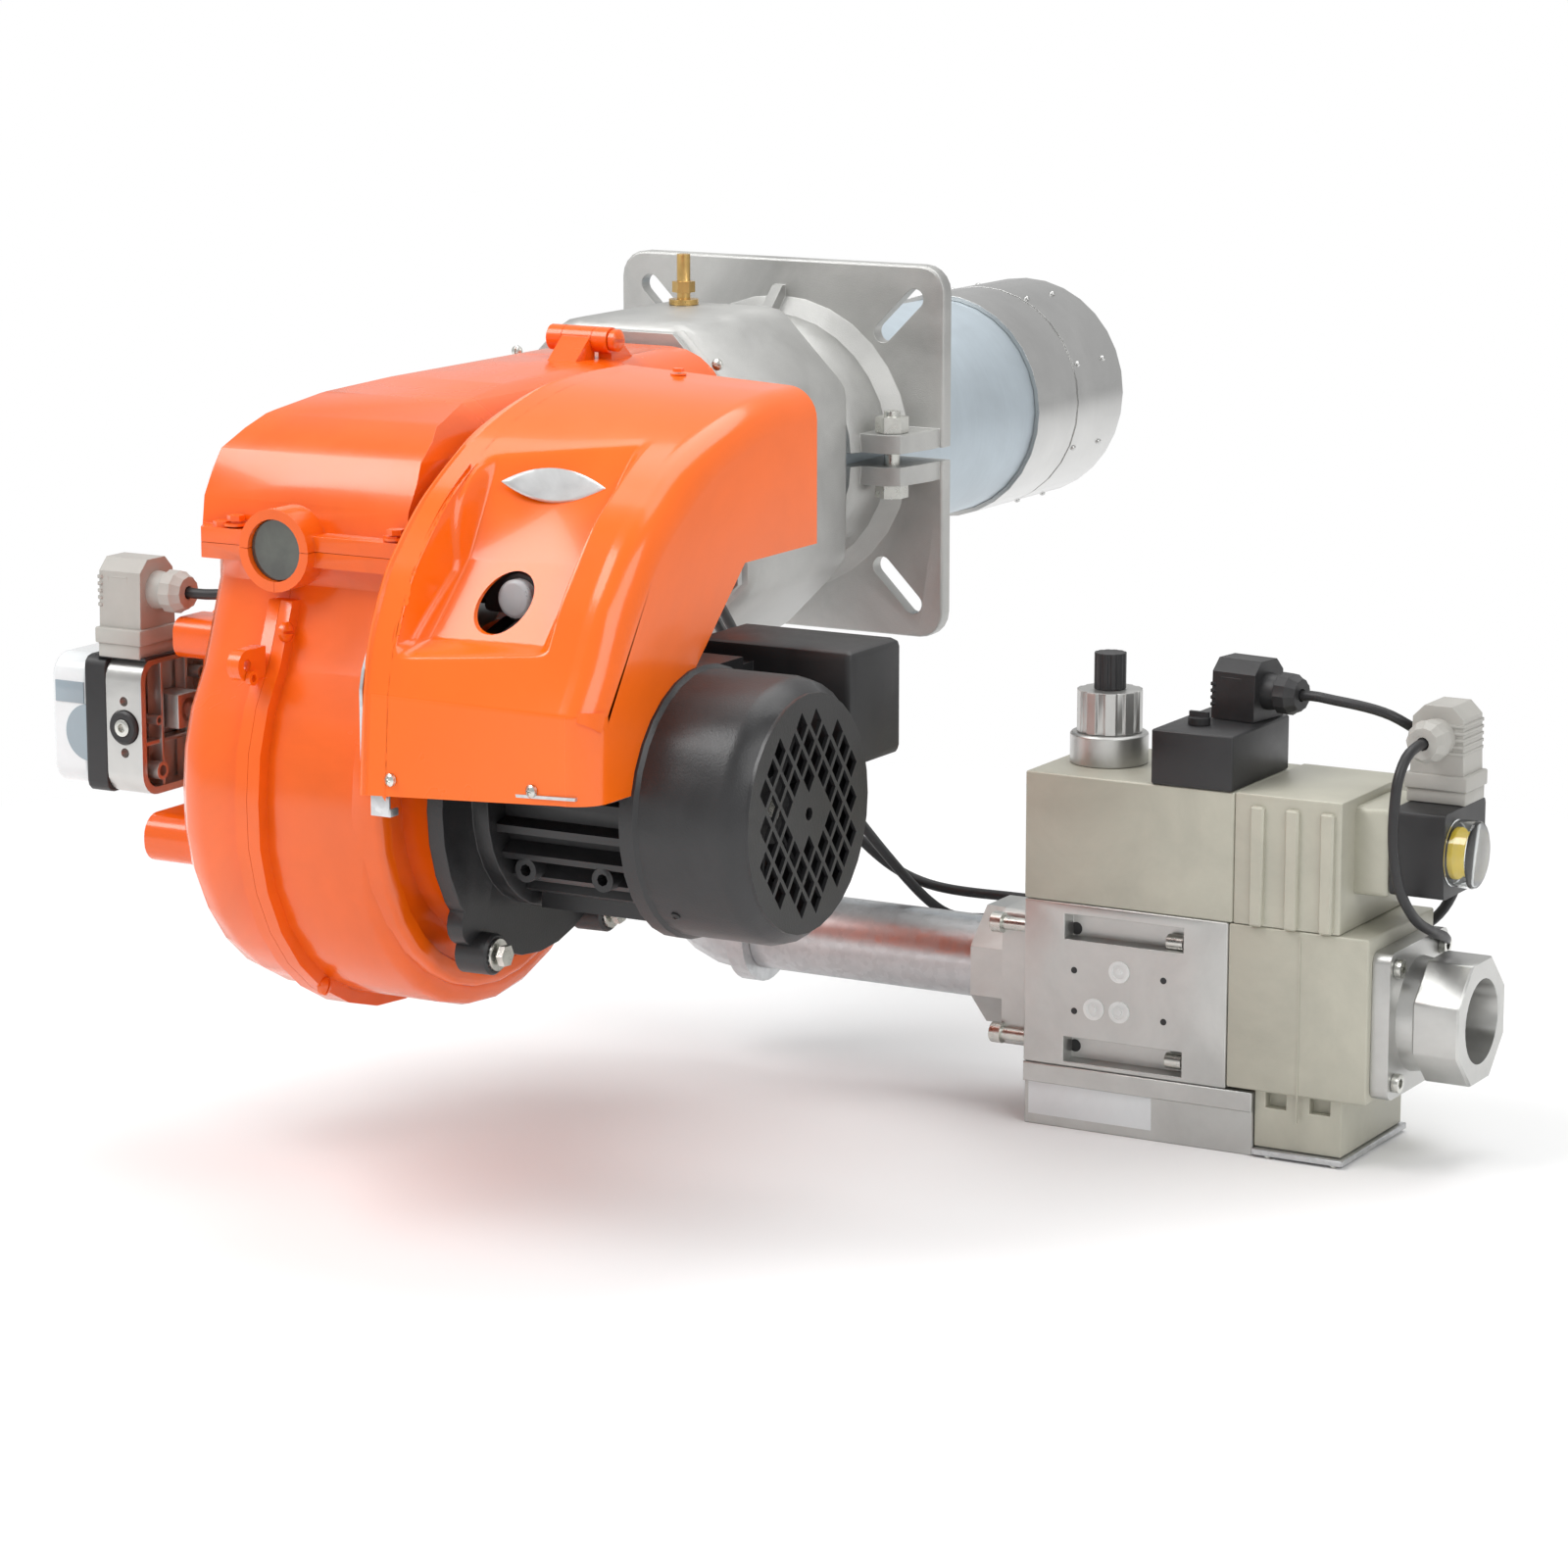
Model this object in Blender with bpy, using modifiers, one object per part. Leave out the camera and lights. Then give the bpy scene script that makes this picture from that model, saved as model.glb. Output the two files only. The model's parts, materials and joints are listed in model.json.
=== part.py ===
"""Industrial gas burner with its gas train, in metres, +Z up.

The origin is on the axis of the combustion head, at the face of the fixing flange that meets
the boiler. +Y runs along the head into the boiler, +X runs along the motor and the gas train.
Depths named BACK are distances behind the boiler face, so the place is at minus that Y.
"""
import math

import bmesh
import bpy
from mathutils import Matrix, Vector

for thing in list(bpy.data.objects):
    bpy.data.objects.remove(thing, do_unlink=True)

# Clearances, overruns and counts that every piece shares
GAP = 0.0003
OVERRUN = 0.010
MERGE = 0.00002
ROUND_SIDES = 32
SMALL_SIDES = 16
FULL_TURN = 2 * math.pi

# Fixing flange, split across the middle and clamped on the blast tube
FLANGE_SIZE = 0.280
FLANGE_THICK = 0.012
FLANGE_CORNER = 0.020
FLANGE_SPLIT = 0.010
HUB_BACK = 0.074
HUB_WALL = 0.014
HUB_FOOT_WIDTH = 0.012
SLOT_RADIUS = 0.0075
SLOT_NEAR = 0.125
SLOT_FAR = 0.1625
RIB_THICK = 0.009
RIB_REACH = 0.030
EAR_THICK = 0.014
EAR_BACK = 0.065
EAR_INNER = 0.098
EAR_CORNER = 0.010
CLAMP_X = 0.116
CLAMP_BACK = 0.048
CLAMP_SHANK = 0.006
CLAMP_HEAD = 0.0125
CLAMP_HEAD_HIGH = 0.010
CLAMP_TIP = 0.006

# Combustion head
TUBE_RADIUS = 0.086
TUBE_WALL = 0.003
TUBE_SEAT = 0.010
TUBE_END = 0.300
SLEEVE_RADIUS = 0.090
SLEEVE_START = 0.247
HEAD_END = 0.400
SLEEVE_SEAM = 0.315
SLEEVE_SEAM_WIDTH = 0.003
SLEEVE_SEAM_DEPTH = 0.001
DIFFUSER_RADIUS = 0.062
DIFFUSER_PLACE = 0.330
DIFFUSER_THICK = 0.003
DIFFUSER_SLOTS = 8
DIFFUSER_SLOT_WIDTH = 0.005
DIFFUSER_SLOT_INNER = 0.030
DIFFUSER_SLOT_OUTER = 0.055
GAS_TUBE_RADIUS = 0.018
GAS_TUBE_WALL = 0.002
GAS_HEAD_RADIUS = 0.034
GAS_HEAD_LONG = 0.040
GAS_HEAD_PORTS = 8
GAS_PORT_RADIUS = 0.005
MIXER_BACK = 0.200
MIXER_TRAVEL = 0.025
ROD_RADIUS = 0.003
ELECTRODE_OFFSET = 0.044
ELECTRODE_TURNS = (math.radians(67.5), math.radians(112.5))
SPIDER_PLACE = 0.120
SPIDER_LONG = 0.014
SPIDER_THICK = 0.003
CLIP_HALF = 0.028
CLIP_TALL = 0.020
ELECTRODE_BODY = 0.006
ELECTRODE_BACK = 0.060
ELECTRODE_TIP = 0.350
CERAMIC_END = 0.310

# Cast block that joins the head, the air duct and the gas pipe
BLOCK_FRONT_BACK = 0.092
BLOCK_REAR_BACK = 0.243
BLOCK_HALF = 0.107
BLOCK_TOP = 0.114
BLOCK_BOTTOM = 0.128
BLOCK_CHAMFER = 0.056
BLOCK_EDGE = 0.012
BLOCK_BORE = 0.080
BLOCK_GAS_BORE = 0.024
PLATE_THICK = 0.006
PLATE_INSET = 0.006
NIPPLE_X = -0.018
NIPPLE_BACK = 0.124
NIPPLE_NUT = 0.011
NIPPLE_NUT_HIGH = 0.004
NIPPLE_HEX = 0.0085
NIPPLE_HEX_LOW = 0.009
NIPPLE_HEX_HIGH = 0.008
NIPPLE_STEM = 0.005
NIPPLE_HIGH = 0.037
NIPPLE_BORE = 0.002

# Air casing: motor axis, spiral, duct and split lines
MOTOR_BACK = 0.572
MOTOR_LOW = 0.150
SEAM_X = 0.010
CASING_LEFT = -0.062
CASING_RIGHT = 0.098
CASING_WALL = 0.005
CASING_ROUND = 0.030
CASING_ROUND_RIGHT = 0.012
CASING_PAST = 0.045
SPLIT_HIGH = 0.008
SPIRAL_REAR = 0.138
SPIRAL_FRONT = 0.172
SPIRAL_START_TURN = math.radians(-36)
SPIRAL_STEPS = 18
CASING_REAR_BACK = 0.664
SHOULDER_LOW = 0.016
DUCT_LOW = 0.093
DUCT_TURN_BACK = 0.345
DUCT_FRONT_BACK = 0.262
RIM_RADIUS = 0.139
RIM_X = 0.107
RIM_WIDTH = 0.008
RIM_DEEP = 0.006
RIM_ROUND = 0.010
SEAT_RADIUS = 0.100
SEAT_X = 0.126
SEAM_FLANGE = 0.009
SEAM_RISE = 0.009
LUG_SIZE = 0.020
LUG_RISE = 0.022
SHAFT_EYE = 0.060
AIR_EYE = 0.074
LEDGE_THICK = 0.010
LEDGE_REACH = 0.012
LEDGE_SIDE = 0.006
BOSS_RADIUS = 0.027
BOSS_BORE = 0.0203
BOSS_BACK = 0.684
BOSS_FRONT_BACK = 0.600
GLASS_THICK = 0.004
GLASS_BACK = 0.680

# Upper scroll cover and the neck that it hinges on
COVER_TOP = 0.100
COVER_ROUND = 0.034
NECK_RING = 0.092
NECK_BORE = 0.078
NECK_RING_THICK = 0.012
HINGE_BACK = 0.345
HINGE_HIGH = 0.113
HINGE_RADIUS = 0.009
HINGE_PIN = 0.004
HINGE_PIN_PLAY = 0.0002
HINGE_X = 0.020
KNUCKLE_LONG = 0.024
LUG_LONG = 0.012
HINGE_FOOT = 0.030
PIN_HEAD = 0.0075
PIN_HEAD_LONG = 0.005
COVER_BOLT = 0.006
COVER_BOLT_HIGH = 0.004

# Fan and shaft
FAN_RADIUS = 0.098
FAN_INNER = 0.076
FAN_LEFT = -0.046
FAN_RIGHT = 0.044
FAN_PLATE = 0.003
FAN_BLADES = 22
FAN_BLADE_THICK = 0.0024
FAN_BLADE_LEAN = math.radians(32)
FAN_HUB = 0.020
FAN_HUB_LONG = 0.026
SHAFT_RADIUS = 0.009
SHAFT_PLAY = 0.001

# Motor
MOTOR_PLATE_THICK = 0.012
MOTOR_PLATE_RADIUS = 0.114
MOTOR_LUG_REACH = 0.126
MOTOR_LUG_RADIUS = 0.014
MOTOR_NECK_RADIUS = 0.080
MOTOR_NECK_LONG = 0.012
FRAME_CORE = 0.060
FRAME_FIN = 0.072
FRAME_FINS = 22
FRAME_END_X = 0.262
ARM_WIDE = 0.009
FOOT_WIDE = 0.050
FOOT_THICK = 0.016
FOOT_LOW = 0.077
FOOT_SET = 0.005
EYE_RADIUS = 0.008
EYE_REACH = 0.062
EYE_LOW = 0.044
COWL_START_X = 0.254
COWL_END_X = 0.341
COWL_RADIUS = 0.0865
COWL_LIP = 0.0025
COWL_LIP_LONG = 0.010
COWL_NOSE = 0.018
COWL_WALL = 0.0025
GRILLE_RADIUS = 0.067
GRILLE_PITCH_Y = 0.0092
GRILLE_PITCH_Z = 0.0115
GRILLE_BAR = 0.0022
GRILLE_HUB = 0.012
GRILLE_EYE = 0.0045
COOLER_RADIUS = 0.074
COOLER_HUB = 0.022
COOLER_START_X = 0.285
COOLER_LONG = 0.030
COOLER_BLADES = 7
COOLER_BLADE_THICK = 0.003
BOX_X = 0.200
BOX_LONG = 0.122
BOX_BACK = 0.482
BOX_DEEP = 0.070
BOX_LOW = 0.140
BOX_HIGH = 0.078
BOX_EDGE = 0.006
BOX_NECK = 0.030

# Air intake, damper and its servomotor
INTAKE_LONG = 0.100
INTAKE_REAR_BACK = 0.640
INTAKE_FRONT_BACK = 0.375
INTAKE_TOP_LOW = 0.068
INTAKE_BOTTOM_LOW = 0.232
INTAKE_WALL = 0.004
INTAKE_EDGE = 0.020
DAMPER_BACK = 0.445
DAMPER_THICK = 0.003
DAMPER_EDGE_GAP = 0.003
DAMPER_SHAFT = 0.005
DAMPER_SHAFT_PLAY = 0.0005
SERVO_LONG = 0.070
SERVO_HALF = 0.036
SERVO_EDGE = 0.004

# Air pressure switch
SWITCH_BACK = 0.572
SWITCH_WIDE = 0.084
SWITCH_TALL = 0.096
SWITCH_LOW = 0.146
SWITCH_BASE_LONG = 0.052
SWITCH_BAND_LONG = 0.018
SWITCH_COVER_LONG = 0.030
SWITCH_COVER_INSET = 0.002
SWITCH_EDGE = 0.008
SWITCH_NIPPLE = 0.008
SWITCH_NIPPLE_LONG = 0.004
SWITCH_HOLE = 0.003
SWITCH_HOLE_DEEP = 0.006
SWITCH_HOLE_PITCH = 0.019
PLUG_WIDE = 0.034
PLUG_DEEP = 0.028
PLUG_TALL = 0.066
PLUG_FOOT_WIDE = 0.044
PLUG_FOOT_DEEP = 0.036
PLUG_FOOT_TALL = 0.010
PLUG_CHAMFER = 0.008
PLUG_RIB = 0.0012
PLUG_RIB_PITCH = 0.005
PLUG_RIBS = 4
GLAND_RADIUS = 0.012
GLAND_LONG = 0.022
GLAND_NUT = 0.0145
GLAND_NUT_LONG = 0.012
GLAND_BORE = 0.0050
GLAND_HIGH = 0.046
CORD_RADIUS = 0.0037

# Hood over the control panel
HOOD_LEFT = 0.110
HOOD_RIGHT = 0.262
HOOD_BACK = 0.713
HOOD_FRONT_BACK = 0.411
HOOD_BOTTOM_LOW = 0.131
HOOD_TOP = 0.108
HOOD_WALL = 0.004
HOOD_ROUND = 0.022
HOOD_STEP_LOW = 0.003
HOOD_STEP_BACK = 0.516
HOOD_TOE_BACK = 0.653
HOOD_SWEEP = 0.028
RECESS_LEFT = 0.138
RECESS_RIGHT = 0.222
RECESS_DEEP = 0.003
RECESS_LOW = 0.040
RECESS_HIGH = 0.080
RECESS_FRONT_BACK = 0.575
BUTTON_X = 0.175
BUTTON_LOW = 0.014
BUTTON_HOLE = 0.018
BUTTON_RADIUS = 0.0125
BUTTON_LONG = 0.022
BUTTON_TRAVEL = 0.004
BUTTON_COLLAR = 0.0155
BUTTON_COLLAR_LONG = 0.034
BUTTON_BORE_DEEP = 0.018
BUTTON_EDGE = 0.003
TRAY_THICK = 0.002
TRAY_WIDE = 0.030
CONTROL_WIDE = 0.080
CONTROL_DEEP = 0.110
CONTROL_HIGH = 0.050
CONTROL_BACK = 0.560
CONTROL_LOW = 0.032
CONTROL_X = 0.124
CONTROL_EDGE = 0.004

# Gas train
GAS_BACK = 0.145
GAS_LOW = 0.344
PIPE_RADIUS = 0.0300
PIPE_WALL = 0.0035
ELBOW_BEND = 0.052
ELBOW_RADIUS = 0.0335
ELBOW_BEAD = 0.040
ELBOW_BEAD_LONG = 0.014
ELBOW_FLANGE = 0.050
ELBOW_FLANGE_LONG = 0.012
PIPE_END_X = 0.262
FLANGE_X = 0.258
VALVE_X = 0.308
OUTLET_HALF = 0.050
OUTLET_THROAT = 0.036
OUTLET_FOOT = 0.014
VALVE_DEEP = 0.116
SILVER_LONG = 0.158
SILVER_TOP = 0.282
SILVER_BOTTOM = 0.401
COVER_LONG = 0.161
COVER_PEAK = 0.190
VALVE_EDGE = 0.0015
POCKET_LONG = 0.092
POCKET_TALL = 0.018
POCKET_DEEP = 0.014
POCKET_START = 0.032
POCKET_HIGH = 0.008
BASE_LONG = 0.178
BASE_LOW = 0.447
BASE_STEP = 0.014
BASE_LIP = 0.003
CAST_LONG = 0.105
CAST_BOTTOM = 0.440
CAST_FOOT_TOP = 0.399
CAST_FOOT_START = 0.020
CAST_FOOT_LONG = 0.066
CAST_NOTCH = 0.004
UPPER_LONG = 0.080
UPPER_PEAK = 0.189
UPPER_RIB = 0.004
UPPER_RIB_LONG = 0.010
UPPER_RIBS = 3
UPPER_RIB_PITCH = 0.026
SADDLE_LONG = 0.026
SADDLE_WIDE = 0.072
SADDLE_TALL = 0.062
SADDLE_LOW = 0.226
ZINC_THICK = 0.005
ZINC_LIP = 0.003
INLET_LONG = 0.026
INLET_HALF = 0.052
INLET_HUB_LONG = 0.034
INLET_OCTAGON = 0.043
PORT_RADIUS = 0.0300
PORT_DEEP = 0.045
KNOB_X = 0.345
KNOB_BASE = 0.028
KNOB_BASE_HIGH = 0.022
RING_RADIUS = 0.0235
RING_HIGH = 0.030
RING_FLUTES = 10
RING_FLUTE = 0.0015
CAP_RADIUS = 0.0115
CAP_HIGH = 0.026
CAP_RIBS = 12
CAP_RIB = 0.0008
STUD_RADIUS = 0.006
MODULE_X = 0.4055
MODULE_LONG = 0.062
MODULE_DEEP = 0.096
MODULE_HIGH = 0.039
MODULE_EDGE = 0.0015
POINTER_RADIUS = 0.008
POINTER_HIGH = 0.005
POINTER_FIN = 0.009
POINTER_FIN_THICK = 0.003
POINTER_X = 0.022
POINTER_DEEP = 0.030
VALVE_PLUG_DEEP = 0.072
GAUGE_X = 0.600
GAUGE_LONG = 0.040
GAUGE_WIDE = 0.074
GAUGE_LOW = 0.224
GAUGE_TALL = 0.060
DIAL_RADIUS = 0.018
DIAL_THICK = 0.004
DIAL_FORWARD = 0.016
LENS_RADIUS = 0.0235
LENS_WALL = 0.002
LENS_LONG = 0.016
SWITCH_PLUG_DEEP = 0.040

# Cords; the routes are places on the cord's axis
CORD_SEAT = 0.004
CORD_LEAD = 0.020
CORD_SPACING = 6
ROUTE_STEPS = 24
VALVE_CABLE_ROUTE = (
    (0.560, -0.134, -0.141),
    (0.584, -0.098, -0.180),
    (0.586, -0.080, -0.260),
    (0.545, -0.077, -0.306),
    (0.440, -0.077, -0.310),
    (0.345, -0.078, -0.312),
    (0.250, -0.088, -0.312),
    (0.168, -0.098, -0.306),
    (0.132, -0.140, -0.262),
    (0.126, -0.235, -0.176),
    (0.134, -0.320, -0.096),
    (0.146, -0.395, -0.036),
    (0.150, -0.455, -0.015),
    (0.150, -0.504, -0.012),
)
SWITCH_CABLE_ROUTE = (
    (0.556, -0.202, -0.160),
    (0.562, -0.198, -0.206),
    (0.570, -0.192, -0.248),
    (0.582, -0.168, -0.274),
    (0.592, -0.120, -0.280),
    (0.588, -0.082, -0.296),
    (0.545, -0.077, -0.322),
    (0.440, -0.077, -0.326),
    (0.345, -0.078, -0.328),
    (0.250, -0.082, -0.326),
    (0.215, -0.084, -0.332),
    (0.186, -0.100, -0.325),
    (0.158, -0.135, -0.278),
    (0.146, -0.232, -0.184),
    (0.148, -0.316, -0.106),
    (0.160, -0.390, -0.046),
    (0.165, -0.455, -0.015),
    (0.165, -0.504, -0.012),
)
AIR_CABLE_ROUTE = (
    (-0.110, -0.532, -0.044),
    (-0.088, -0.480, -0.036),
    (-0.084, -0.400, -0.032),
    (-0.086, -0.330, -0.030),
    (-0.084, -0.298, -0.028),
    (-0.076, -0.287, -0.027),
    (-0.0636, -0.286, -0.027),
)

# Materials as colour, roughness and metallic value
LOOKS = {
    "cast": ((0.62, 0.62, 0.60), 0.42, 0.9),
    "zinc": ((0.70, 0.71, 0.72), 0.35, 1.0),
    "steel": ((0.62, 0.63, 0.64), 0.25, 1.0),
    "blue_steel": ((0.60, 0.66, 0.70), 0.45, 0.4),
    "orange": ((0.90, 0.16, 0.02), 0.22, 0.0),
    "moulded": ((0.95, 0.20, 0.01), 0.18, 0.0),
    "black": ((0.02, 0.02, 0.02), 0.45, 0.0),
    "beige": ((0.52, 0.51, 0.44), 0.45, 0.1),
    "grey": ((0.50, 0.49, 0.46), 0.5, 0.0),
    "brass": ((0.75, 0.52, 0.20), 0.3, 1.0),
    "white": ((0.80, 0.82, 0.84), 0.2, 0.0),
    "glass": ((0.20, 0.22, 0.20), 0.08, 0.0),
    "yellow": ((0.95, 0.75, 0.03), 0.35, 0.0),
}

PARTS = bpy.data.collections.new("gas_burner")
CUTTERS = bpy.data.collections.new("cutters")
bpy.context.scene.collection.children.link(PARTS)
bpy.context.scene.collection.children.link(CUTTERS)


# Modelling helpers
def new_material(name, look):
    """A Principled material of its own for one piece."""
    colour, roughness, metallic = LOOKS[look]
    material = bpy.data.materials.new(name)
    material.use_nodes = True
    shader = material.node_tree.nodes["Principled BSDF"]
    shader.inputs["Base Color"].default_value = (*colour, 1)
    shader.inputs["Roughness"].default_value = roughness
    shader.inputs["Metallic"].default_value = metallic
    return material


def keep(obj, name, look):
    """Files a finished shape as a named part with its material."""
    obj.name = name
    obj.data.name = name
    obj.data.materials.clear()
    obj.data.materials.append(new_material(name, look))
    CUTTERS.objects.unlink(obj)
    PARTS.objects.link(obj)
    obj.hide_render = False
    obj.display_type = "TEXTURED"
    obj.data.shade_smooth()
    obj.data.set_sharp_from_angle(angle=math.radians(35))
    return obj


def shape_from(bm):
    """A helper object, filed with the cutters until it is kept as a part."""
    mesh = bpy.data.meshes.new("shape")
    bm.to_mesh(mesh)
    bm.free()
    obj = bpy.data.objects.new("shape", mesh)
    CUTTERS.objects.link(obj)
    obj.hide_render = True
    obj.display_type = "WIRE"
    return obj


def axis_frame(axis):
    """Rotation that turns local X, Y, Z so that local Z lies along the named axis."""
    columns = {
        "X": ((0, 1, 0), (0, 0, 1), (1, 0, 0)),
        "Y": ((-1, 0, 0), (0, 0, 1), (0, 1, 0)),
        "Z": ((1, 0, 0), (0, 1, 0), (0, 0, 1)),
    }[axis]
    return Matrix(columns).transposed().to_4x4()


def box(low, high):
    """Block between two corners."""
    bm = bmesh.new()
    bmesh.ops.create_cube(bm, size=1)
    low, high = Vector(low), Vector(high)
    bmesh.ops.scale(bm, vec=high - low, verts=bm.verts)
    bmesh.ops.translate(bm, vec=(low + high) / 2, verts=bm.verts)
    return shape_from(bm)


def drum(axis, start, length, radius, sides=ROUND_SIDES, end_radius=None):
    """Cylinder or cone that begins at start and runs along an axis."""
    bm = bmesh.new()
    end_radius = radius if end_radius is None else end_radius
    bmesh.ops.create_cone(bm, cap_ends=True, segments=sides, radius1=radius,
                          radius2=end_radius, depth=length)
    bmesh.ops.translate(bm, vec=(0, 0, length / 2), verts=bm.verts)
    bmesh.ops.transform(bm, matrix=axis_frame(axis), verts=bm.verts)
    bmesh.ops.translate(bm, vec=start, verts=bm.verts)
    return shape_from(bm)


def settle(obj):
    """Bakes the evaluated shape of an object into its own mesh."""
    bpy.context.view_layer.update()
    seen = obj.evaluated_get(bpy.context.evaluated_depsgraph_get())
    mesh = bpy.data.meshes.new_from_object(seen)
    mesh.transform(obj.matrix_world)
    bm = bmesh.new()
    bm.from_mesh(mesh)
    bmesh.ops.remove_doubles(bm, verts=bm.verts, dist=MERGE)
    bmesh.ops.recalc_face_normals(bm, faces=bm.faces)
    bpy.data.objects.remove(obj, do_unlink=True)
    return shape_from(bm)


def slab(axis, start, end, outline, holes=()):
    """Flat outline with holes, extruded along an axis from start to end."""
    curve = bpy.data.curves.new("outline", "CURVE")
    curve.dimensions = "2D"
    curve.fill_mode = "BOTH"
    curve.extrude = (end - start) / 2
    for loop in (outline, *holes):
        spline = curve.splines.new("POLY")
        spline.points.add(len(loop) - 1)
        for point, (across, up) in zip(spline.points, loop):
            point.co = (-across if axis == "Y" else across, up, 0, 1)
        spline.use_cyclic_u = True
    obj = bpy.data.objects.new("outline", curve)
    CUTTERS.objects.link(obj)
    shift = {"X": (1, 0, 0), "Y": (0, 1, 0), "Z": (0, 0, 1)}[axis]
    middle = Vector(shift) * ((start + end) / 2)
    obj.matrix_world = Matrix.Translation(middle) @ axis_frame(axis)
    return settle(obj)


def turned(axis, centre, profile, sides=ROUND_SIDES):
    """Closed or axis-to-axis profile of (radius, height) turned about an axis."""
    bm = bmesh.new()
    points = [bm.verts.new((radius, 0, height)) for radius, height in profile]
    for first, second in zip(points, points[1:]):
        bm.edges.new((first, second))
    if profile[0][0] > 0:
        bm.edges.new((points[-1], points[0]))
    obj = shape_from(bm)
    screw = obj.modifiers.new("turn", "SCREW")
    screw.steps = sides
    screw.render_steps = sides
    screw.use_merge_vertices = True
    screw.merge_threshold = MERGE
    obj.matrix_world = Matrix.Translation(centre) @ axis_frame(axis)
    return settle(obj)


def tube(points, radius, resolution=2):
    """Round bar along a list of points, with filled ends."""
    curve = bpy.data.curves.new("route", "CURVE")
    curve.dimensions = "3D"
    curve.bevel_depth = radius
    curve.bevel_resolution = resolution
    curve.use_fill_caps = True
    spline = curve.splines.new("POLY")
    spline.points.add(len(points) - 1)
    for point, place in zip(spline.points, points):
        point.co = (*place, 1)
    obj = bpy.data.objects.new("route", curve)
    CUTTERS.objects.link(obj)
    return settle(obj)


def combine(target, tool, operation):
    """Exact Boolean of two shapes, which uses the tool up."""
    modifier = target.modifiers.new(operation.lower(), "BOOLEAN")
    modifier.operation = operation
    modifier.solver = "EXACT"
    modifier.object = tool
    result = settle(target)
    bpy.data.objects.remove(tool, do_unlink=True)
    return result


def cut(target, *tools):
    for tool in tools:
        target = combine(target, tool, "DIFFERENCE")
    return target


def fuse(target, *tools):
    for tool in tools:
        target = combine(target, tool, "UNION")
    return target


def common(target, tool):
    return combine(target, tool, "INTERSECT")


def group(shapes):
    """One helper that holds several shapes which don't touch one another."""
    bm = bmesh.new()
    for shape in shapes:
        bm.from_mesh(shape.data)
        bpy.data.objects.remove(shape, do_unlink=True)
    return shape_from(bm)


def round_edges(obj, width, steps=2, angle=30):
    """Bevels every sharp edge of a shape."""
    bevel = obj.modifiers.new("round", "BEVEL")
    bevel.width = width
    bevel.segments = steps
    bevel.limit_method = "ANGLE"
    bevel.angle_limit = math.radians(angle)
    return settle(obj)


def round_end(obj, axis, place, width, steps=3):
    """Rounds the rim of the flat end that lies at one place on an axis."""
    index = "XYZ".index(axis)
    bm = bmesh.new()
    bm.from_mesh(obj.data)
    bpy.data.objects.remove(obj, do_unlink=True)
    flat = [f for f in bm.faces if all(abs(v.co[index] - place) < GAP for v in f.verts)]
    cap = bmesh.ops.dissolve_faces(bm, faces=flat)["region"][0] if len(flat) > 1 else flat[0]
    bmesh.ops.bevel(bm, geom=list(cap.edges), offset=width, segments=steps, profile=0.5,
                    affect="EDGES", clamp_overlap=True)
    return shape_from(bm)


def ring_points(centre, radius, sides, turn=0.0):
    """Points of a regular outline round a centre."""
    return [
        (centre[0] + radius * math.cos(turn + FULL_TURN * step / sides),
         centre[1] + radius * math.sin(turn + FULL_TURN * step / sides))
        for step in range(sides)
    ]


def rounded_box_points(low, high, radius, steps=5):
    """Outline of a rectangle with round corners."""
    points = []
    corners = ((high[0] - radius, high[1] - radius), (low[0] + radius, high[1] - radius),
               (low[0] + radius, low[1] + radius), (high[0] - radius, low[1] + radius))
    for quarter, (across, up) in enumerate(corners):
        for step in range(steps + 1):
            angle = math.pi / 2 * (quarter + step / steps)
            point = (across + radius * math.cos(angle), up + radius * math.sin(angle))
            if not points or math.dist(points[-1], point) > GAP / 2:
                points.append(point)
    if math.dist(points[0], points[-1]) < GAP / 2:
        points.pop()
    return points


def inset(points, distance):
    """Outline moved inwards, for a counter-clockwise list of points."""
    moved = []
    count = len(points)
    for index, point in enumerate(points):
        before = Vector(point) - Vector(points[index - 1])
        after = Vector(points[(index + 1) % count]) - Vector(point)
        normal_before = Vector((-before.y, before.x)).normalized()
        normal_after = Vector((-after.y, after.x)).normalized()
        middle = (normal_before + normal_after).normalized()
        reach = distance / max(middle.dot(normal_before), 0.35)
        moved.append((point[0] + middle.x * reach, point[1] + middle.y * reach))
    return moved


def at_origin(obj, place):
    """Moves an object's own origin to a place, its shape staying where it is."""
    obj.data.transform(Matrix.Translation(-Vector(place)))
    obj.location = place
    return obj


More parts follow.
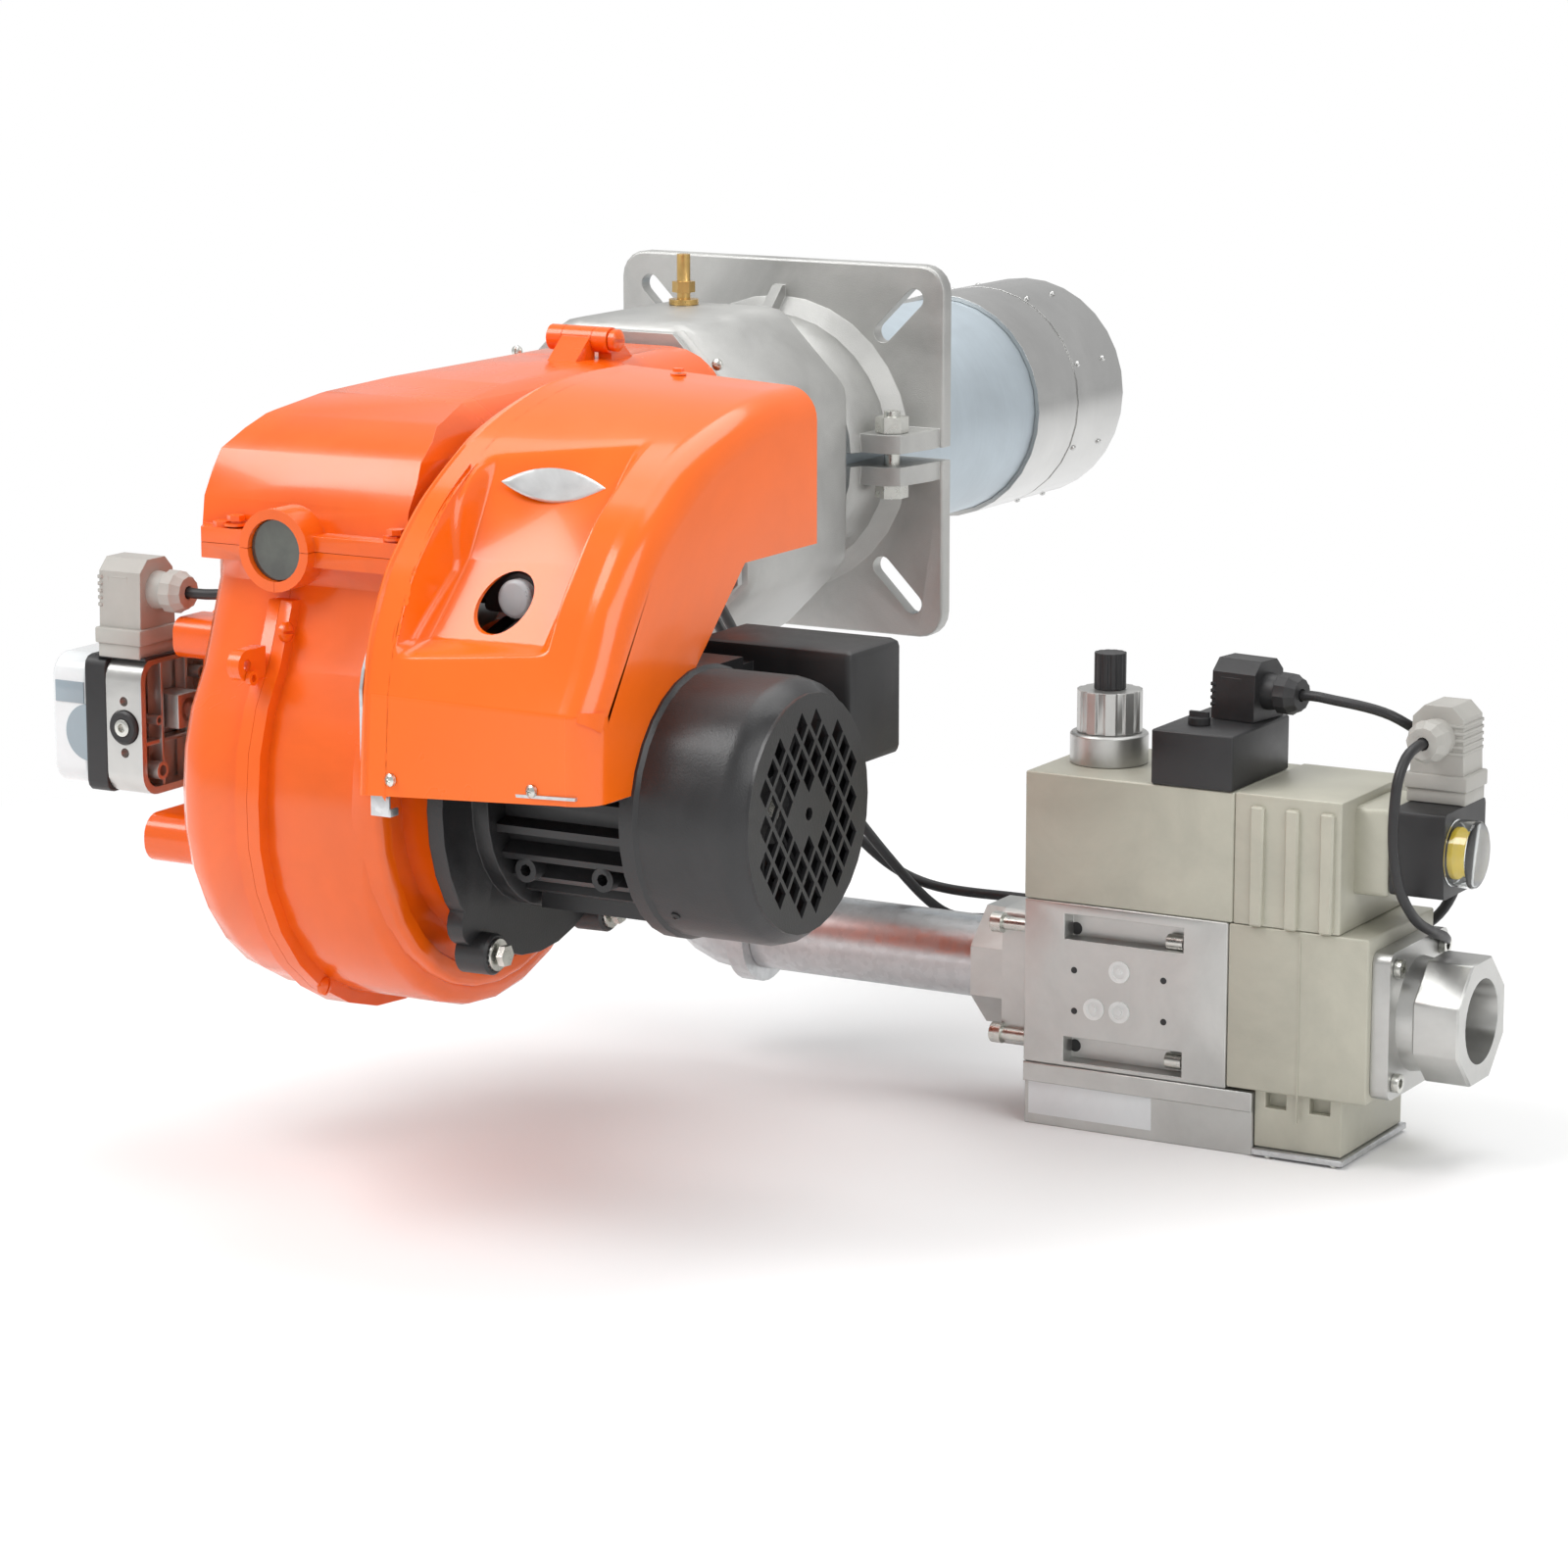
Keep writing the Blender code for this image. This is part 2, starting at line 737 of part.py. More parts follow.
# Fixing flange
def flange_half(upper):
    """One half of the square plate with its slots, hub, rib and clamping ears."""
    half = FLANGE_SIZE / 2
    sign = 1 if upper else -1
    plate = slab("Y", -FLANGE_THICK, 0,
                 rounded_box_points((-half, -half), (half, half), FLANGE_CORNER))
    plate = round_end(plate, "Y", -FLANGE_THICK, FLANGE_THICK / 6, 2)
    hub_radius = TUBE_RADIUS + HUB_WALL
    neck = HUB_BACK - HUB_FOOT_WIDTH / 2
    foot = FLANGE_THICK + HUB_FOOT_WIDTH
    hub = turned("Y", (0, 0, 0), [
        (0, -FLANGE_THICK / 2),
        (hub_radius + HUB_FOOT_WIDTH, -FLANGE_THICK / 2),
        (hub_radius + HUB_FOOT_WIDTH, -FLANGE_THICK),
        (hub_radius + HUB_FOOT_WIDTH / 3, -foot + HUB_FOOT_WIDTH / 3),
        (hub_radius, -foot),
        (hub_radius, -neck),
        (hub_radius - HUB_FOOT_WIDTH / 3, -HUB_BACK),
        (0, -HUB_BACK),
    ])
    plate = fuse(plate, hub)
    rib_top = half - FLANGE_CORNER
    rib = slab("X", -RIB_THICK / 2, RIB_THICK / 2, [
        (-FLANGE_THICK / 2, sign * (hub_radius - HUB_WALL / 2)),
        (-FLANGE_THICK / 2, sign * rib_top),
        (-FLANGE_THICK - RIB_THICK / 2, sign * rib_top),
        (-FLANGE_THICK - RIB_REACH, sign * (hub_radius - HUB_WALL / 4)),
        (-FLANGE_THICK - RIB_REACH, sign * (hub_radius - HUB_WALL / 2)),
    ])
    plate = fuse(plate, rib)
    ear_low = FLANGE_SPLIT / 2
    for side in (1, -1):
        outline = [
            (side * EAR_INNER, -FLANGE_THICK / 2),
            (side * (half - FLANGE_THICK / 4), -FLANGE_THICK / 2),
            (side * (half - FLANGE_THICK / 4), -FLANGE_THICK - EAR_CORNER),
            (side * (half - EAR_CORNER), -EAR_BACK + EAR_CORNER / 2),
            (side * (half - EAR_CORNER * 2), -EAR_BACK),
            (side * (EAR_INNER - HUB_WALL), -EAR_BACK),
            (side * (EAR_INNER - HUB_WALL), -HUB_BACK / 2),
        ]
        ends = sorted((sign * ear_low, sign * (ear_low + EAR_THICK)))
        plate = fuse(plate, slab("Z", ends[0], ends[1], outline))
    for side in (1, -1):
        middle = (SLOT_NEAR + SLOT_FAR) / 2
        slot = slab("Y", -FLANGE_THICK - OVERRUN, OVERRUN, [
            (across - middle, up) for across, up in rounded_box_points(
                (SLOT_NEAR - SLOT_RADIUS, -SLOT_RADIUS),
                (SLOT_FAR + SLOT_RADIUS, SLOT_RADIUS), SLOT_RADIUS)
        ])
        angle = math.radians(45) * sign * side
        spin = Matrix.Rotation(-angle, 4, "Y")
        reach = Vector((side * middle * math.cos(math.radians(45)), 0,
                        sign * middle * math.sin(math.radians(45))))
        slot.data.transform(Matrix.Translation(reach) @ spin)
        plate = cut(plate, slot)
    bore = drum("Y", (0, -HUB_BACK - OVERRUN, 0), HUB_BACK + OVERRUN * 2, TUBE_RADIUS + GAP)
    plate = cut(plate, bore)
    wide = FLANGE_SIZE
    away = box((-wide, -FLANGE_SIZE, -sign * wide / 2 - wide / 2),
               (wide, FLANGE_SIZE, -sign * wide / 2 + wide / 2))
    away.data.transform(Matrix.Translation((0, 0, sign * FLANGE_SPLIT / 2)))
    plate = cut(plate, away)
    for side in (1, -1):
        hole = drum("Z", (side * CLAMP_X, -CLAMP_BACK, -EAR_THICK * 2), EAR_THICK * 4,
                    CLAMP_SHANK + GAP, SMALL_SIDES)
        plate = cut(plate, hole)
    return keep(plate, "flange_upper" if upper else "flange_lower", "cast")


def clamp_bolt(side):
    """Hexagon bolt with its nut, drawn up across the split."""
    seat = FLANGE_SPLIT / 2 + EAR_THICK + GAP
    shank = drum("Z", (side * CLAMP_X, -CLAMP_BACK, -seat - CLAMP_HEAD_HIGH / 2),
                 seat * 2 + CLAMP_HEAD_HIGH * 1.5 + CLAMP_TIP, CLAMP_SHANK, SMALL_SIDES)
    head = drum("Z", (side * CLAMP_X, -CLAMP_BACK, -seat - CLAMP_HEAD_HIGH),
                CLAMP_HEAD_HIGH, CLAMP_HEAD, 6)
    nut = drum("Z", (side * CLAMP_X, -CLAMP_BACK, seat), CLAMP_HEAD_HIGH * 1.2, CLAMP_HEAD, 6)
    return keep(fuse(shank, head, nut), "clamp_bolt_right" if side > 0 else "clamp_bolt_left",
                "zinc")


# Combustion head
def pipe_profile(outer, wall, start, end):
    """Ring section that runs down its outer side and up its bore."""
    return [(outer, end), (outer, start), (outer - wall, start), (outer - wall, end)]


def blast_tube():
    start = -BLOCK_FRONT_BACK - TUBE_SEAT + GAP
    body = turned("Y", (0, 0, 0), pipe_profile(TUBE_RADIUS, TUBE_WALL, start, TUBE_END))
    return keep(body, "blast_tube", "blue_steel")


def head_sleeve():
    inner = TUBE_RADIUS + GAP
    groove = SLEEVE_RADIUS - SLEEVE_SEAM_DEPTH
    body = turned("Y", (0, 0, 0), [
        (SLEEVE_RADIUS, HEAD_END),
        (SLEEVE_RADIUS, SLEEVE_SEAM + SLEEVE_SEAM_WIDTH),
        (groove, SLEEVE_SEAM + SLEEVE_SEAM_WIDTH),
        (groove, SLEEVE_SEAM),
        (SLEEVE_RADIUS, SLEEVE_SEAM),
        (SLEEVE_RADIUS, SLEEVE_START),
        (inner, SLEEVE_START),
        (inner, HEAD_END),
    ])
    return keep(body, "head_sleeve", "steel")


def mixing_head():
    """Gas tube with its nozzle head and the slotted diffuser disc on it."""
    disc_end = DIFFUSER_PLACE + DIFFUSER_THICK
    body = turned("Y", (0, 0, 0), [
        (GAS_TUBE_RADIUS - GAS_TUBE_WALL, DIFFUSER_PLACE - GAS_HEAD_LONG),
        (GAS_HEAD_RADIUS - GAS_TUBE_WALL, DIFFUSER_PLACE - GAS_HEAD_LONG + GAS_HEAD_RADIUS / 2),
        (GAS_HEAD_RADIUS - GAS_TUBE_WALL, disc_end + GAS_HEAD_LONG / 4),
        (GAS_HEAD_RADIUS, disc_end + GAS_HEAD_LONG / 4),
        (GAS_HEAD_RADIUS, disc_end),
        (DIFFUSER_RADIUS, disc_end),
        (DIFFUSER_RADIUS, DIFFUSER_PLACE),
        (GAS_HEAD_RADIUS, DIFFUSER_PLACE),
        (GAS_HEAD_RADIUS, DIFFUSER_PLACE - GAS_HEAD_LONG + GAS_HEAD_RADIUS / 2),
        (GAS_TUBE_RADIUS, DIFFUSER_PLACE - GAS_HEAD_LONG - GAS_TUBE_WALL),
        (GAS_TUBE_RADIUS, -MIXER_BACK),
        (GAS_TUBE_RADIUS - GAS_TUBE_WALL, -MIXER_BACK),
    ], 24)
    slots = []
    for step in range(DIFFUSER_SLOTS):
        slot = box((GAS_HEAD_RADIUS + DIFFUSER_SLOT_WIDTH / 2, DIFFUSER_PLACE - OVERRUN / 2,
                    -DIFFUSER_SLOT_WIDTH / 2),
                   (DIFFUSER_SLOT_OUTER, disc_end + OVERRUN / 2, DIFFUSER_SLOT_WIDTH / 2))
        turn = FULL_TURN * (step + 0.5) / DIFFUSER_SLOTS
        slot.data.transform(Matrix.Rotation(turn, 4, "Y"))
        slots.append(slot)
    body = cut(body, group(slots))
    holes = [drum("Y", (x, DIFFUSER_PLACE - OVERRUN, z), OVERRUN * 2, ROD_RADIUS, SMALL_SIDES)
             for x, z in electrode_places()]
    body = cut(body, group(holes))
    reach = (TUBE_RADIUS - TUBE_WALL) * math.cos(math.pi / ROUND_SIDES) - GAP * 2
    arms = []
    for step in range(3):
        arm = box((GAS_TUBE_RADIUS - GAS_TUBE_WALL / 2, SPIDER_PLACE, -SPIDER_THICK / 2),
                  (reach, SPIDER_PLACE + SPIDER_LONG, SPIDER_THICK / 2))
        arm.data.transform(Matrix.Rotation(FULL_TURN * (step + 0.25) / 3, 4, "Y"))
        arms.append(arm)
    body = fuse(body, group(arms))
    height = electrode_places()[0][1]
    clip = box((-CLIP_HALF, SPIDER_PLACE + SPIDER_THICK, height - CLIP_TALL / 2),
               (CLIP_HALF, SPIDER_PLACE + SPIDER_LONG - SPIDER_THICK, height + CLIP_TALL / 2))
    sockets = [drum("Y", (x, SPIDER_PLACE - OVERRUN, z), SPIDER_LONG + OVERRUN * 2,
                    ELECTRODE_BODY + GAP, SMALL_SIDES) for x, z in electrode_places()]
    body = cut(fuse(body, clip), group(sockets))
    return keep(at_origin(body, (0, -MIXER_BACK, 0)), "mixing_head", "steel")


def electrode_places():
    return [(ELECTRODE_OFFSET * math.cos(turn), ELECTRODE_OFFSET * math.sin(turn))
            for turn in ELECTRODE_TURNS]


def electrode(name, place):
    """Ceramic body with its wire, along the gas tube."""
    body = turned("Y", (0, 0, 0), [
        (0, ELECTRODE_TIP),
        (ROD_RADIUS / 2, ELECTRODE_TIP),
        (ROD_RADIUS / 2, CERAMIC_END),
        (ELECTRODE_BODY, CERAMIC_END),
        (ELECTRODE_BODY, ELECTRODE_BACK),
        (0, ELECTRODE_BACK),
    ], SMALL_SIDES)
    body.data.transform(Matrix.Translation((place[0], 0, place[1])))
    return keep(body, name, "white")


# Cast block
def block_outline(shrink):
    half = BLOCK_HALF - shrink
    top = BLOCK_TOP - shrink
    bottom = -BLOCK_BOTTOM + shrink
    slope = BLOCK_CHAMFER - shrink * 0.4
    return [(half, bottom + slope), (half, top - slope), (half - slope, top),
            (-half + slope, top), (-half, top - slope), (-half, bottom + slope),
            (-half + slope, bottom), (half - slope, bottom)]


def head_block():
    body = slab("Y", -BLOCK_REAR_BACK, -BLOCK_FRONT_BACK, block_outline(0))
    body = round_edges(body, BLOCK_EDGE, 2, 20)
    seat = drum("Y", (0, -BLOCK_FRONT_BACK - TUBE_SEAT, 0), TUBE_SEAT + OVERRUN,
                TUBE_RADIUS + GAP)
    bore = drum("Y", (0, -BLOCK_REAR_BACK - OVERRUN, 0),
                BLOCK_REAR_BACK - BLOCK_FRONT_BACK + OVERRUN * 2, BLOCK_BORE)
    body = cut(body, bore, seat)
    gas = drum("Z", (0, -GAS_BACK, -BLOCK_BOTTOM - OVERRUN), BLOCK_BOTTOM, BLOCK_GAS_BORE)
    body = cut(body, gas)
    nipple = drum("Z", (NIPPLE_X, -NIPPLE_BACK, BLOCK_TOP - OVERRUN), OVERRUN * 2,
                  NIPPLE_STEM + GAP, SMALL_SIDES)
    body = cut(body, nipple)
    return keep(body, "head_block", "cast")


def block_plate():
    """Flat plate that closes the rear of the block round the air neck."""
    start = -BLOCK_REAR_BACK - GAP - PLATE_THICK
    body = slab("Y", start, -BLOCK_REAR_BACK - GAP, block_outline(PLATE_INSET),
                [ring_points((0, 0), NECK_BORE, ROUND_SIDES)])
    return keep(body, "block_plate", "cast")


def test_nipple():
    """Pressure tapping: zinc foot nut, hexagon and stem with a fine bore."""
    low = BLOCK_TOP + GAP
    hexagon = drum("Z", (NIPPLE_X, -NIPPLE_BACK, low + NIPPLE_HEX_LOW), NIPPLE_HEX_HIGH,
                   NIPPLE_HEX, 6)
    body = turned("Z", (NIPPLE_X, -NIPPLE_BACK, low), [
        (NIPPLE_BORE, NIPPLE_HIGH),
        (NIPPLE_STEM, NIPPLE_HIGH),
        (NIPPLE_STEM, NIPPLE_NUT_HIGH),
        (NIPPLE_NUT, NIPPLE_NUT_HIGH),
        (NIPPLE_NUT, 0),
        (NIPPLE_STEM, 0),
        (NIPPLE_STEM, -OVERRUN / 2),
        (NIPPLE_BORE, -OVERRUN / 2),
    ], SMALL_SIDES)
    bore = drum("Z", (NIPPLE_X, -NIPPLE_BACK, low - OVERRUN), NIPPLE_HIGH + OVERRUN * 2,
                NIPPLE_BORE * 0.9, SMALL_SIDES // 2)
    return keep(fuse(body, cut(hexagon, bore)), "test_nipple", "brass")


# Air casing
def spiral_radius(turn):
    """The casing opens evenly from its rear to its front side."""
    return SPIRAL_REAR + (SPIRAL_FRONT - SPIRAL_REAR) * max(turn, 0) / math.pi


def casing_outline(past=0.0):
    """Side view of the lower casing in (y, z), run on past its open top and front."""
    centre = (-MOTOR_BACK, -MOTOR_LOW)
    points = [(-CASING_REAR_BACK, SPLIT_HIGH + past), (-CASING_REAR_BACK, -SHOULDER_LOW)]
    for step in range(SPIRAL_STEPS + 1):
        turn = SPIRAL_START_TURN + (math.pi - SPIRAL_START_TURN) * step / SPIRAL_STEPS
        radius = spiral_radius(turn)
        points.append((centre[0] - radius * math.cos(turn), centre[1] - radius * math.sin(turn)))
    points += [(-DUCT_TURN_BACK, -DUCT_LOW), (-DUCT_FRONT_BACK + past, -DUCT_LOW),
               (-DUCT_FRONT_BACK + past, SPLIT_HIGH + past)]
    return points


def boss(sides=28):
    """Tube behind the casing that holds the sight glass."""
    return drum("Y", (SEAM_X, -BOSS_BACK, SPLIT_HIGH), BOSS_BACK - BOSS_FRONT_BACK,
                BOSS_RADIUS, sides)


def boss_bore(sides=28):
    return drum("Y", (SEAM_X, -BOSS_BACK - OVERRUN, SPLIT_HIGH),
                BOSS_BACK - BOSS_FRONT_BACK + OVERRUN * 2, BOSS_BORE, sides)


def seam_collar(start, end):
    """Flange round the spiral along the seam between the casing halves."""
    outer = inset(casing_outline(), -SEAM_RISE)
    body = slab("X", start, end, outer)
    hollow = slab("X", start - OVERRUN, end + OVERRUN, inset(casing_outline(), CASING_WALL / 2))
    body = cut(body, hollow)
    above = box((start - OVERRUN, -CASING_REAR_BACK - SEAM_RISE * 4, -SHOULDER_LOW - SEAM_RISE),
                (end + OVERRUN, -DUCT_FRONT_BACK + OVERRUN * 2, SPLIT_HIGH + OVERRUN * 2))
    ahead = box((start - OVERRUN, -DUCT_TURN_BACK, -DUCT_LOW * 2),
                (end + OVERRUN, -DUCT_FRONT_BACK + OVERRUN * 2, SPLIT_HIGH + OVERRUN))
    return cut(body, above, ahead)


def casing_ledge(low, high):
    """Flat edge behind the split line that the cover screws hold."""
    reach = CASING_REAR_BACK + LEDGE_REACH
    return slab("Z", low, high, [
        (CASING_LEFT - LEDGE_SIDE + CASING_ROUND / 2, -reach),
        (CASING_RIGHT + LEDGE_SIDE, -reach),
        (CASING_RIGHT + LEDGE_SIDE, -CASING_REAR_BACK + LEDGE_REACH),
        (CASING_RIGHT - CASING_WALL / 2, -CASING_REAR_BACK + LEDGE_REACH),
        (CASING_RIGHT - CASING_WALL / 2, -CASING_REAR_BACK + CASING_WALL / 2),
        (CASING_LEFT + CASING_ROUND, -CASING_REAR_BACK + CASING_WALL / 2),
        (CASING_LEFT + CASING_WALL / 2, -CASING_REAR_BACK + CASING_ROUND),
        (CASING_LEFT - LEDGE_SIDE, -CASING_REAR_BACK + CASING_ROUND),
        (CASING_LEFT - LEDGE_SIDE, -CASING_REAR_BACK + CASING_ROUND / 2),
    ])


def half_space(low, high):
    reach = FLANGE_SIZE * 4
    return box((low if low is not None else -reach, -reach, -reach),
               (high if high is not None else reach, reach, reach))


def seam_lug(start, end, low, reach):
    """Lug with a screw hole on the seam flange."""
    centre = (-MOTOR_BACK - reach, low)
    plate = slab("X", start, end, ring_points(centre, LUG_SIZE / 2, SMALL_SIDES))
    web = box((start, centre[0], centre[1] - LUG_SIZE / 2),
              (end, centre[0] + LUG_SIZE, centre[1] + LUG_SIZE / 2))
    return fuse(plate, web)


def volute(left):
    """Left or right half of the lower casing."""
    edge = CASING_LEFT if left else CASING_RIGHT
    seam = SEAM_X - GAP / 2 if left else SEAM_X + GAP / 2
    past = seam + OVERRUN if left else seam - OVERRUN
    start, end = sorted((edge, past))
    rounding = CASING_ROUND if left else CASING_ROUND_RIGHT
    body = round_end(slab("X", start, end, casing_outline(CASING_PAST)), "X", edge, rounding)
    collar_end = seam - SEAM_FLANGE if left else seam + SEAM_FLANGE
    low, high = sorted(((seam + past) / 2, collar_end))
    body = fuse(body, seam_collar(low, high))
    body = fuse(body, casing_ledge(SPLIT_HIGH - LEDGE_THICK, SPLIT_HIGH + LEDGE_THICK / 4),
                boss())
    inner_edge = edge + CASING_WALL if left else edge - CASING_WALL
    past = seam + OVERRUN * 2 if left else seam - OVERRUN * 2
    in_low, in_high = sorted((inner_edge, past))
    if not left:
        centre = (-MOTOR_BACK, -MOTOR_LOW)
        rim = drum("X", (CASING_RIGHT - CASING_ROUND_RIGHT, *centre),
                   RIM_X - CASING_RIGHT + CASING_ROUND_RIGHT, RIM_RADIUS)
        rim = round_end(rim, "X", RIM_X, RIM_ROUND / 2, 3)
        body = fuse(body, rim)
        body = cut(body, turned("X", (0, *centre), [
            (RIM_RADIUS - RIM_WIDTH, RIM_X + OVERRUN),
            (RIM_RADIUS - RIM_WIDTH * 2, RIM_X - RIM_DEEP),
            (SEAT_RADIUS, RIM_X - RIM_DEEP),
            (SEAT_RADIUS, RIM_X + OVERRUN),
        ]))
        seat = drum("X", (CASING_RIGHT - CASING_WALL, *centre),
                    SEAT_X - CASING_RIGHT + CASING_WALL, SEAT_RADIUS + CASING_WALL)
        body = fuse(body, seat)
    cavity = round_end(slab("X", in_low, in_high, inset(casing_outline(CASING_PAST),
                                                       CASING_WALL)), "X",
                       inner_edge, rounding - CASING_WALL)
    body = cut(body, cavity, boss_bore())
    eye_start = (edge - OVERRUN, -MOTOR_BACK, -MOTOR_LOW)
    if left:
        body = cut(body, drum("X", eye_start, OVERRUN * 3, AIR_EYE))
    else:
        body = cut(body, drum("X", eye_start, OVERRUN * 6, SHAFT_EYE))
    if left:
        lug = seam_lug(seam - SEAM_FLANGE, seam, -MOTOR_LOW + LUG_RISE * 4, SPIRAL_REAR + SEAM_RISE / 2)
        lug = cut(lug, drum("X", (seam - SEAM_FLANGE - OVERRUN,
                                  -MOTOR_BACK - SPIRAL_REAR - SEAM_RISE / 2,
                                  -MOTOR_LOW + LUG_RISE * 4), OVERRUN * 3, LUG_SIZE / 5,
                            SMALL_SIDES))
    beyond = half_space(seam, None) if left else half_space(None, seam)
    above = box((-FLANGE_SIZE, -BOSS_BACK - OVERRUN, SPLIT_HIGH),
                (FLANGE_SIZE, -DUCT_FRONT_BACK + CASING_PAST * 2, SPLIT_HIGH + CASING_PAST * 2))
    ahead = box((-FLANGE_SIZE, -DUCT_FRONT_BACK, -FLANGE_SIZE),
                (FLANGE_SIZE, -DUCT_FRONT_BACK + CASING_PAST * 2, SPLIT_HIGH + OVERRUN))
    body = cut(body, beyond, above, ahead)
    if left:
        body = fuse(body, lug)
    return keep(body, "volute_left" if left else "volute_right", "orange")


def cover_outline():
    """Side view of the upper cover from its hinge to the ledge, counter-clockwise."""
    base = SPLIT_HIGH + GAP
    rise = COVER_TOP - base
    base_past = base - OVERRUN / 2
    length = CASING_REAR_BACK - HINGE_BACK
    shape_shares = ((1, 0), (0.985, 0.30), (0.93, 0.62), (0.82, 0.83), (0.66, 0.94),
                    (0.45, 0.985), (0.20, 1.0), (0, 1.0), (0, 0))
    front = HINGE_BACK + GAP * 4
    points = [(-front - (length - GAP * 4) * along, base + rise * up if up else base_past)
              for along, up in shape_shares]
    return points[::-1]


def scroll_cover():
    outline = cover_outline()
    body = common(slab("X", CASING_LEFT - OVERRUN, CASING_RIGHT + OVERRUN, outline),
                  arched_bar(0))
    body = fuse(body, casing_ledge(SPLIT_HIGH - LEDGE_THICK / 4, SPLIT_HIGH + GAP + LEDGE_THICK), boss())
    inner = shoulder_cavity(outline)
    body = cut(body, inner, boss_bore())
    below = box((-FLANGE_SIZE, -BOSS_BACK - OVERRUN, SPLIT_HIGH + GAP - BOSS_RADIUS * 2),
                (FLANGE_SIZE, -DUCT_FRONT_BACK, SPLIT_HIGH + GAP))
    body = cut(body, below)
    knuckle = drum("X", (HINGE_X, -HINGE_BACK, HINGE_HIGH), KNUCKLE_LONG, HINGE_RADIUS,
                   SMALL_SIDES)
    web = slab("X", HINGE_X + GAP * 2, HINGE_X + KNUCKLE_LONG - GAP * 2, [
        (-HINGE_BACK - HINGE_RADIUS * 0.9, HINGE_HIGH + HINGE_RADIUS * 0.3),
        (-HINGE_BACK - HINGE_FOOT, COVER_TOP - CASING_WALL / 2),
        (-HINGE_BACK - GAP * 6, COVER_TOP - CASING_WALL / 2),
        (-HINGE_BACK - GAP * 6, HINGE_HIGH - HINGE_RADIUS * 0.8),
    ])
    body = fuse(body, web, knuckle)
    pin = drum("X", (HINGE_X - OVERRUN, -HINGE_BACK, HINGE_HIGH), KNUCKLE_LONG + OVERRUN * 2,
               HINGE_PIN + HINGE_PIN_PLAY, SMALL_SIDES)
    body = cut(body, pin)
    for place in (CASING_LEFT + CASING_ROUND * 0.7, CASING_RIGHT - LEDGE_SIDE):
        bolt = drum("Z", (place, -CASING_REAR_BACK - LEDGE_REACH * 0.4,
                          SPLIT_HIGH + LEDGE_THICK / 2),
                    LEDGE_THICK / 2 + COVER_BOLT_HIGH, COVER_BOLT, 6)
        body = fuse(body, bolt)
    return keep(at_origin(body, (0, -HINGE_BACK, HINGE_HIGH)), "scroll_cover", "orange")


def arched_bar(shrink):
    """Arched bar along the cover's length, which follows the drop of its roof."""
    left, right = CASING_LEFT + shrink, CASING_RIGHT - shrink
    radius = COVER_ROUND * 1.4 - shrink
    base = SPLIT_HIGH - OVERRUN * 2
    top = COVER_TOP - shrink
    points = [(left, base), (right, base)]
    steps = 6
    for step in range(steps + 1):
        angle = math.pi / 2 * step / steps
        points.append((right - radius + radius * math.cos(angle),
                       top - radius + radius * math.sin(angle)))
    for step in range(steps + 1):
        angle = math.pi / 2 * (1 + step / steps)
        points.append((left + radius + radius * math.cos(angle),
                       top - radius + radius * math.sin(angle)))
    rear = -CASING_REAR_BACK - OVERRUN + shrink
    return slab("Y", rear, -DUCT_FRONT_BACK + OVERRUN, points)


def shoulder_cavity(outline):
    """Inner space of the cover, run on past its open front and bottom."""
    points = inset(outline, CASING_WALL)
    low = SPLIT_HIGH - OVERRUN
    front = -HINGE_BACK + OVERRUN
    points[0] = (front, low)
    points[1] = (front, COVER_TOP - CASING_WALL)
    points[-1] = (-CASING_REAR_BACK + CASING_WALL, low)
    body = slab("X", CASING_LEFT, CASING_RIGHT, points)
    return common(body, arched_bar(CASING_WALL))


def duct_neck():
    """Round ring on the block's plate with the fixed arch that carries the hinge."""
    ring_start = -BLOCK_REAR_BACK - PLATE_THICK - GAP * 2 - NECK_RING_THICK
    body = drum("Y", (0, ring_start, 0), NECK_RING_THICK, NECK_RING)
    arch_end = -HINGE_BACK - GAP
    arch = arched_bar(0)
    limits = box((-FLANGE_SIZE, arch_end, SPLIT_HIGH + GAP),
                 (FLANGE_SIZE, ring_start + NECK_RING_THICK / 2, COVER_TOP + OVERRUN))
    arch = common(arch, limits)
    hollow = common(arched_bar(CASING_WALL), box(
        (-FLANGE_SIZE, arch_end - OVERRUN, SPLIT_HIGH - OVERRUN),
        (FLANGE_SIZE, ring_start, COVER_TOP + OVERRUN)))
    arch = cut(arch, hollow)
    body = fuse(body, arch)
    for start in (HINGE_X - LUG_LONG - GAP, HINGE_X + KNUCKLE_LONG + GAP):
        lug = drum("X", (start, -HINGE_BACK, HINGE_HIGH), LUG_LONG, HINGE_RADIUS, SMALL_SIDES)
        foot = slab("X", start + GAP * 2, start + LUG_LONG - GAP * 2, [
            (arch_end + GAP * 2, COVER_TOP - CASING_WALL / 2),
            (-HINGE_BACK + HINGE_FOOT, COVER_TOP - CASING_WALL / 2),
            (-HINGE_BACK + HINGE_RADIUS * 0.9, HINGE_HIGH + HINGE_RADIUS * 0.3),
            (-HINGE_BACK, HINGE_HIGH),
        ])
        body = fuse(body, foot, lug)
    pin = drum("X", (HINGE_X - LUG_LONG - OVERRUN, -HINGE_BACK, HINGE_HIGH),
               KNUCKLE_LONG + LUG_LONG * 2 + OVERRUN * 2, HINGE_PIN + GAP, SMALL_SIDES)
    bore = drum("Y", (0, ring_start - OVERRUN, 0), NECK_RING_THICK + OVERRUN * 2, NECK_BORE)
    body = cut(body, pin, bore)
    return keep(body, "duct_neck", "orange")


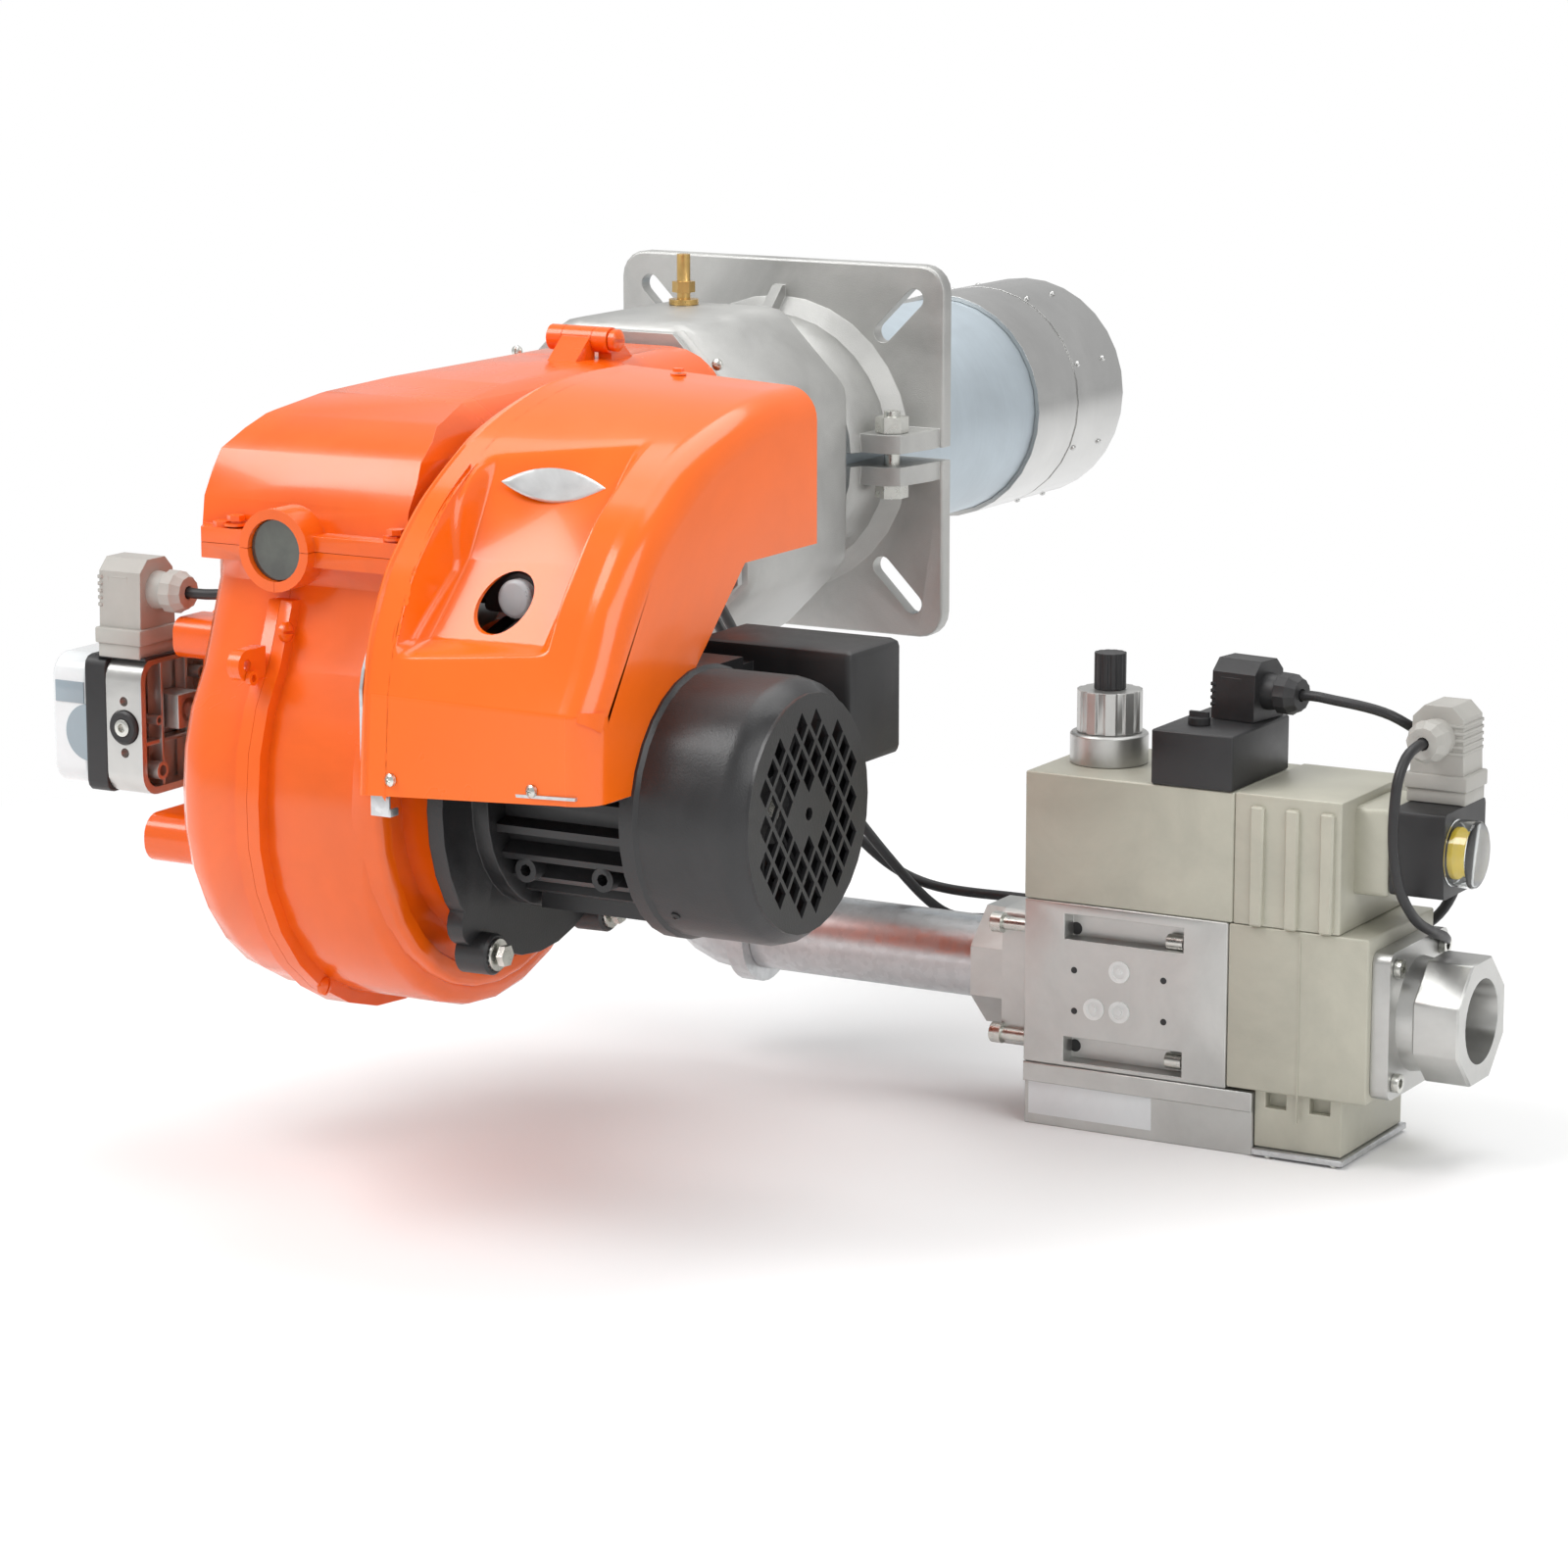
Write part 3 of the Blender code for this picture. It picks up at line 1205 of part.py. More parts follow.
def hinge_pin():
    """Slotted pin through both lugs and the knuckle."""
    start = HINGE_X - LUG_LONG - GAP
    length = KNUCKLE_LONG + LUG_LONG * 2 + GAP * 3
    body = drum("X", (start, -HINGE_BACK, HINGE_HIGH), length, HINGE_PIN, SMALL_SIDES)
    head = drum("X", (start + length, -HINGE_BACK, HINGE_HIGH), PIN_HEAD_LONG, PIN_HEAD,
                SMALL_SIDES)
    return keep(fuse(body, head), "hinge_pin", "orange")


def sight_glass():
    body = drum("Y", (SEAM_X, -GLASS_BACK, SPLIT_HIGH), GLASS_THICK, BOSS_BORE - GAP, 28)
    return keep(body, "sight_glass", "glass")


# Fan and motor
def blade_outline(turn):
    """One forward-curved blade as a thin bent strip in (y, z)."""
    steps = 3
    inner, outer = [], []
    for step in range(steps + 1):
        share = step / steps
        radius = FAN_INNER + (FAN_RADIUS - FAN_PLATE / 2 - FAN_INNER) * share
        angle = turn + FAN_BLADE_LEAN * (share ** 2) * 0.6
        half = FAN_BLADE_THICK / 2 / radius
        outer.append((radius * math.cos(angle + half) - MOTOR_BACK,
                      radius * math.sin(angle + half) - MOTOR_LOW))
        inner.append((radius * math.cos(angle - half) - MOTOR_BACK,
                      radius * math.sin(angle - half) - MOTOR_LOW))
    return inner + outer[::-1]


def fan_wheel():
    """Blower wheel: hub and back plate, front ring and forward-curved blades."""
    centre = (0, -MOTOR_BACK, -MOTOR_LOW)
    bore = SHAFT_RADIUS + GAP
    body = turned("X", centre, [
        (FAN_RADIUS, FAN_RIGHT),
        (FAN_RADIUS, FAN_RIGHT - FAN_PLATE),
        (FAN_HUB, FAN_RIGHT - FAN_PLATE),
        (FAN_HUB, FAN_RIGHT - FAN_HUB_LONG),
        (bore, FAN_RIGHT - FAN_HUB_LONG),
        (bore, FAN_RIGHT),
    ])
    ring = turned("X", centre, [
        (FAN_RADIUS, FAN_LEFT + FAN_PLATE),
        (FAN_RADIUS, FAN_LEFT),
        (FAN_INNER, FAN_LEFT),
        (FAN_INNER, FAN_LEFT + FAN_PLATE),
    ])
    blades = [
        slab("X", FAN_LEFT + FAN_PLATE / 2, FAN_RIGHT - FAN_PLATE / 2,
             blade_outline(FULL_TURN * step / FAN_BLADES))
        for step in range(FAN_BLADES)
    ]
    body = fuse(group([body, ring]), group(blades))
    return keep(at_origin(body, centre), "fan_wheel", "zinc")


def motor_shaft():
    start = FAN_RIGHT - FAN_HUB_LONG - GAP * 10
    end = COOLER_START_X + COOLER_LONG
    body = drum("X", (start, -MOTOR_BACK, -MOTOR_LOW), end - start, SHAFT_RADIUS, SMALL_SIDES)
    return keep(at_origin(body, (0, -MOTOR_BACK, -MOTOR_LOW)), "motor_shaft", "steel")


def motor_bore():
    return drum("X", (SEAM_X, -MOTOR_BACK, -MOTOR_LOW), COWL_END_X, SHAFT_RADIUS + SHAFT_PLAY,
                SMALL_SIDES)


def motor_plate():
    """Round plate with three lugs that bolts the motor to the casing."""
    centre = (-MOTOR_BACK, -MOTOR_LOW)
    start = SEAT_X + GAP
    body = drum("X", (start, *centre), MOTOR_PLATE_THICK, MOTOR_PLATE_RADIUS)
    for step in range(4):
        turn = math.radians(45 + 90 * step)
        place = (centre[0] + (MOTOR_LUG_REACH - MOTOR_LUG_RADIUS) * math.cos(turn),
                 centre[1] + (MOTOR_LUG_REACH - MOTOR_LUG_RADIUS) * math.sin(turn))
        body = fuse(body, drum("X", (start, *place), MOTOR_PLATE_THICK, MOTOR_LUG_RADIUS,
                               SMALL_SIDES))
    neck = drum("X", (start + MOTOR_PLATE_THICK / 2, *centre),
                MOTOR_PLATE_THICK / 2 + MOTOR_NECK_LONG, MOTOR_NECK_RADIUS)
    body = cut(fuse(body, neck), motor_bore())
    return keep(body, "motor_plate", "black")


def motor_frame():
    """Finned body of the motor with its foot and two lifting eyes."""
    centre = (-MOTOR_BACK, -MOTOR_LOW)
    start = SEAT_X + MOTOR_PLATE_THICK + MOTOR_NECK_LONG + GAP * 2
    outline = []
    for step in range(FRAME_FINS):
        for share, radius in ((0.0, FRAME_CORE), (0.58, FRAME_CORE), (0.66, FRAME_FIN),
                              (0.92, FRAME_FIN)):
            turn = FULL_TURN * (step + share) / FRAME_FINS
            outline.append((centre[0] + radius * math.cos(turn),
                            centre[1] + radius * math.sin(turn)))
    body = slab("X", start, FRAME_END_X, outline)
    foot = box((start + FOOT_SET, centre[0] - FOOT_WIDE / 2, centre[1] - FOOT_LOW),
               (FRAME_END_X - COWL_LIP_LONG * 2, centre[0] + FOOT_WIDE / 2,
                centre[1] - FOOT_LOW + FOOT_THICK))
    body = fuse(body, foot)
    for share in (0.16, 0.72):
        place = start + (COWL_START_X - start) * share
        eye = drum("Y", (place, centre[0] - EYE_REACH, centre[1] - EYE_LOW), EYE_REACH / 2,
                   EYE_RADIUS, SMALL_SIDES)
        hole = drum("Y", (place, centre[0] - EYE_REACH - OVERRUN, centre[1] - EYE_LOW),
                    OVERRUN * 2, EYE_RADIUS / 2, SMALL_SIDES // 2)
        body = cut(fuse(body, eye), hole)
    pad = box((BOX_X - BOX_EDGE, centre[0] + FRAME_CORE / 2, -BOX_LOW + BOX_EDGE),
              (COWL_START_X - BOX_EDGE / 2, centre[0] + FRAME_FIN, -BOX_LOW + BOX_HIGH - BOX_EDGE))
    body = fuse(body, pad)
    reach = (COWL_RADIUS - COWL_WALL) * math.cos(math.pi / ROUND_SIDES) - GAP * 2
    for step in range(4):
        arm = box((COWL_START_X + COWL_WALL, FRAME_CORE / 2, -ARM_WIDE / 2),
                  (FRAME_END_X - GAP * 2, reach, ARM_WIDE / 2))
        turn = math.radians(45 + 90 * step)
        arm.data.transform(Matrix.Translation((0, *centre)) @ Matrix.Rotation(turn, 4, "X"))
        body = fuse(body, arm)
    body = cut(body, motor_bore())
    return keep(body, "motor_frame", "black")


def fan_cowl():
    """Round cowl over the motor's cooling fan, with a lattice of diamond openings."""
    centre = (-MOTOR_BACK, -MOTOR_LOW)
    lip = COWL_RADIUS + COWL_LIP
    inner = COWL_RADIUS - COWL_WALL
    face = COWL_END_X - COWL_WALL
    nose = []
    steps = 3
    for step in range(steps + 1):
        turn = math.pi / 2 * step / steps
        nose.append((COWL_RADIUS - COWL_NOSE + COWL_NOSE * math.sin(turn),
                     COWL_END_X - COWL_NOSE + COWL_NOSE * math.cos(turn)))
    hollow = []
    bend = COWL_NOSE - COWL_WALL
    for step in range(steps + 1):
        turn = math.pi / 2 * (1 - step / steps)
        hollow.append((COWL_RADIUS - COWL_NOSE + bend * math.sin(turn),
                       COWL_END_X - COWL_NOSE + bend * math.cos(turn)))
    profile = nose + [
        (COWL_RADIUS, COWL_START_X + COWL_LIP_LONG + COWL_LIP),
        (lip, COWL_START_X + COWL_LIP_LONG),
        (lip, COWL_START_X),
        (inner, COWL_START_X),
    ] + hollow
    body = turned("X", (0, *centre), profile)
    holes = []
    half_y = GRILLE_PITCH_Y - GRILLE_BAR
    half_z = GRILLE_PITCH_Z - GRILLE_BAR
    columns = int(GRILLE_RADIUS / GRILLE_PITCH_Y) + 1
    rows = int(GRILLE_RADIUS / GRILLE_PITCH_Z) + 1
    for column in range(-columns, columns + 1):
        for row in range(-rows, rows + 1):
            reach = math.hypot(column * GRILLE_PITCH_Y, row * GRILLE_PITCH_Z)
            inside = reach + half_y < GRILLE_RADIUS and reach - half_y > GRILLE_HUB
            if (column + row) % 2 == 0 and inside:
                y = centre[0] + column * GRILLE_PITCH_Y
                z = centre[1] + row * GRILLE_PITCH_Z
                holes.append([(y + half_y, z), (y, z + half_z), (y - half_y, z),
                              (y, z - half_z)])
    holes.append(ring_points(centre, GRILLE_EYE, SMALL_SIDES // 2))
    grille = slab("X", face, COWL_END_X, ring_points(centre, COWL_RADIUS - COWL_NOSE / 2, ROUND_SIDES),
                  holes)
    body = fuse(body, grille)
    return keep(body, "fan_cowl", "black")


def cooling_fan():
    centre = (-MOTOR_BACK, -MOTOR_LOW)
    start = COOLER_START_X + GAP
    body = drum("X", (start, *centre), COOLER_LONG, COOLER_HUB, 28)
    blades = []
    for step in range(COOLER_BLADES):
        turn = FULL_TURN * step / COOLER_BLADES
        blade = box((start + COOLER_BLADE_THICK, COOLER_HUB * 0.8, -COOLER_BLADE_THICK / 2),
                    (start + COOLER_LONG - COOLER_BLADE_THICK, COOLER_RADIUS,
                     COOLER_BLADE_THICK / 2))
        blade.data.transform(Matrix.Translation((0, *centre)) @ Matrix.Rotation(turn, 4, "X"))
        blades.append(blade)
    bore = drum("X", (start - OVERRUN, *centre), COOLER_LONG + OVERRUN * 2, SHAFT_RADIUS + GAP,
                SMALL_SIDES)
    body = cut(fuse(body, group(blades)), bore)
    return keep(at_origin(body, (0, *centre)), "cooling_fan", "black")


def terminal_box():
    """Connection box on the boiler side of the motor, on a short neck."""
    low_z = -BOX_LOW
    body = box((BOX_X, -BOX_BACK, low_z), (BOX_X + BOX_LONG, -BOX_BACK + BOX_DEEP,
                                           low_z + BOX_HIGH))
    body = round_edges(body, BOX_EDGE, 2)
    start = SEAT_X + MOTOR_PLATE_THICK + MOTOR_NECK_LONG + GAP * 2 + BOX_NECK
    neck_low = -MOTOR_BACK + FRAME_FIN + GAP
    neck = box((BOX_X, neck_low, low_z + BOX_EDGE * 2),
               (COWL_START_X - BOX_EDGE, -BOX_BACK + BOX_EDGE * 2,
                low_z + BOX_HIGH - BOX_EDGE * 2))
    body = fuse(body, neck)
    return keep(body, "terminal_box", "black")


# Air intake
def air_intake():
    """Box on the left of the casing with an open throat to the front."""
    right = CASING_LEFT - GAP
    left = right - INTAKE_LONG
    body = slab("X", left, right, rounded_box_points(
        (-INTAKE_REAR_BACK, -INTAKE_BOTTOM_LOW), (-INTAKE_FRONT_BACK, -INTAKE_TOP_LOW),
        INTAKE_EDGE))
    wall = INTAKE_WALL
    hollow = box((left + wall, -INTAKE_REAR_BACK + wall, -INTAKE_BOTTOM_LOW + wall),
                 (right - wall, -INTAKE_FRONT_BACK + OVERRUN, -INTAKE_TOP_LOW - wall))
    eye = drum("X", (right - OVERRUN, -MOTOR_BACK, -MOTOR_LOW), OVERRUN * 2, AIR_EYE)
    axle_low = -(INTAKE_TOP_LOW + INTAKE_BOTTOM_LOW) / 2
    axle = drum("X", (left - OVERRUN, -DAMPER_BACK, axle_low), INTAKE_LONG - wall + OVERRUN,
                DAMPER_SHAFT + DAMPER_SHAFT_PLAY, SMALL_SIDES)
    body = cut(body, hollow, eye, axle)
    return keep(body, "air_intake", "orange")


def air_damper():
    """Flap on a shaft that the servomotor turns; it hangs across the throat when shut."""
    right = CASING_LEFT - GAP
    left = right - INTAKE_LONG
    middle = -(INTAKE_TOP_LOW + INTAKE_BOTTOM_LOW) / 2
    half = (INTAKE_BOTTOM_LOW - INTAKE_TOP_LOW) / 2 - INTAKE_WALL - DAMPER_EDGE_GAP
    shaft = drum("X", (left - INTAKE_WALL * 2, -DAMPER_BACK, middle),
                 INTAKE_LONG + INTAKE_WALL, DAMPER_SHAFT, SMALL_SIDES)
    shaft = cut(shaft, half_space(right - INTAKE_WALL - DAMPER_EDGE_GAP, None))
    blade = box((left + INTAKE_WALL + DAMPER_EDGE_GAP, -DAMPER_BACK - DAMPER_THICK / 2,
                 middle - half),
                (right - INTAKE_WALL - DAMPER_EDGE_GAP * 2, -DAMPER_BACK + DAMPER_THICK / 2,
                 middle + half))
    body = fuse(shaft, blade)
    return keep(at_origin(body, (left, -DAMPER_BACK, middle)), "air_damper", "zinc")


def damper_motor():
    """Servomotor on the intake's left wall, with a socket for the flap's shaft."""
    left = CASING_LEFT - GAP - INTAKE_LONG
    middle = -(INTAKE_TOP_LOW + INTAKE_BOTTOM_LOW) / 2
    end = left - GAP
    body = box((end - SERVO_LONG, -DAMPER_BACK - SERVO_HALF, middle - SERVO_HALF * 1.3),
               (end, -DAMPER_BACK + SERVO_HALF, middle + SERVO_HALF * 1.1))
    body = round_edges(body, SERVO_EDGE, 2)
    socket = drum("X", (end - OVERRUN, -DAMPER_BACK, middle), OVERRUN * 2,
                  DAMPER_SHAFT + DAMPER_SHAFT_PLAY, SMALL_SIDES)
    return keep(cut(body, socket), "damper_motor", "black")


# Air pressure switch
def switch_right():
    return CASING_LEFT - GAP - INTAKE_LONG - GAP


def switch_block(start, end, shrink):
    low = (-SWITCH_BACK + shrink, -SWITCH_LOW - SWITCH_TALL / 2 + shrink)
    high = (-SWITCH_BACK + SWITCH_WIDE - shrink, -SWITCH_LOW + SWITCH_TALL / 2 - shrink)
    return slab("X", start, end, rounded_box_points(low, high, SWITCH_EDGE, 3))


def air_switch_base():
    """Cast foot and black band with the test nipple and two screw holes."""
    end = switch_right()
    start = end - SWITCH_BASE_LONG
    body = switch_block(start, end, 0)
    middle = start + SWITCH_BASE_LONG * 0.45
    nipple = drum("Y", (middle, -SWITCH_BACK - SWITCH_NIPPLE_LONG, -SWITCH_LOW),
                  SWITCH_NIPPLE_LONG * 2, SWITCH_NIPPLE, SMALL_SIDES)
    body = fuse(body, nipple)
    holes = [
        drum("Y", (middle, -SWITCH_BACK - OVERRUN, -SWITCH_LOW + SWITCH_HOLE_PITCH * side),
             SWITCH_HOLE_DEEP + OVERRUN, SWITCH_HOLE, SMALL_SIDES // 2)
        for side in (1, -1)
    ]
    holes.append(drum("Y", (middle, -SWITCH_BACK - OVERRUN, -SWITCH_LOW),
                      SWITCH_HOLE_DEEP + OVERRUN, SWITCH_HOLE / 2, SMALL_SIDES // 2))
    return keep(cut(body, group(holes)), "air_switch_base", "cast")


def air_switch_band():
    end = switch_right() - SWITCH_BASE_LONG - GAP
    return keep(switch_block(end - SWITCH_BAND_LONG, end, 0), "air_switch_band", "black")


def air_switch_cover():
    """Clear cover on the outer side of the switch."""
    end = switch_right() - SWITCH_BASE_LONG - SWITCH_BAND_LONG - GAP * 2
    body = switch_block(end - SWITCH_COVER_LONG, end, SWITCH_COVER_INSET)
    body = round_end(body, "X", end - SWITCH_COVER_LONG, SWITCH_EDGE / 2, 3)
    return keep(body, "air_switch_cover", "white")


def plug_shape(place, gland_turn):
    """Ribbed right-angle connector: foot, ribbed body with chamfered top, and gland.

    place is the middle of the foot's under side, and the gland leaves along local +X,
    turned about the upright axis.
    """
    half_wide, half_deep = PLUG_WIDE / 2, PLUG_DEEP / 2
    foot = box((-PLUG_FOOT_WIDE / 2, -PLUG_FOOT_DEEP / 2, 0),
               (PLUG_FOOT_WIDE / 2, PLUG_FOOT_DEEP / 2, PLUG_FOOT_TALL))
    body = slab("X", -half_wide, half_wide, [
        (-half_deep, PLUG_FOOT_TALL / 2), (half_deep, PLUG_FOOT_TALL / 2),
        (half_deep, PLUG_TALL - PLUG_CHAMFER), (half_deep - PLUG_CHAMFER, PLUG_TALL),
        (-half_deep + PLUG_CHAMFER, PLUG_TALL), (-half_deep, PLUG_TALL - PLUG_CHAMFER),
    ])
    body = fuse(foot, body)
    ribs = []
    for step in range(PLUG_RIBS):
        low = PLUG_FOOT_TALL + PLUG_RIB_PITCH * (step + 0.7)
        ribs.append(box((-half_wide - PLUG_RIB, -half_deep - PLUG_RIB, low),
                        (half_wide + PLUG_RIB, half_deep + PLUG_RIB, low + PLUG_RIB_PITCH / 2)))
    body = fuse(body, group(ribs))
    neck = drum("X", (0, 0, GLAND_HIGH), half_wide + GLAND_LONG, GLAND_RADIUS, SMALL_SIDES)
    nut = drum("X", (half_wide + GLAND_LONG - GLAND_NUT_LONG, 0, GLAND_HIGH), GLAND_NUT_LONG,
               GLAND_NUT, 6)
    bore = drum("X", (half_wide, 0, GLAND_HIGH), GLAND_LONG + OVERRUN, GLAND_BORE,
                SMALL_SIDES // 2)
    body = cut(fuse(body, neck, nut), bore)
    body.data.transform(Matrix.Translation(place) @ Matrix.Rotation(gland_turn, 4, "Z"))
    return body


def gland_exit(place, gland_turn, inside=0.0):
    """Where the cord's axis crosses the gland's mouth, or a depth inside it."""
    reach = PLUG_WIDE / 2 + GLAND_LONG - inside
    return Vector(place) + Vector((reach * math.cos(gland_turn), reach * math.sin(gland_turn),
                                   GLAND_HIGH))


def air_plug_place():
    return (switch_right() - SWITCH_BASE_LONG / 2 - GAP,
            -SWITCH_BACK + SWITCH_WIDE / 2, -SWITCH_LOW + SWITCH_TALL / 2 + GAP)


AIR_GLAND_TURN = math.radians(-12)


def air_switch_plug():
    return keep(plug_shape(air_plug_place(), AIR_GLAND_TURN), "air_switch_plug", "grey")


# Hood and control panel
def hood_outline():
    """Side view of the hood's right wall, counter-clockwise in (y, z)."""
    height = HOOD_TOP + HOOD_BOTTOM_LOW
    depth = HOOD_BACK - HOOD_FRONT_BACK
    roof_shares = ((0.03, 0.958), (0.09, 1.0), (0.25, 0.99), (0.46, 0.905), (0.62, 0.82),
                   (0.76, 0.69), (0.87, 0.565), (0.95, 0.44), (0.99, 0.335), (1.0, 0.28))
    points = [(-HOOD_BACK, -HOOD_BOTTOM_LOW), (-HOOD_TOE_BACK, -HOOD_BOTTOM_LOW),
              (-HOOD_STEP_BACK, -HOOD_STEP_LOW), (-HOOD_FRONT_BACK, -HOOD_STEP_LOW)]
    points += [(-HOOD_FRONT_BACK - depth * along, -HOOD_BOTTOM_LOW + height * up)
               for along, up in roof_shares]
    return points


def sweep_back(obj):
    """Sets the left side of the hood further back than its right side."""
    depth = HOOD_BACK - HOOD_FRONT_BACK
    for vertex in obj.data.vertices:
        side_share = (HOOD_RIGHT - vertex.co.x) / (HOOD_RIGHT - HOOD_LEFT)
        back_share = (-HOOD_FRONT_BACK - vertex.co.y) / depth
        vertex.co.y -= HOOD_SWEEP * max(side_share, 0) * max(back_share, 0)
    return obj


def roof_band(depth_low, depth_high, start, end, low, high):
    """Layer of the hood's skin between two depths, widths and heights."""
    outer = inset(hood_outline(), depth_low)
    inner = inset(hood_outline(), depth_high)
    body = cut(slab("X", start, end, outer), slab("X", start - OVERRUN, end + OVERRUN, inner))
    window = box((start - OVERRUN, -HOOD_BACK - OVERRUN * 2, low),
                 (end + OVERRUN, -RECESS_FRONT_BACK, high))
    return common(body, window)


def control_hood():
    """Moulded hood: swept shell with a recessed panel and the hole for the button."""
    body = round_end(slab("X", HOOD_LEFT, HOOD_RIGHT, hood_outline()), "X", HOOD_RIGHT,
                     HOOD_ROUND, 5)
    inner = inset(hood_outline(), HOOD_WALL)
    past = OVERRUN * 2
    inner[0] = (-HOOD_BACK + HOOD_WALL, -HOOD_BOTTOM_LOW - past)
    inner[1] = (-HOOD_TOE_BACK + past, -HOOD_BOTTOM_LOW - past)
    inner[2] = (-HOOD_STEP_BACK + past, -HOOD_STEP_LOW - past)
    inner[3] = (-HOOD_FRONT_BACK + past, -HOOD_STEP_LOW - past)
    inner[4] = (-HOOD_FRONT_BACK + past, HOOD_TOP - HOOD_WALL * 2)
    cavity = slab("X", HOOD_LEFT - OVERRUN, HOOD_RIGHT - HOOD_WALL, inner)
    cavity = round_end(cavity, "X", HOOD_RIGHT - HOOD_WALL, HOOD_ROUND - HOOD_WALL, 5)
    pad = roof_band(HOOD_WALL / 2, HOOD_WALL + RECESS_DEEP, RECESS_LEFT - HOOD_WALL,
                    RECESS_RIGHT + HOOD_WALL, -RECESS_LOW - HOOD_WALL, RECESS_HIGH + HOOD_WALL)
    body = fuse(cut(body, cavity), pad)
    recess = roof_band(-OVERRUN, RECESS_DEEP, RECESS_LEFT, RECESS_RIGHT, -RECESS_LOW, RECESS_HIGH)
    body = cut(body, recess)
    body = cut(sweep_back(body), drum("Y", (BUTTON_X, -HOOD_BACK - OVERRUN * 2, -BUTTON_LOW),
                                      OVERRUN * 12, BUTTON_HOLE, 28))
    notch = drum("X", (COWL_START_X - OVERRUN / 2, -MOTOR_BACK, -MOTOR_LOW), OVERRUN * 3,
                 COWL_RADIUS + COWL_LIP * 2)
    return keep(cut(body, notch), "control_hood", "moulded")


def hood_tray():
    """Galvanised panel on the casing's rim with the folded shelf under the hood."""
    left = RIM_X + GAP
    outline = inset(hood_outline(), HOOD_WALL + TRAY_THICK)
    body = slab("X", left, left + TRAY_THICK, outline)
    shelf_low = -HOOD_BOTTOM_LOW + HOOD_WALL
    shelf = box((left, -HOOD_BACK + HOOD_WALL * 2, shelf_low),
                (HOOD_RIGHT - HOOD_ROUND / 2, -HOOD_BACK + TRAY_WIDE, shelf_low + TRAY_THICK))
    body = sweep_back(fuse(body, shelf))
    seat = drum("X", (CASING_RIGHT, -MOTOR_BACK, -MOTOR_LOW), RIM_RADIUS, SEAT_RADIUS + CASING_WALL * 1.5)
    return keep(cut(body, seat), "hood_tray", "zinc")


def control_box():
    """Control box on the panel, with the collar of the reset button."""
    rear = -CONTROL_BACK - CONTROL_DEEP / 2
    body = box((CONTROL_X, rear, -CONTROL_LOW),
               (CONTROL_X + CONTROL_WIDE, rear + CONTROL_DEEP, -CONTROL_LOW + CONTROL_HIGH))
    body = round_edges(body, CONTROL_EDGE, 2)
    foot = box((RIM_X + TRAY_THICK + GAP * 2, rear + CONTROL_EDGE * 2, -CONTROL_LOW + CONTROL_EDGE),
               (CONTROL_X + CONTROL_EDGE, rear + CONTROL_DEEP - CONTROL_EDGE * 2,
                -CONTROL_LOW + CONTROL_HIGH - CONTROL_EDGE))
    end = rear - BUTTON_COLLAR_LONG
    collar = drum("Y", (BUTTON_X, end, -BUTTON_LOW), BUTTON_COLLAR_LONG + CONTROL_EDGE * 2,
                  BUTTON_COLLAR, 28)
    bore = drum("Y", (BUTTON_X, end - OVERRUN, -BUTTON_LOW),
                OVERRUN + BUTTON_BORE_DEEP, BUTTON_RADIUS + GAP, 28)
    return keep(cut(fuse(body, foot, collar), bore), "control_box", "black")


def reset_button():
    """Lens that is pressed in to reset the control box."""
    end = -CONTROL_BACK - CONTROL_DEEP / 2 - BUTTON_COLLAR_LONG
    inner = end + BUTTON_BORE_DEEP - BUTTON_TRAVEL - GAP
    body = drum("Y", (BUTTON_X, inner - BUTTON_LONG, -BUTTON_LOW), BUTTON_LONG, BUTTON_RADIUS,
                28)
    body = round_end(body, "Y", inner - BUTTON_LONG, BUTTON_EDGE, 3)
    return keep(at_origin(body, (BUTTON_X, inner, -BUTTON_LOW)), "reset_button", "white")


# Gas train
def gas_elbow():
    """Elbow from the block down into the pipe, with its flange and end bead."""
    centre = Vector((0, -GAS_BACK, -GAS_LOW))
    top = -BLOCK_BOTTOM - GAP
    points = [(0, -GAS_BACK, top)]
    steps = 6
    for step in range(steps + 1):
        turn = math.pi / 2 * step / steps
        points.append((ELBOW_BEND - ELBOW_BEND * math.cos(turn), -GAS_BACK,
                       -GAS_LOW + ELBOW_BEND - ELBOW_BEND * math.sin(turn)))
    end = ELBOW_BEND + ELBOW_BEAD_LONG
    points.append((end, -GAS_BACK, -GAS_LOW))
    body = tube(points, ELBOW_RADIUS, 5)
    flange = drum("Z", (0, -GAS_BACK, top - ELBOW_FLANGE_LONG), ELBOW_FLANGE_LONG,
                  ELBOW_FLANGE)
    bead = drum("X", (end - ELBOW_BEAD_LONG, -GAS_BACK, -GAS_LOW), ELBOW_BEAD_LONG, ELBOW_BEAD)
    body = fuse(body, flange, bead)
    bore = tube([(0, -GAS_BACK, top + OVERRUN)] + points[1:-1]
                + [(end + OVERRUN, -GAS_BACK, -GAS_LOW)], BLOCK_GAS_BORE, 3)
    body = cut(body, bore)
    return keep(body, "gas_elbow", "zinc")


def gas_pipe():
    start = ELBOW_BEND + ELBOW_BEAD_LONG + GAP
    body = turned("X", (0, -GAS_BACK, -GAS_LOW),
                  pipe_profile(PIPE_RADIUS, PIPE_WALL, start, PIPE_END_X))
    return keep(body, "gas_pipe", "zinc")


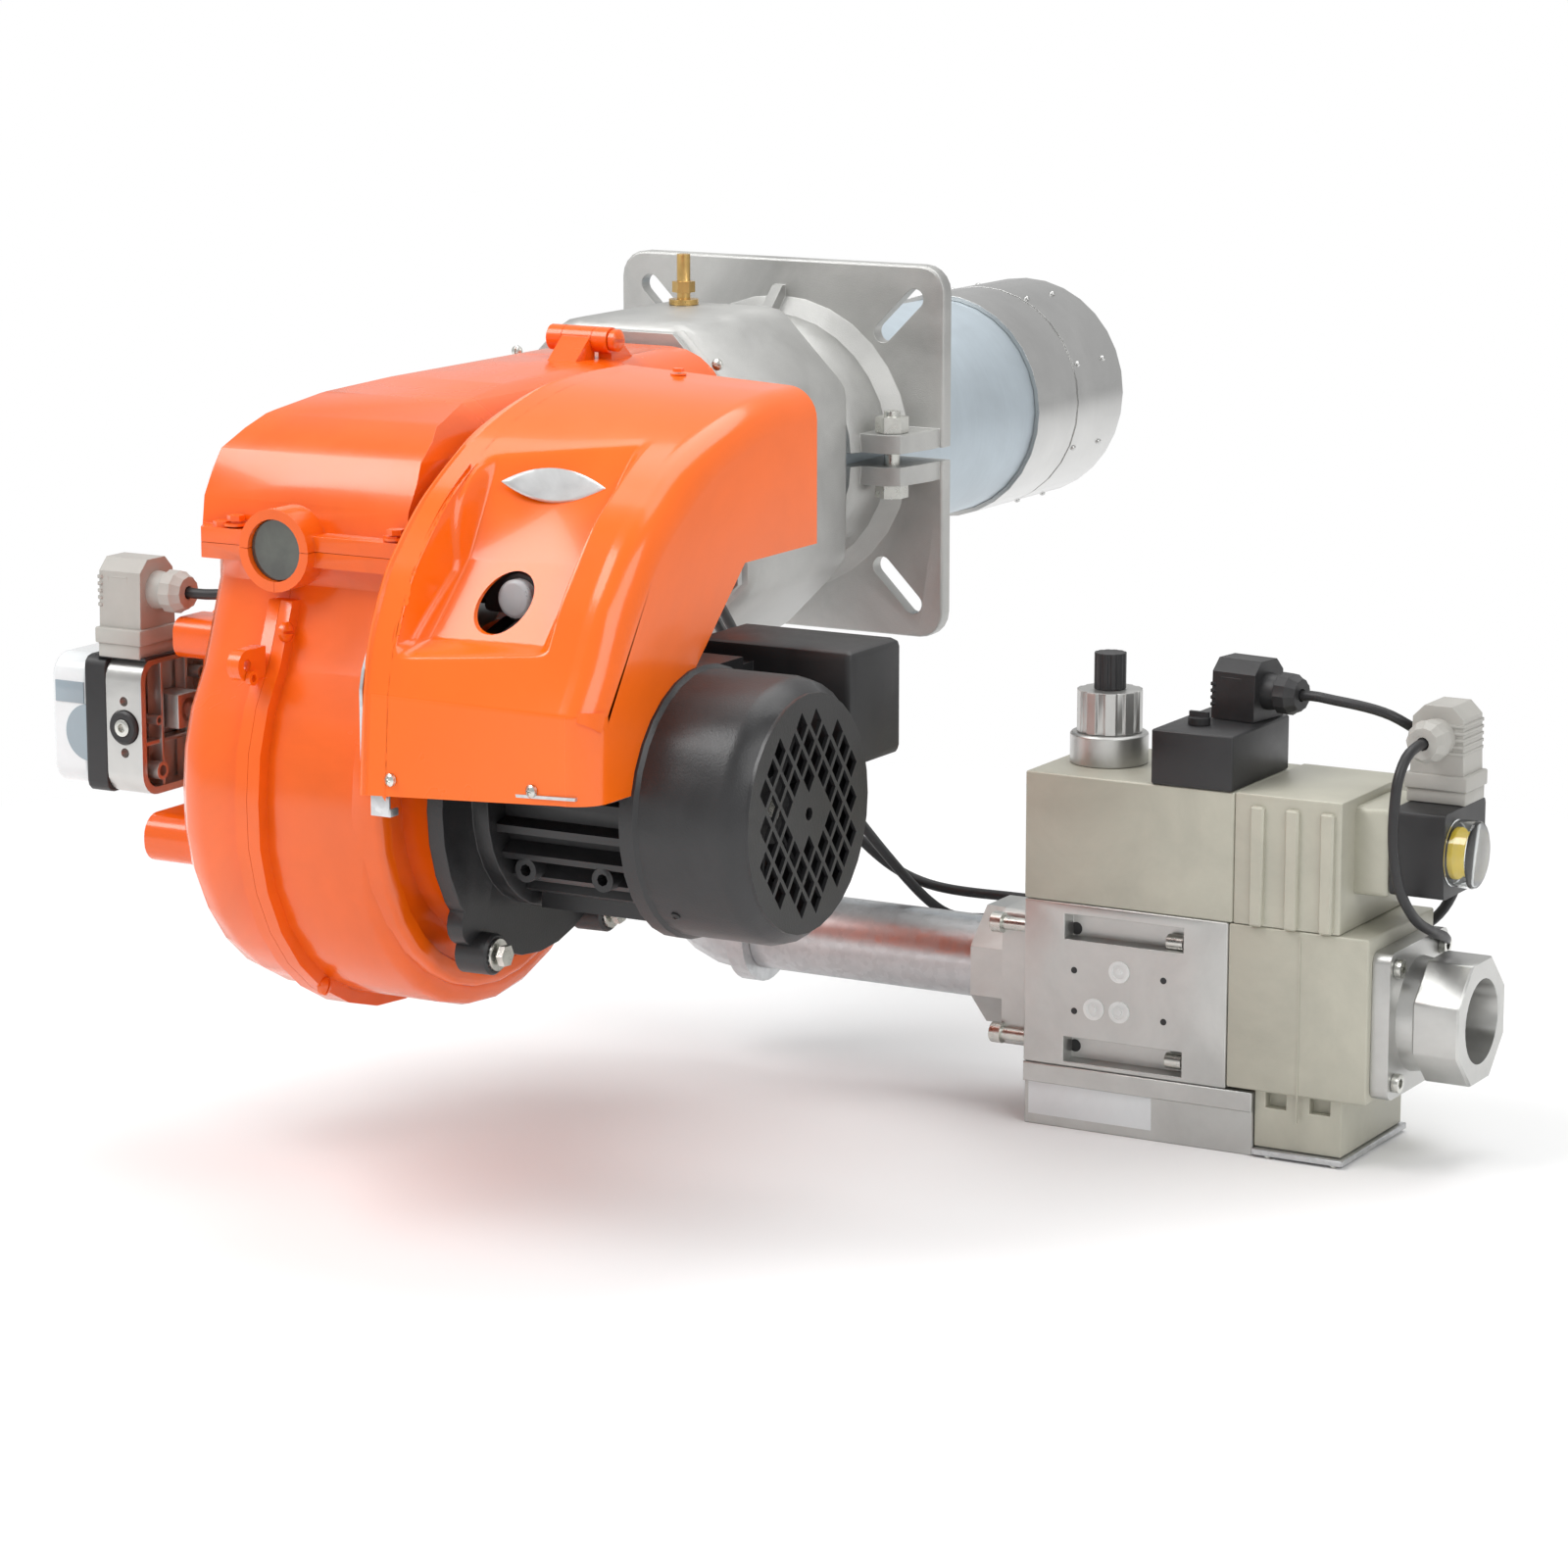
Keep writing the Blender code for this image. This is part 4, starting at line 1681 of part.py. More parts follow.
def outlet_flange():
    """Flange between the pipe and the valve: screw foot, waist and pipe collar."""
    end = VALVE_X - GAP
    centre = (-GAS_BACK, -GAS_LOW)
    octagon = ring_points(centre, OUTLET_HALF / math.cos(math.pi / 8), 8, math.pi / 8)
    collar = slab("X", FLANGE_X, end - OUTLET_FOOT, ring_points(
        centre, OUTLET_THROAT * 1.2 / math.cos(math.pi / 8), 8, math.pi / 8))
    foot = slab("X", end - OUTLET_FOOT * 1.5, end, rounded_box_points(
        (centre[0] - OUTLET_HALF, centre[1] - OUTLET_HALF),
        (centre[0] + OUTLET_HALF, centre[1] + OUTLET_HALF), VALVE_EDGE * 4, 3))
    socket = drum("X", (FLANGE_X - OVERRUN, *centre),
                  PIPE_END_X - FLANGE_X + OVERRUN + GAP, PIPE_RADIUS + GAP)
    bore = drum("X", (FLANGE_X - OVERRUN, *centre), end - FLANGE_X + OVERRUN * 2,
                PIPE_RADIUS - PIPE_WALL)
    body = cut(fuse(collar, foot), bore, socket)
    return keep(body, "outlet_flange", "cast")


def valve_block(start, length, low, high, deep=VALVE_DEEP, edge=VALVE_EDGE):
    """Upright block of the valve, centred on the gas line."""
    body = box((start, -GAS_BACK - deep / 2, -low), (start + length, -GAS_BACK + deep / 2, -high))
    return round_edges(body, edge, 2)


def gas_way(start, length):
    return drum("X", (start - OVERRUN, -GAS_BACK, -GAS_LOW), length + OVERRUN * 2,
                PIPE_RADIUS - PIPE_WALL, ROUND_SIDES)


def valve_body():
    """Silver body of the valve with its two screw pockets and the gas way."""
    body = valve_block(VALVE_X, SILVER_LONG, SILVER_BOTTOM, SILVER_TOP)
    body = cut(body, gas_way(VALVE_X, SILVER_LONG))
    front = -GAS_BACK - VALVE_DEEP / 2
    for low in (-SILVER_TOP - POCKET_HIGH - POCKET_TALL, -SILVER_BOTTOM + POCKET_HIGH / 2):
        pocket = box((VALVE_X + POCKET_START, front - OVERRUN, low),
                     (VALVE_X + POCKET_START + POCKET_LONG, front + POCKET_DEEP,
                      low + POCKET_TALL))
        body = cut(body, pocket)
    return keep(body, "valve_body", "cast")


def valve_cover():
    """Beige cover of the valve drives, on the silver body."""
    body = valve_block(VALVE_X, COVER_LONG, SILVER_TOP - GAP, COVER_PEAK)
    return keep(body, "valve_cover", "beige")


def valve_base():
    """Bottom plate of the valve: a stepped rail for a type plate."""
    front = -GAS_BACK - VALVE_DEEP / 2
    top = -SILVER_BOTTOM - GAP
    body = slab("X", VALVE_X, VALVE_X + BASE_LONG, [
        (front + BASE_LIP, -BASE_LOW), (front + VALVE_DEEP - BASE_LIP, -BASE_LOW),
        (front + VALVE_DEEP - BASE_LIP, top - BASE_STEP), (front + VALVE_DEEP, top - BASE_STEP),
        (front + VALVE_DEEP, top), (front, top), (front, top - BASE_STEP),
        (front + BASE_LIP, top - BASE_STEP),
    ])
    body = round_edges(body, VALVE_EDGE / 2, 1)
    return keep(body, "valve_base", "cast")


def filter_housing():
    """Beige casting on the inlet side with its notched foot."""
    start = VALVE_X + SILVER_LONG + GAP
    body = valve_block(start, CAST_LONG, CAST_FOOT_TOP, SILVER_TOP)
    foot_start = VALVE_X + BASE_LONG + GAP
    foot = valve_block(foot_start, CAST_FOOT_LONG, CAST_BOTTOM, CAST_FOOT_TOP - OVERRUN,
                       VALVE_DEEP - CAST_NOTCH * 2)
    body = fuse(body, foot)
    body = cut(body, gas_way(start, CAST_LONG))
    front = -GAS_BACK - VALVE_DEEP / 2
    step = CAST_FOOT_LONG / 3
    notches = [
        box((foot_start + step * share, front - OVERRUN, -CAST_FOOT_TOP - CAST_NOTCH * 3),
            (foot_start + step * (share + 0.7), front + CAST_NOTCH * 3, -CAST_FOOT_TOP - GAP * 4))
        for share in (0.4, 1.9)
    ]
    body = cut(body, group(notches))
    return keep(body, "filter_housing", "beige")


def regulator_housing():
    """Upper casting with ribs and the saddle of the gas pressure switch."""
    start = VALVE_X + COVER_LONG + GAP
    body = valve_block(start, UPPER_LONG, SILVER_TOP - GAP, UPPER_PEAK)
    front = -GAS_BACK - VALVE_DEEP / 2
    for step in range(UPPER_RIBS):
        place = start + UPPER_RIB_PITCH * (step + 0.5)
        rib = box((place, front - UPPER_RIB, -SILVER_TOP + GAP * 2),
                  (place + UPPER_RIB_LONG, front + UPPER_RIB, -UPPER_PEAK - UPPER_RIB * 2))
        body = fuse(body, round_edges(rib, UPPER_RIB / 3, 1))
    saddle = box((start + UPPER_LONG - UPPER_RIB, -GAS_BACK - SADDLE_WIDE / 2,
                  -SADDLE_LOW - SADDLE_TALL / 2),
                 (start + UPPER_LONG + SADDLE_LONG, -GAS_BACK + SADDLE_WIDE / 2,
                  -SADDLE_LOW + SADDLE_TALL / 2))
    body = fuse(body, round_edges(saddle, VALVE_EDGE * 3, 2))
    return keep(body, "regulator_housing", "beige")


def foot_plate():
    start = VALVE_X + BASE_LONG - ZINC_LIP
    half = VALVE_DEEP / 2
    body = box((start + ZINC_LIP + GAP, -GAS_BACK - half, -CAST_BOTTOM - GAP - ZINC_THICK),
               (start + CAST_FOOT_LONG + ZINC_LIP * 2, -GAS_BACK + half, -CAST_BOTTOM - GAP))
    return keep(round_edges(body, VALVE_EDGE / 2, 1), "foot_plate", "zinc")


def inlet_flange():
    """Threaded inlet flange: screw foot, waist and octagonal port."""
    start = VALVE_X + SILVER_LONG + CAST_LONG + GAP * 2
    centre = (-GAS_BACK, -GAS_LOW)
    end = start + INLET_LONG + INLET_HUB_LONG
    foot = slab("X", start, start + INLET_LONG / 2, rounded_box_points(
        (centre[0] - INLET_HALF, centre[1] - INLET_HALF),
        (centre[0] + INLET_HALF, centre[1] + INLET_HALF), VALVE_EDGE * 5, 3))
    waist = drum("X", (start + INLET_LONG / 4, *centre), INLET_LONG, INLET_HALF * 0.8, 32,
                 PORT_RADIUS * 1.25)
    port = slab("X", start + INLET_LONG, end, ring_points(
        centre, INLET_OCTAGON / math.cos(math.pi / 8), 8, math.pi / 8))
    port = round_edges(port, VALVE_EDGE, 1)
    bore = drum("X", (end - PORT_DEEP, *centre), PORT_DEEP + OVERRUN, PORT_RADIUS)
    body = cut(fuse(foot, waist, port), bore, gas_way(start, INLET_LONG))
    return keep(body, "inlet_flange", "cast")


def knob_base():
    """Round socket and stud that the flow ring and its cap turn on."""
    low = -COVER_PEAK + GAP
    body = turned("Z", (KNOB_X, -GAS_BACK, low), [
        (0, KNOB_BASE_HIGH + RING_HIGH + CAP_HIGH * 0.7),
        (STUD_RADIUS, KNOB_BASE_HIGH + RING_HIGH + CAP_HIGH * 0.7),
        (STUD_RADIUS, KNOB_BASE_HIGH),
        (KNOB_BASE - VALVE_EDGE, KNOB_BASE_HIGH),
        (KNOB_BASE, KNOB_BASE_HIGH - VALVE_EDGE),
        (KNOB_BASE, 0),
        (0, 0),
    ], 32)
    return keep(body, "knob_base", "cast")


def fluted(centre, radius, depth, flutes):
    """Outline of a fluted grip: a ring whose radius dips between the ribs."""
    points = []
    for step in range(flutes):
        for share, dip in ((0.0, 0), (0.5, 0), (0.6, 1), (0.9, 1)):
            turn = FULL_TURN * (step + share) / flutes
            reach = radius - depth * dip
            points.append((centre[0] + reach * math.cos(turn),
                           centre[1] + reach * math.sin(turn)))
    return points


def flow_ring():
    low = -COVER_PEAK + GAP * 2 + KNOB_BASE_HIGH
    centre = (KNOB_X, -GAS_BACK)
    body = slab("Z", low, low + RING_HIGH, fluted(centre, RING_RADIUS, RING_FLUTE, RING_FLUTES),
                [ring_points(centre, STUD_RADIUS + GAP, SMALL_SIDES)])
    return keep(at_origin(body, (*centre, low)), "flow_ring", "zinc")


def flow_cap():
    low = -COVER_PEAK + GAP * 3 + KNOB_BASE_HIGH + RING_HIGH
    centre = (KNOB_X, -GAS_BACK)
    body = slab("Z", low, low + CAP_HIGH, fluted(centre, CAP_RADIUS, CAP_RIB, CAP_RIBS))
    body = cut(body, drum("Z", (*centre, low - OVERRUN), CAP_HIGH * 0.7 + OVERRUN + GAP,
                          STUD_RADIUS + GAP, SMALL_SIDES))
    return keep(at_origin(body, (*centre, low)), "flow_cap", "black")


def valve_module():
    """Black electric module on top of the valve cover."""
    low = -COVER_PEAK + GAP
    front = -GAS_BACK - VALVE_DEEP / 2 - GAP * 4
    body = box((MODULE_X, front, low), (MODULE_X + MODULE_LONG, front + MODULE_DEEP,
                                        low + MODULE_HIGH))
    body = round_edges(body, MODULE_EDGE, 2)
    return keep(body, "valve_module", "black")


def pointer_knob():
    """Small pointer knob that sets the delay, on the module."""
    low = -COVER_PEAK + GAP * 2 + MODULE_HIGH
    centre = (MODULE_X + POINTER_X, -GAS_BACK - VALVE_DEEP / 2 + POINTER_DEEP)
    body = drum("Z", (*centre, low), POINTER_HIGH, POINTER_RADIUS, SMALL_SIDES)
    fin = box((centre[0] - POINTER_RADIUS * 0.9, centre[1] - POINTER_FIN_THICK / 2,
               low + POINTER_HIGH / 2),
              (centre[0] + POINTER_RADIUS * 0.9, centre[1] + POINTER_FIN_THICK / 2,
               low + POINTER_FIN))
    return keep(at_origin(fuse(body, fin), (*centre, low)), "pointer_knob", "black")


def valve_plug_place():
    return (MODULE_X + MODULE_LONG / 2 + PLUG_WIDE / 4,
            -GAS_BACK - VALVE_DEEP / 2 + VALVE_PLUG_DEEP, -COVER_PEAK + GAP * 2 + MODULE_HIGH)


VALVE_GLAND_TURN = math.radians(-8)


def valve_plug():
    return keep(plug_shape(valve_plug_place(), VALVE_GLAND_TURN), "valve_plug", "black")


def gauge_start():
    return VALVE_X + COVER_LONG + UPPER_LONG + SADDLE_LONG + GAP * 2


def gas_switch():
    """Black gas pressure switch on the saddle."""
    start = gauge_start()
    low = (-GAS_BACK - GAUGE_WIDE / 2, -GAUGE_LOW - GAUGE_TALL / 2)
    high = (-GAS_BACK + GAUGE_WIDE / 2, -GAUGE_LOW + GAUGE_TALL / 2)
    body = slab("X", start, start + GAUGE_LONG, rounded_box_points(low, high, SWITCH_EDGE / 2, 2))
    return keep(body, "gas_switch", "black")


def dial_centre():
    return (-GAS_BACK - DIAL_FORWARD, -GAUGE_LOW)


def gas_dial():
    start = gauge_start() + GAUGE_LONG + GAP
    body = drum("X", (start, *dial_centre()), DIAL_THICK, DIAL_RADIUS, 32)
    return keep(at_origin(body, (start, *dial_centre())), "gas_dial", "yellow")


def dial_window():
    """Clear cap over the dial."""
    start = gauge_start() + GAUGE_LONG + GAP
    body = drum("X", (start, *dial_centre()), LENS_LONG, LENS_RADIUS, 32)
    body = round_end(body, "X", start + LENS_LONG, LENS_WALL, 2)
    body = cut(body, drum("X", (start - OVERRUN, *dial_centre()),
                          LENS_LONG - LENS_WALL + OVERRUN, LENS_RADIUS - LENS_WALL, 32))
    return keep(body, "dial_window", "white")


def gas_plug_place():
    return (gauge_start() + GAUGE_LONG / 2, -GAS_BACK + GAUGE_WIDE / 2 - SWITCH_PLUG_DEEP,
            -GAUGE_LOW + GAUGE_TALL / 2 + GAP)


GAS_GLAND_TURN = math.radians(-125)


def gas_switch_plug():
    return keep(plug_shape(gas_plug_place(), GAS_GLAND_TURN), "gas_switch_plug", "grey")


# Cords
def smooth_route(points, spacing):
    """Even points along a smooth curve through the route's own points."""
    knots = [Vector(point) for point in points]
    knots = [knots[0] * 2 - knots[1]] + knots + [knots[-1] * 2 - knots[-2]]
    fine = []
    for index in range(1, len(knots) - 2):
        before, start, end, after = knots[index - 1:index + 3]
        for step in range(ROUTE_STEPS):
            share = step / ROUTE_STEPS
            fine.append(((start * 2) + (end - before) * share
                         + (before * 2 - start * 5 + end * 4 - after) * share ** 2
                         + (start * 3 - before - end * 3 + after) * share ** 3) / 2)
    fine.append(knots[-2])
    lengths = [0]
    for first, second in zip(fine, fine[1:]):
        lengths.append(lengths[-1] + (second - first).length)
    count = max(int(lengths[-1] / spacing), 2)
    even = []
    index = 0
    for step in range(count + 1):
        goal = lengths[-1] * step / count
        while index < len(lengths) - 2 and lengths[index + 1] < goal:
            index += 1
        share = (goal - lengths[index]) / (lengths[index + 1] - lengths[index])
        even.append(fine[index].lerp(fine[index + 1], min(share, 1)))
    return even


def cord(name, points):
    """Black cord along a smooth route."""
    spacing = CORD_RADIUS * CORD_SPACING
    return keep(tube(smooth_route(points, spacing), CORD_RADIUS, 2), name, "black")


def plug_cord(name, place, turn, lead, route):
    """Cord that leaves a plug's gland straight and then follows its route."""
    start = [gland_exit(place, turn, CORD_SEAT), gland_exit(place, turn),
             gland_exit(place, turn, -lead)]
    return cord(name, start + [Vector(point) for point in route])


def cords():
    """Two leads to the control box and the lead of the air switch."""
    plug_cord("valve_cable", valve_plug_place(), VALVE_GLAND_TURN, CORD_LEAD,
              VALVE_CABLE_ROUTE)
    plug_cord("switch_cable", gas_plug_place(), GAS_GLAND_TURN, CORD_LEAD,
              SWITCH_CABLE_ROUTE)
    plug_cord("air_switch_cable", air_plug_place(), AIR_GLAND_TURN, CORD_LEAD,
              AIR_CABLE_ROUTE)


# Everything, in order
def build():
    flange_half(True)
    flange_half(False)
    clamp_bolt(1)
    clamp_bolt(-1)
    blast_tube()
    head_sleeve()
    mixing_head()
    for name, place in zip(("ignition_electrode", "flame_rod"), electrode_places()):
        electrode(name, place)
    head_block()
    block_plate()
    test_nipple()
    duct_neck()
    volute(True)
    volute(False)
    scroll_cover()
    hinge_pin()
    sight_glass()
    fan_wheel()
    motor_shaft()
    motor_plate()
    motor_frame()
    fan_cowl()
    cooling_fan()
    terminal_box()
    air_intake()
    air_damper()
    damper_motor()
    air_switch_base()
    air_switch_band()
    air_switch_cover()
    air_switch_plug()
    control_hood()
    hood_tray()
    control_box()
    reset_button()
    gas_elbow()
    gas_pipe()
    outlet_flange()
    valve_body()
    valve_cover()
    valve_base()
    filter_housing()
    regulator_housing()
    foot_plate()
    inlet_flange()
    knob_base()
    flow_ring()
    flow_cap()
    valve_module()
    pointer_knob()
    valve_plug()
    gas_switch()
    gas_dial()
    dial_window()
    gas_switch_plug()
    cords()


build()
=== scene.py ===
"""Dressed model of an industrial gas burner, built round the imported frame."""
import json
import math

import bmesh
import bpy
from mathutils import Matrix, Vector


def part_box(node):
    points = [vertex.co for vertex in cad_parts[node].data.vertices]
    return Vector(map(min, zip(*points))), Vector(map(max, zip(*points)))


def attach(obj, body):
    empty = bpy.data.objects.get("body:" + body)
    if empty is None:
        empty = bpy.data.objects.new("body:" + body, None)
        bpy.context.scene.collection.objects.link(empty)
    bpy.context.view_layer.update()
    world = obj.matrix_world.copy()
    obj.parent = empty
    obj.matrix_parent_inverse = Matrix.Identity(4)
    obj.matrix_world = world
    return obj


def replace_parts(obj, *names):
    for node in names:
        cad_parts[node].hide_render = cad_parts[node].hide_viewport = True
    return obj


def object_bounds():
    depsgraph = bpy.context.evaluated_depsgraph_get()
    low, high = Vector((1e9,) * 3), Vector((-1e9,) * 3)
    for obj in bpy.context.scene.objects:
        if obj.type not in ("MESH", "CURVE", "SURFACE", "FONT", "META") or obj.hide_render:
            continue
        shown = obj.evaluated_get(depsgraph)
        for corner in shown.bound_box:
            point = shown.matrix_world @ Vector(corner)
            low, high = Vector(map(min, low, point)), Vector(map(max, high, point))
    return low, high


bl_info = {
    "name": "Gas burner",
    "version": (1, 0, 0),
    "blender": (4, 5, 0),
    "location": "View3D > Sidebar > Burner",
    "description": "Builds a gas burner with its blower, motor, hood and gas train",
    "category": "Add Mesh",
}

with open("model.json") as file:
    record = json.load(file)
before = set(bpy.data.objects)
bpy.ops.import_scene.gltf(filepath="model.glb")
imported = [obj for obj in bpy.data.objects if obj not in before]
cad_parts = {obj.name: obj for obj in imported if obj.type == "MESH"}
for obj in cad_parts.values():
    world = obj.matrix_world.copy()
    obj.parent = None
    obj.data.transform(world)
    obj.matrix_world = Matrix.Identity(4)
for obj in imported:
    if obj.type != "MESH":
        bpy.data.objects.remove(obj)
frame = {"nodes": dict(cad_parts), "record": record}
CAD_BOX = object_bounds()
BODY_OF = {
    node: body
    for body, nodes in frame["record"]["behaviour"]["bodies"].items()
    for node in nodes
}
FULL_TURN = 2 * math.pi
UPWARDS, DOWNWARDS = (0.0, 0.0, 1.0), (0.0, 0.0, -1.0)
REARWARDS, RIGHTWARDS = (0.0, -1.0, 0.0), (1.0, 0.0, 0.0)


# Settings
class BurnerColours(bpy.types.PropertyGroup):
    """Colours of the burner's finishes."""

    casing: bpy.props.FloatVectorProperty(
        name="Casing", description="Paint of the blower casing", subtype="COLOR",
        default=(0.84, 0.118, 0.003))
    hood: bpy.props.FloatVectorProperty(
        name="Hood", description="Moulded hood over the controls", subtype="COLOR",
        default=(0.90, 0.140, 0.003))
    alloy: bpy.props.FloatVectorProperty(
        name="Cast alloy", description="Bare cast flange, block and valve", subtype="COLOR",
        default=(0.49, 0.49, 0.475))
    beige: bpy.props.FloatVectorProperty(
        name="Valve coating", description="Coated castings of the gas valve", subtype="COLOR",
        default=(0.46, 0.45, 0.375))
    zinc: bpy.props.FloatVectorProperty(
        name="Zinc", description="Galvanised pipe and plates", subtype="COLOR",
        default=(0.62, 0.63, 0.64))
    black: bpy.props.FloatVectorProperty(
        name="Black", description="Motor paint and black plastics", subtype="COLOR",
        default=(0.018, 0.018, 0.019))
    plug: bpy.props.FloatVectorProperty(
        name="Plug grey", description="Grey electric plugs", subtype="COLOR",
        default=(0.42, 0.41, 0.38))
    floor: bpy.props.FloatVectorProperty(
        name="Floor", description="Studio floor", subtype="COLOR",
        default=(0.96, 0.96, 0.96))


class BurnerSizes(bpy.types.PropertyGroup):
    """Sizes of the fine parts."""

    edge_round: bpy.props.FloatProperty(
        name="Edge rounding", description="Rounding of the carried-over edges",
        default=0.0006, min=0.0001, max=0.002, unit="LENGTH")
    seam_screw: bpy.props.FloatProperty(
        name="Seam screw", description="Head radius of the casing's upper seam screw",
        default=0.0066, min=0.002, max=0.01, unit="LENGTH")


# Node helpers
def feed(tree, node, inputs):
    """Links or sets a node's inputs."""
    for name, value in inputs.items():
        socket = node.inputs[name]
        if isinstance(value, bpy.types.NodeSocket):
            tree.links.new(value, socket)
        else:
            socket.default_value = value


def put(tree, kind, inputs=None, **settings):
    """Adds a node with its settings, and links or sets its inputs."""
    made = tree.nodes.new(kind)
    for name, value in settings.items():
        setattr(made, name, value)
    feed(tree, made, inputs or {})
    return made


def link_all(tree, *pairs):
    for start, end in pairs:
        tree.links.new(start, end)


def math_node(tree, operation, first, second=0.0, clamp=False):
    return put(tree, "ShaderNodeMath", {0: first, 1: second}, operation=operation,
               use_clamp=clamp).outputs[0]


def blend(tree, share, first, second):
    """Mix of two colours."""
    first, second = (value if isinstance(value, bpy.types.NodeSocket) else (*value[:3], 1)
                     for value in (first, second))
    return put(tree, "ShaderNodeMix", {0: share, 6: first, 7: second},
               data_type="RGBA").outputs[2]


def spread(tree, value, low, high, from_low=0.0, from_high=1.0):
    """Maps a value onto a range."""
    return put(tree, "ShaderNodeMapRange", {
        "Value": value, "From Min": from_low, "From Max": from_high,
        "To Min": low, "To Max": high}).outputs["Result"]


def new_group(name, inputs, outputs):
    """A shader node group with named sockets."""
    group = bpy.data.node_groups.new(name, "ShaderNodeTree")
    for label, kind, value in inputs:
        socket = group.interface.new_socket(label, in_out="INPUT", socket_type=kind)
        if value is not None:
            socket.default_value = value
    for label, kind in outputs:
        group.interface.new_socket(label, in_out="OUTPUT", socket_type=kind)
    return group, group.nodes.new("NodeGroupInput"), group.nodes.new("NodeGroupOutput")


def grain_group():
    """Fine grain, handling smudges and specks over a surface."""
    group, given, result = new_group("surface_grain", [
        ("Vector", "NodeSocketVector", None),
        ("Grain Scale", "NodeSocketFloat", 900.0),
        ("Smudge Scale", "NodeSocketFloat", 9.0),
    ], [("Grain", "NodeSocketFloat"), ("Smudge", "NodeSocketFloat"),
        ("Specks", "NodeSocketFloat")])
    fine = put(group, "ShaderNodeTexNoise", {
        "Vector": given.outputs["Vector"], "Scale": given.outputs["Grain Scale"],
        "Detail": 3.0, "Roughness": 0.6})
    broad = put(group, "ShaderNodeTexNoise", {
        "Vector": given.outputs["Vector"], "Scale": given.outputs["Smudge Scale"],
        "Detail": 5.0, "Roughness": 0.62, "Distortion": 0.4})
    soft = spread(group, broad.outputs["Fac"], 0.0, 1.0, 0.32, 0.68)
    dots = put(group, "ShaderNodeTexVoronoi", {
        "Vector": given.outputs["Vector"],
        "Scale": math_node(group, "MULTIPLY", given.outputs["Grain Scale"], 0.35)})
    specks = spread(group, dots.outputs["Distance"], 1.0, 0.0, 0.02, 0.16)
    feed(group, result, {"Grain": fine.outputs["Fac"], "Smudge": soft, "Specks": specks})
    return group


def edge_group():
    """Mask of the worn edges, broken up by noise."""
    group, given, result = new_group("edge_wear", [
        ("Vector", "NodeSocketVector", None),
        ("Width", "NodeSocketFloat", 0.0012),
        ("Amount", "NodeSocketFloat", 0.5),
    ], [("Mask", "NodeSocketFloat")])
    rounded = put(group, "ShaderNodeBevel", {"Radius": given.outputs["Width"]}, samples=4)
    surface = group.nodes.new("ShaderNodeNewGeometry")
    near = put(group, "ShaderNodeVectorMath", {
        0: rounded.outputs["Normal"], 1: surface.outputs["Normal"]}, operation="DOT_PRODUCT")
    turn = spread(group, near.outputs["Value"], 1.0, 0.0, 0.55, 0.985)
    patch = put(group, "ShaderNodeTexNoise", {
        "Vector": given.outputs["Vector"], "Scale": 140.0, "Detail": 4.0, "Roughness": 0.7})
    broken = spread(group, patch.outputs["Fac"], 0.0, 1.0, 0.38, 0.62)
    mask = math_node(group, "MULTIPLY", turn, broken, True)
    mask = math_node(group, "MULTIPLY", mask, given.outputs["Amount"], True)
    group.links.new(mask, result.inputs["Mask"])
    return group


def spangle_group():
    """Crystals of a zinc coating: cells of slightly different shade."""
    group, given, result = new_group("zinc_spangle", [
        ("Vector", "NodeSocketVector", None), ("Scale", "NodeSocketFloat", 160.0),
    ], [("Shade", "NodeSocketFloat")])
    cells = put(group, "ShaderNodeTexVoronoi", {
        "Vector": given.outputs["Vector"], "Scale": given.outputs["Scale"]})
    parts = put(group, "ShaderNodeSeparateColor", {"Color": cells.outputs["Color"]})
    group.links.new(parts.outputs["Red"], result.inputs["Shade"])
    return group


def streak_group():
    """Fine lines along one direction, from a stretched noise."""
    group, given, result = new_group("brushed_streaks", [
        ("Vector", "NodeSocketVector", None),
        ("Stretch", "NodeSocketVector", (1.0, 1.0, 1.0)),
    ], [("Lines", "NodeSocketFloat")])
    scaled = put(group, "ShaderNodeVectorMath", {
        0: given.outputs["Vector"], 1: given.outputs["Stretch"]}, operation="MULTIPLY")
    lines = put(group, "ShaderNodeTexNoise", {
        "Vector": scaled.outputs["Vector"], "Scale": 1.0, "Detail": 4.0, "Roughness": 0.65})
    group.links.new(lines.outputs["Fac"], result.inputs["Lines"])
    return group


GROUPS = {}


def group_of(name):
    """Each shared effect is built once."""
    makers = {"grain": grain_group, "edge": edge_group, "spangle": spangle_group,
              "streak": streak_group}
    if name not in GROUPS:
        GROUPS[name] = makers[name]()
    return GROUPS[name]


def use_group(tree, name, **inputs):
    """A shared effect; in its inputs' names, underscores stand for spaces."""
    return put(tree, "ShaderNodeGroup",
               {label.replace("_", " "): value for label, value in inputs.items()},
               node_tree=group_of(name))


# Finishes
FINISHES = {}
PLASTIC_IOR = 1.49


def shade(colour, factor):
    return tuple(min(channel * factor, 1.0) for channel in colour[:3])


def new_material(name):
    """New material with its tree, its shader and the Object coordinates."""
    material = bpy.data.materials.new(name)
    material.use_nodes = True
    tree = material.node_tree
    place = tree.nodes.new("ShaderNodeTexCoord").outputs["Object"]
    return material, tree, tree.nodes["Principled BSDF"], place


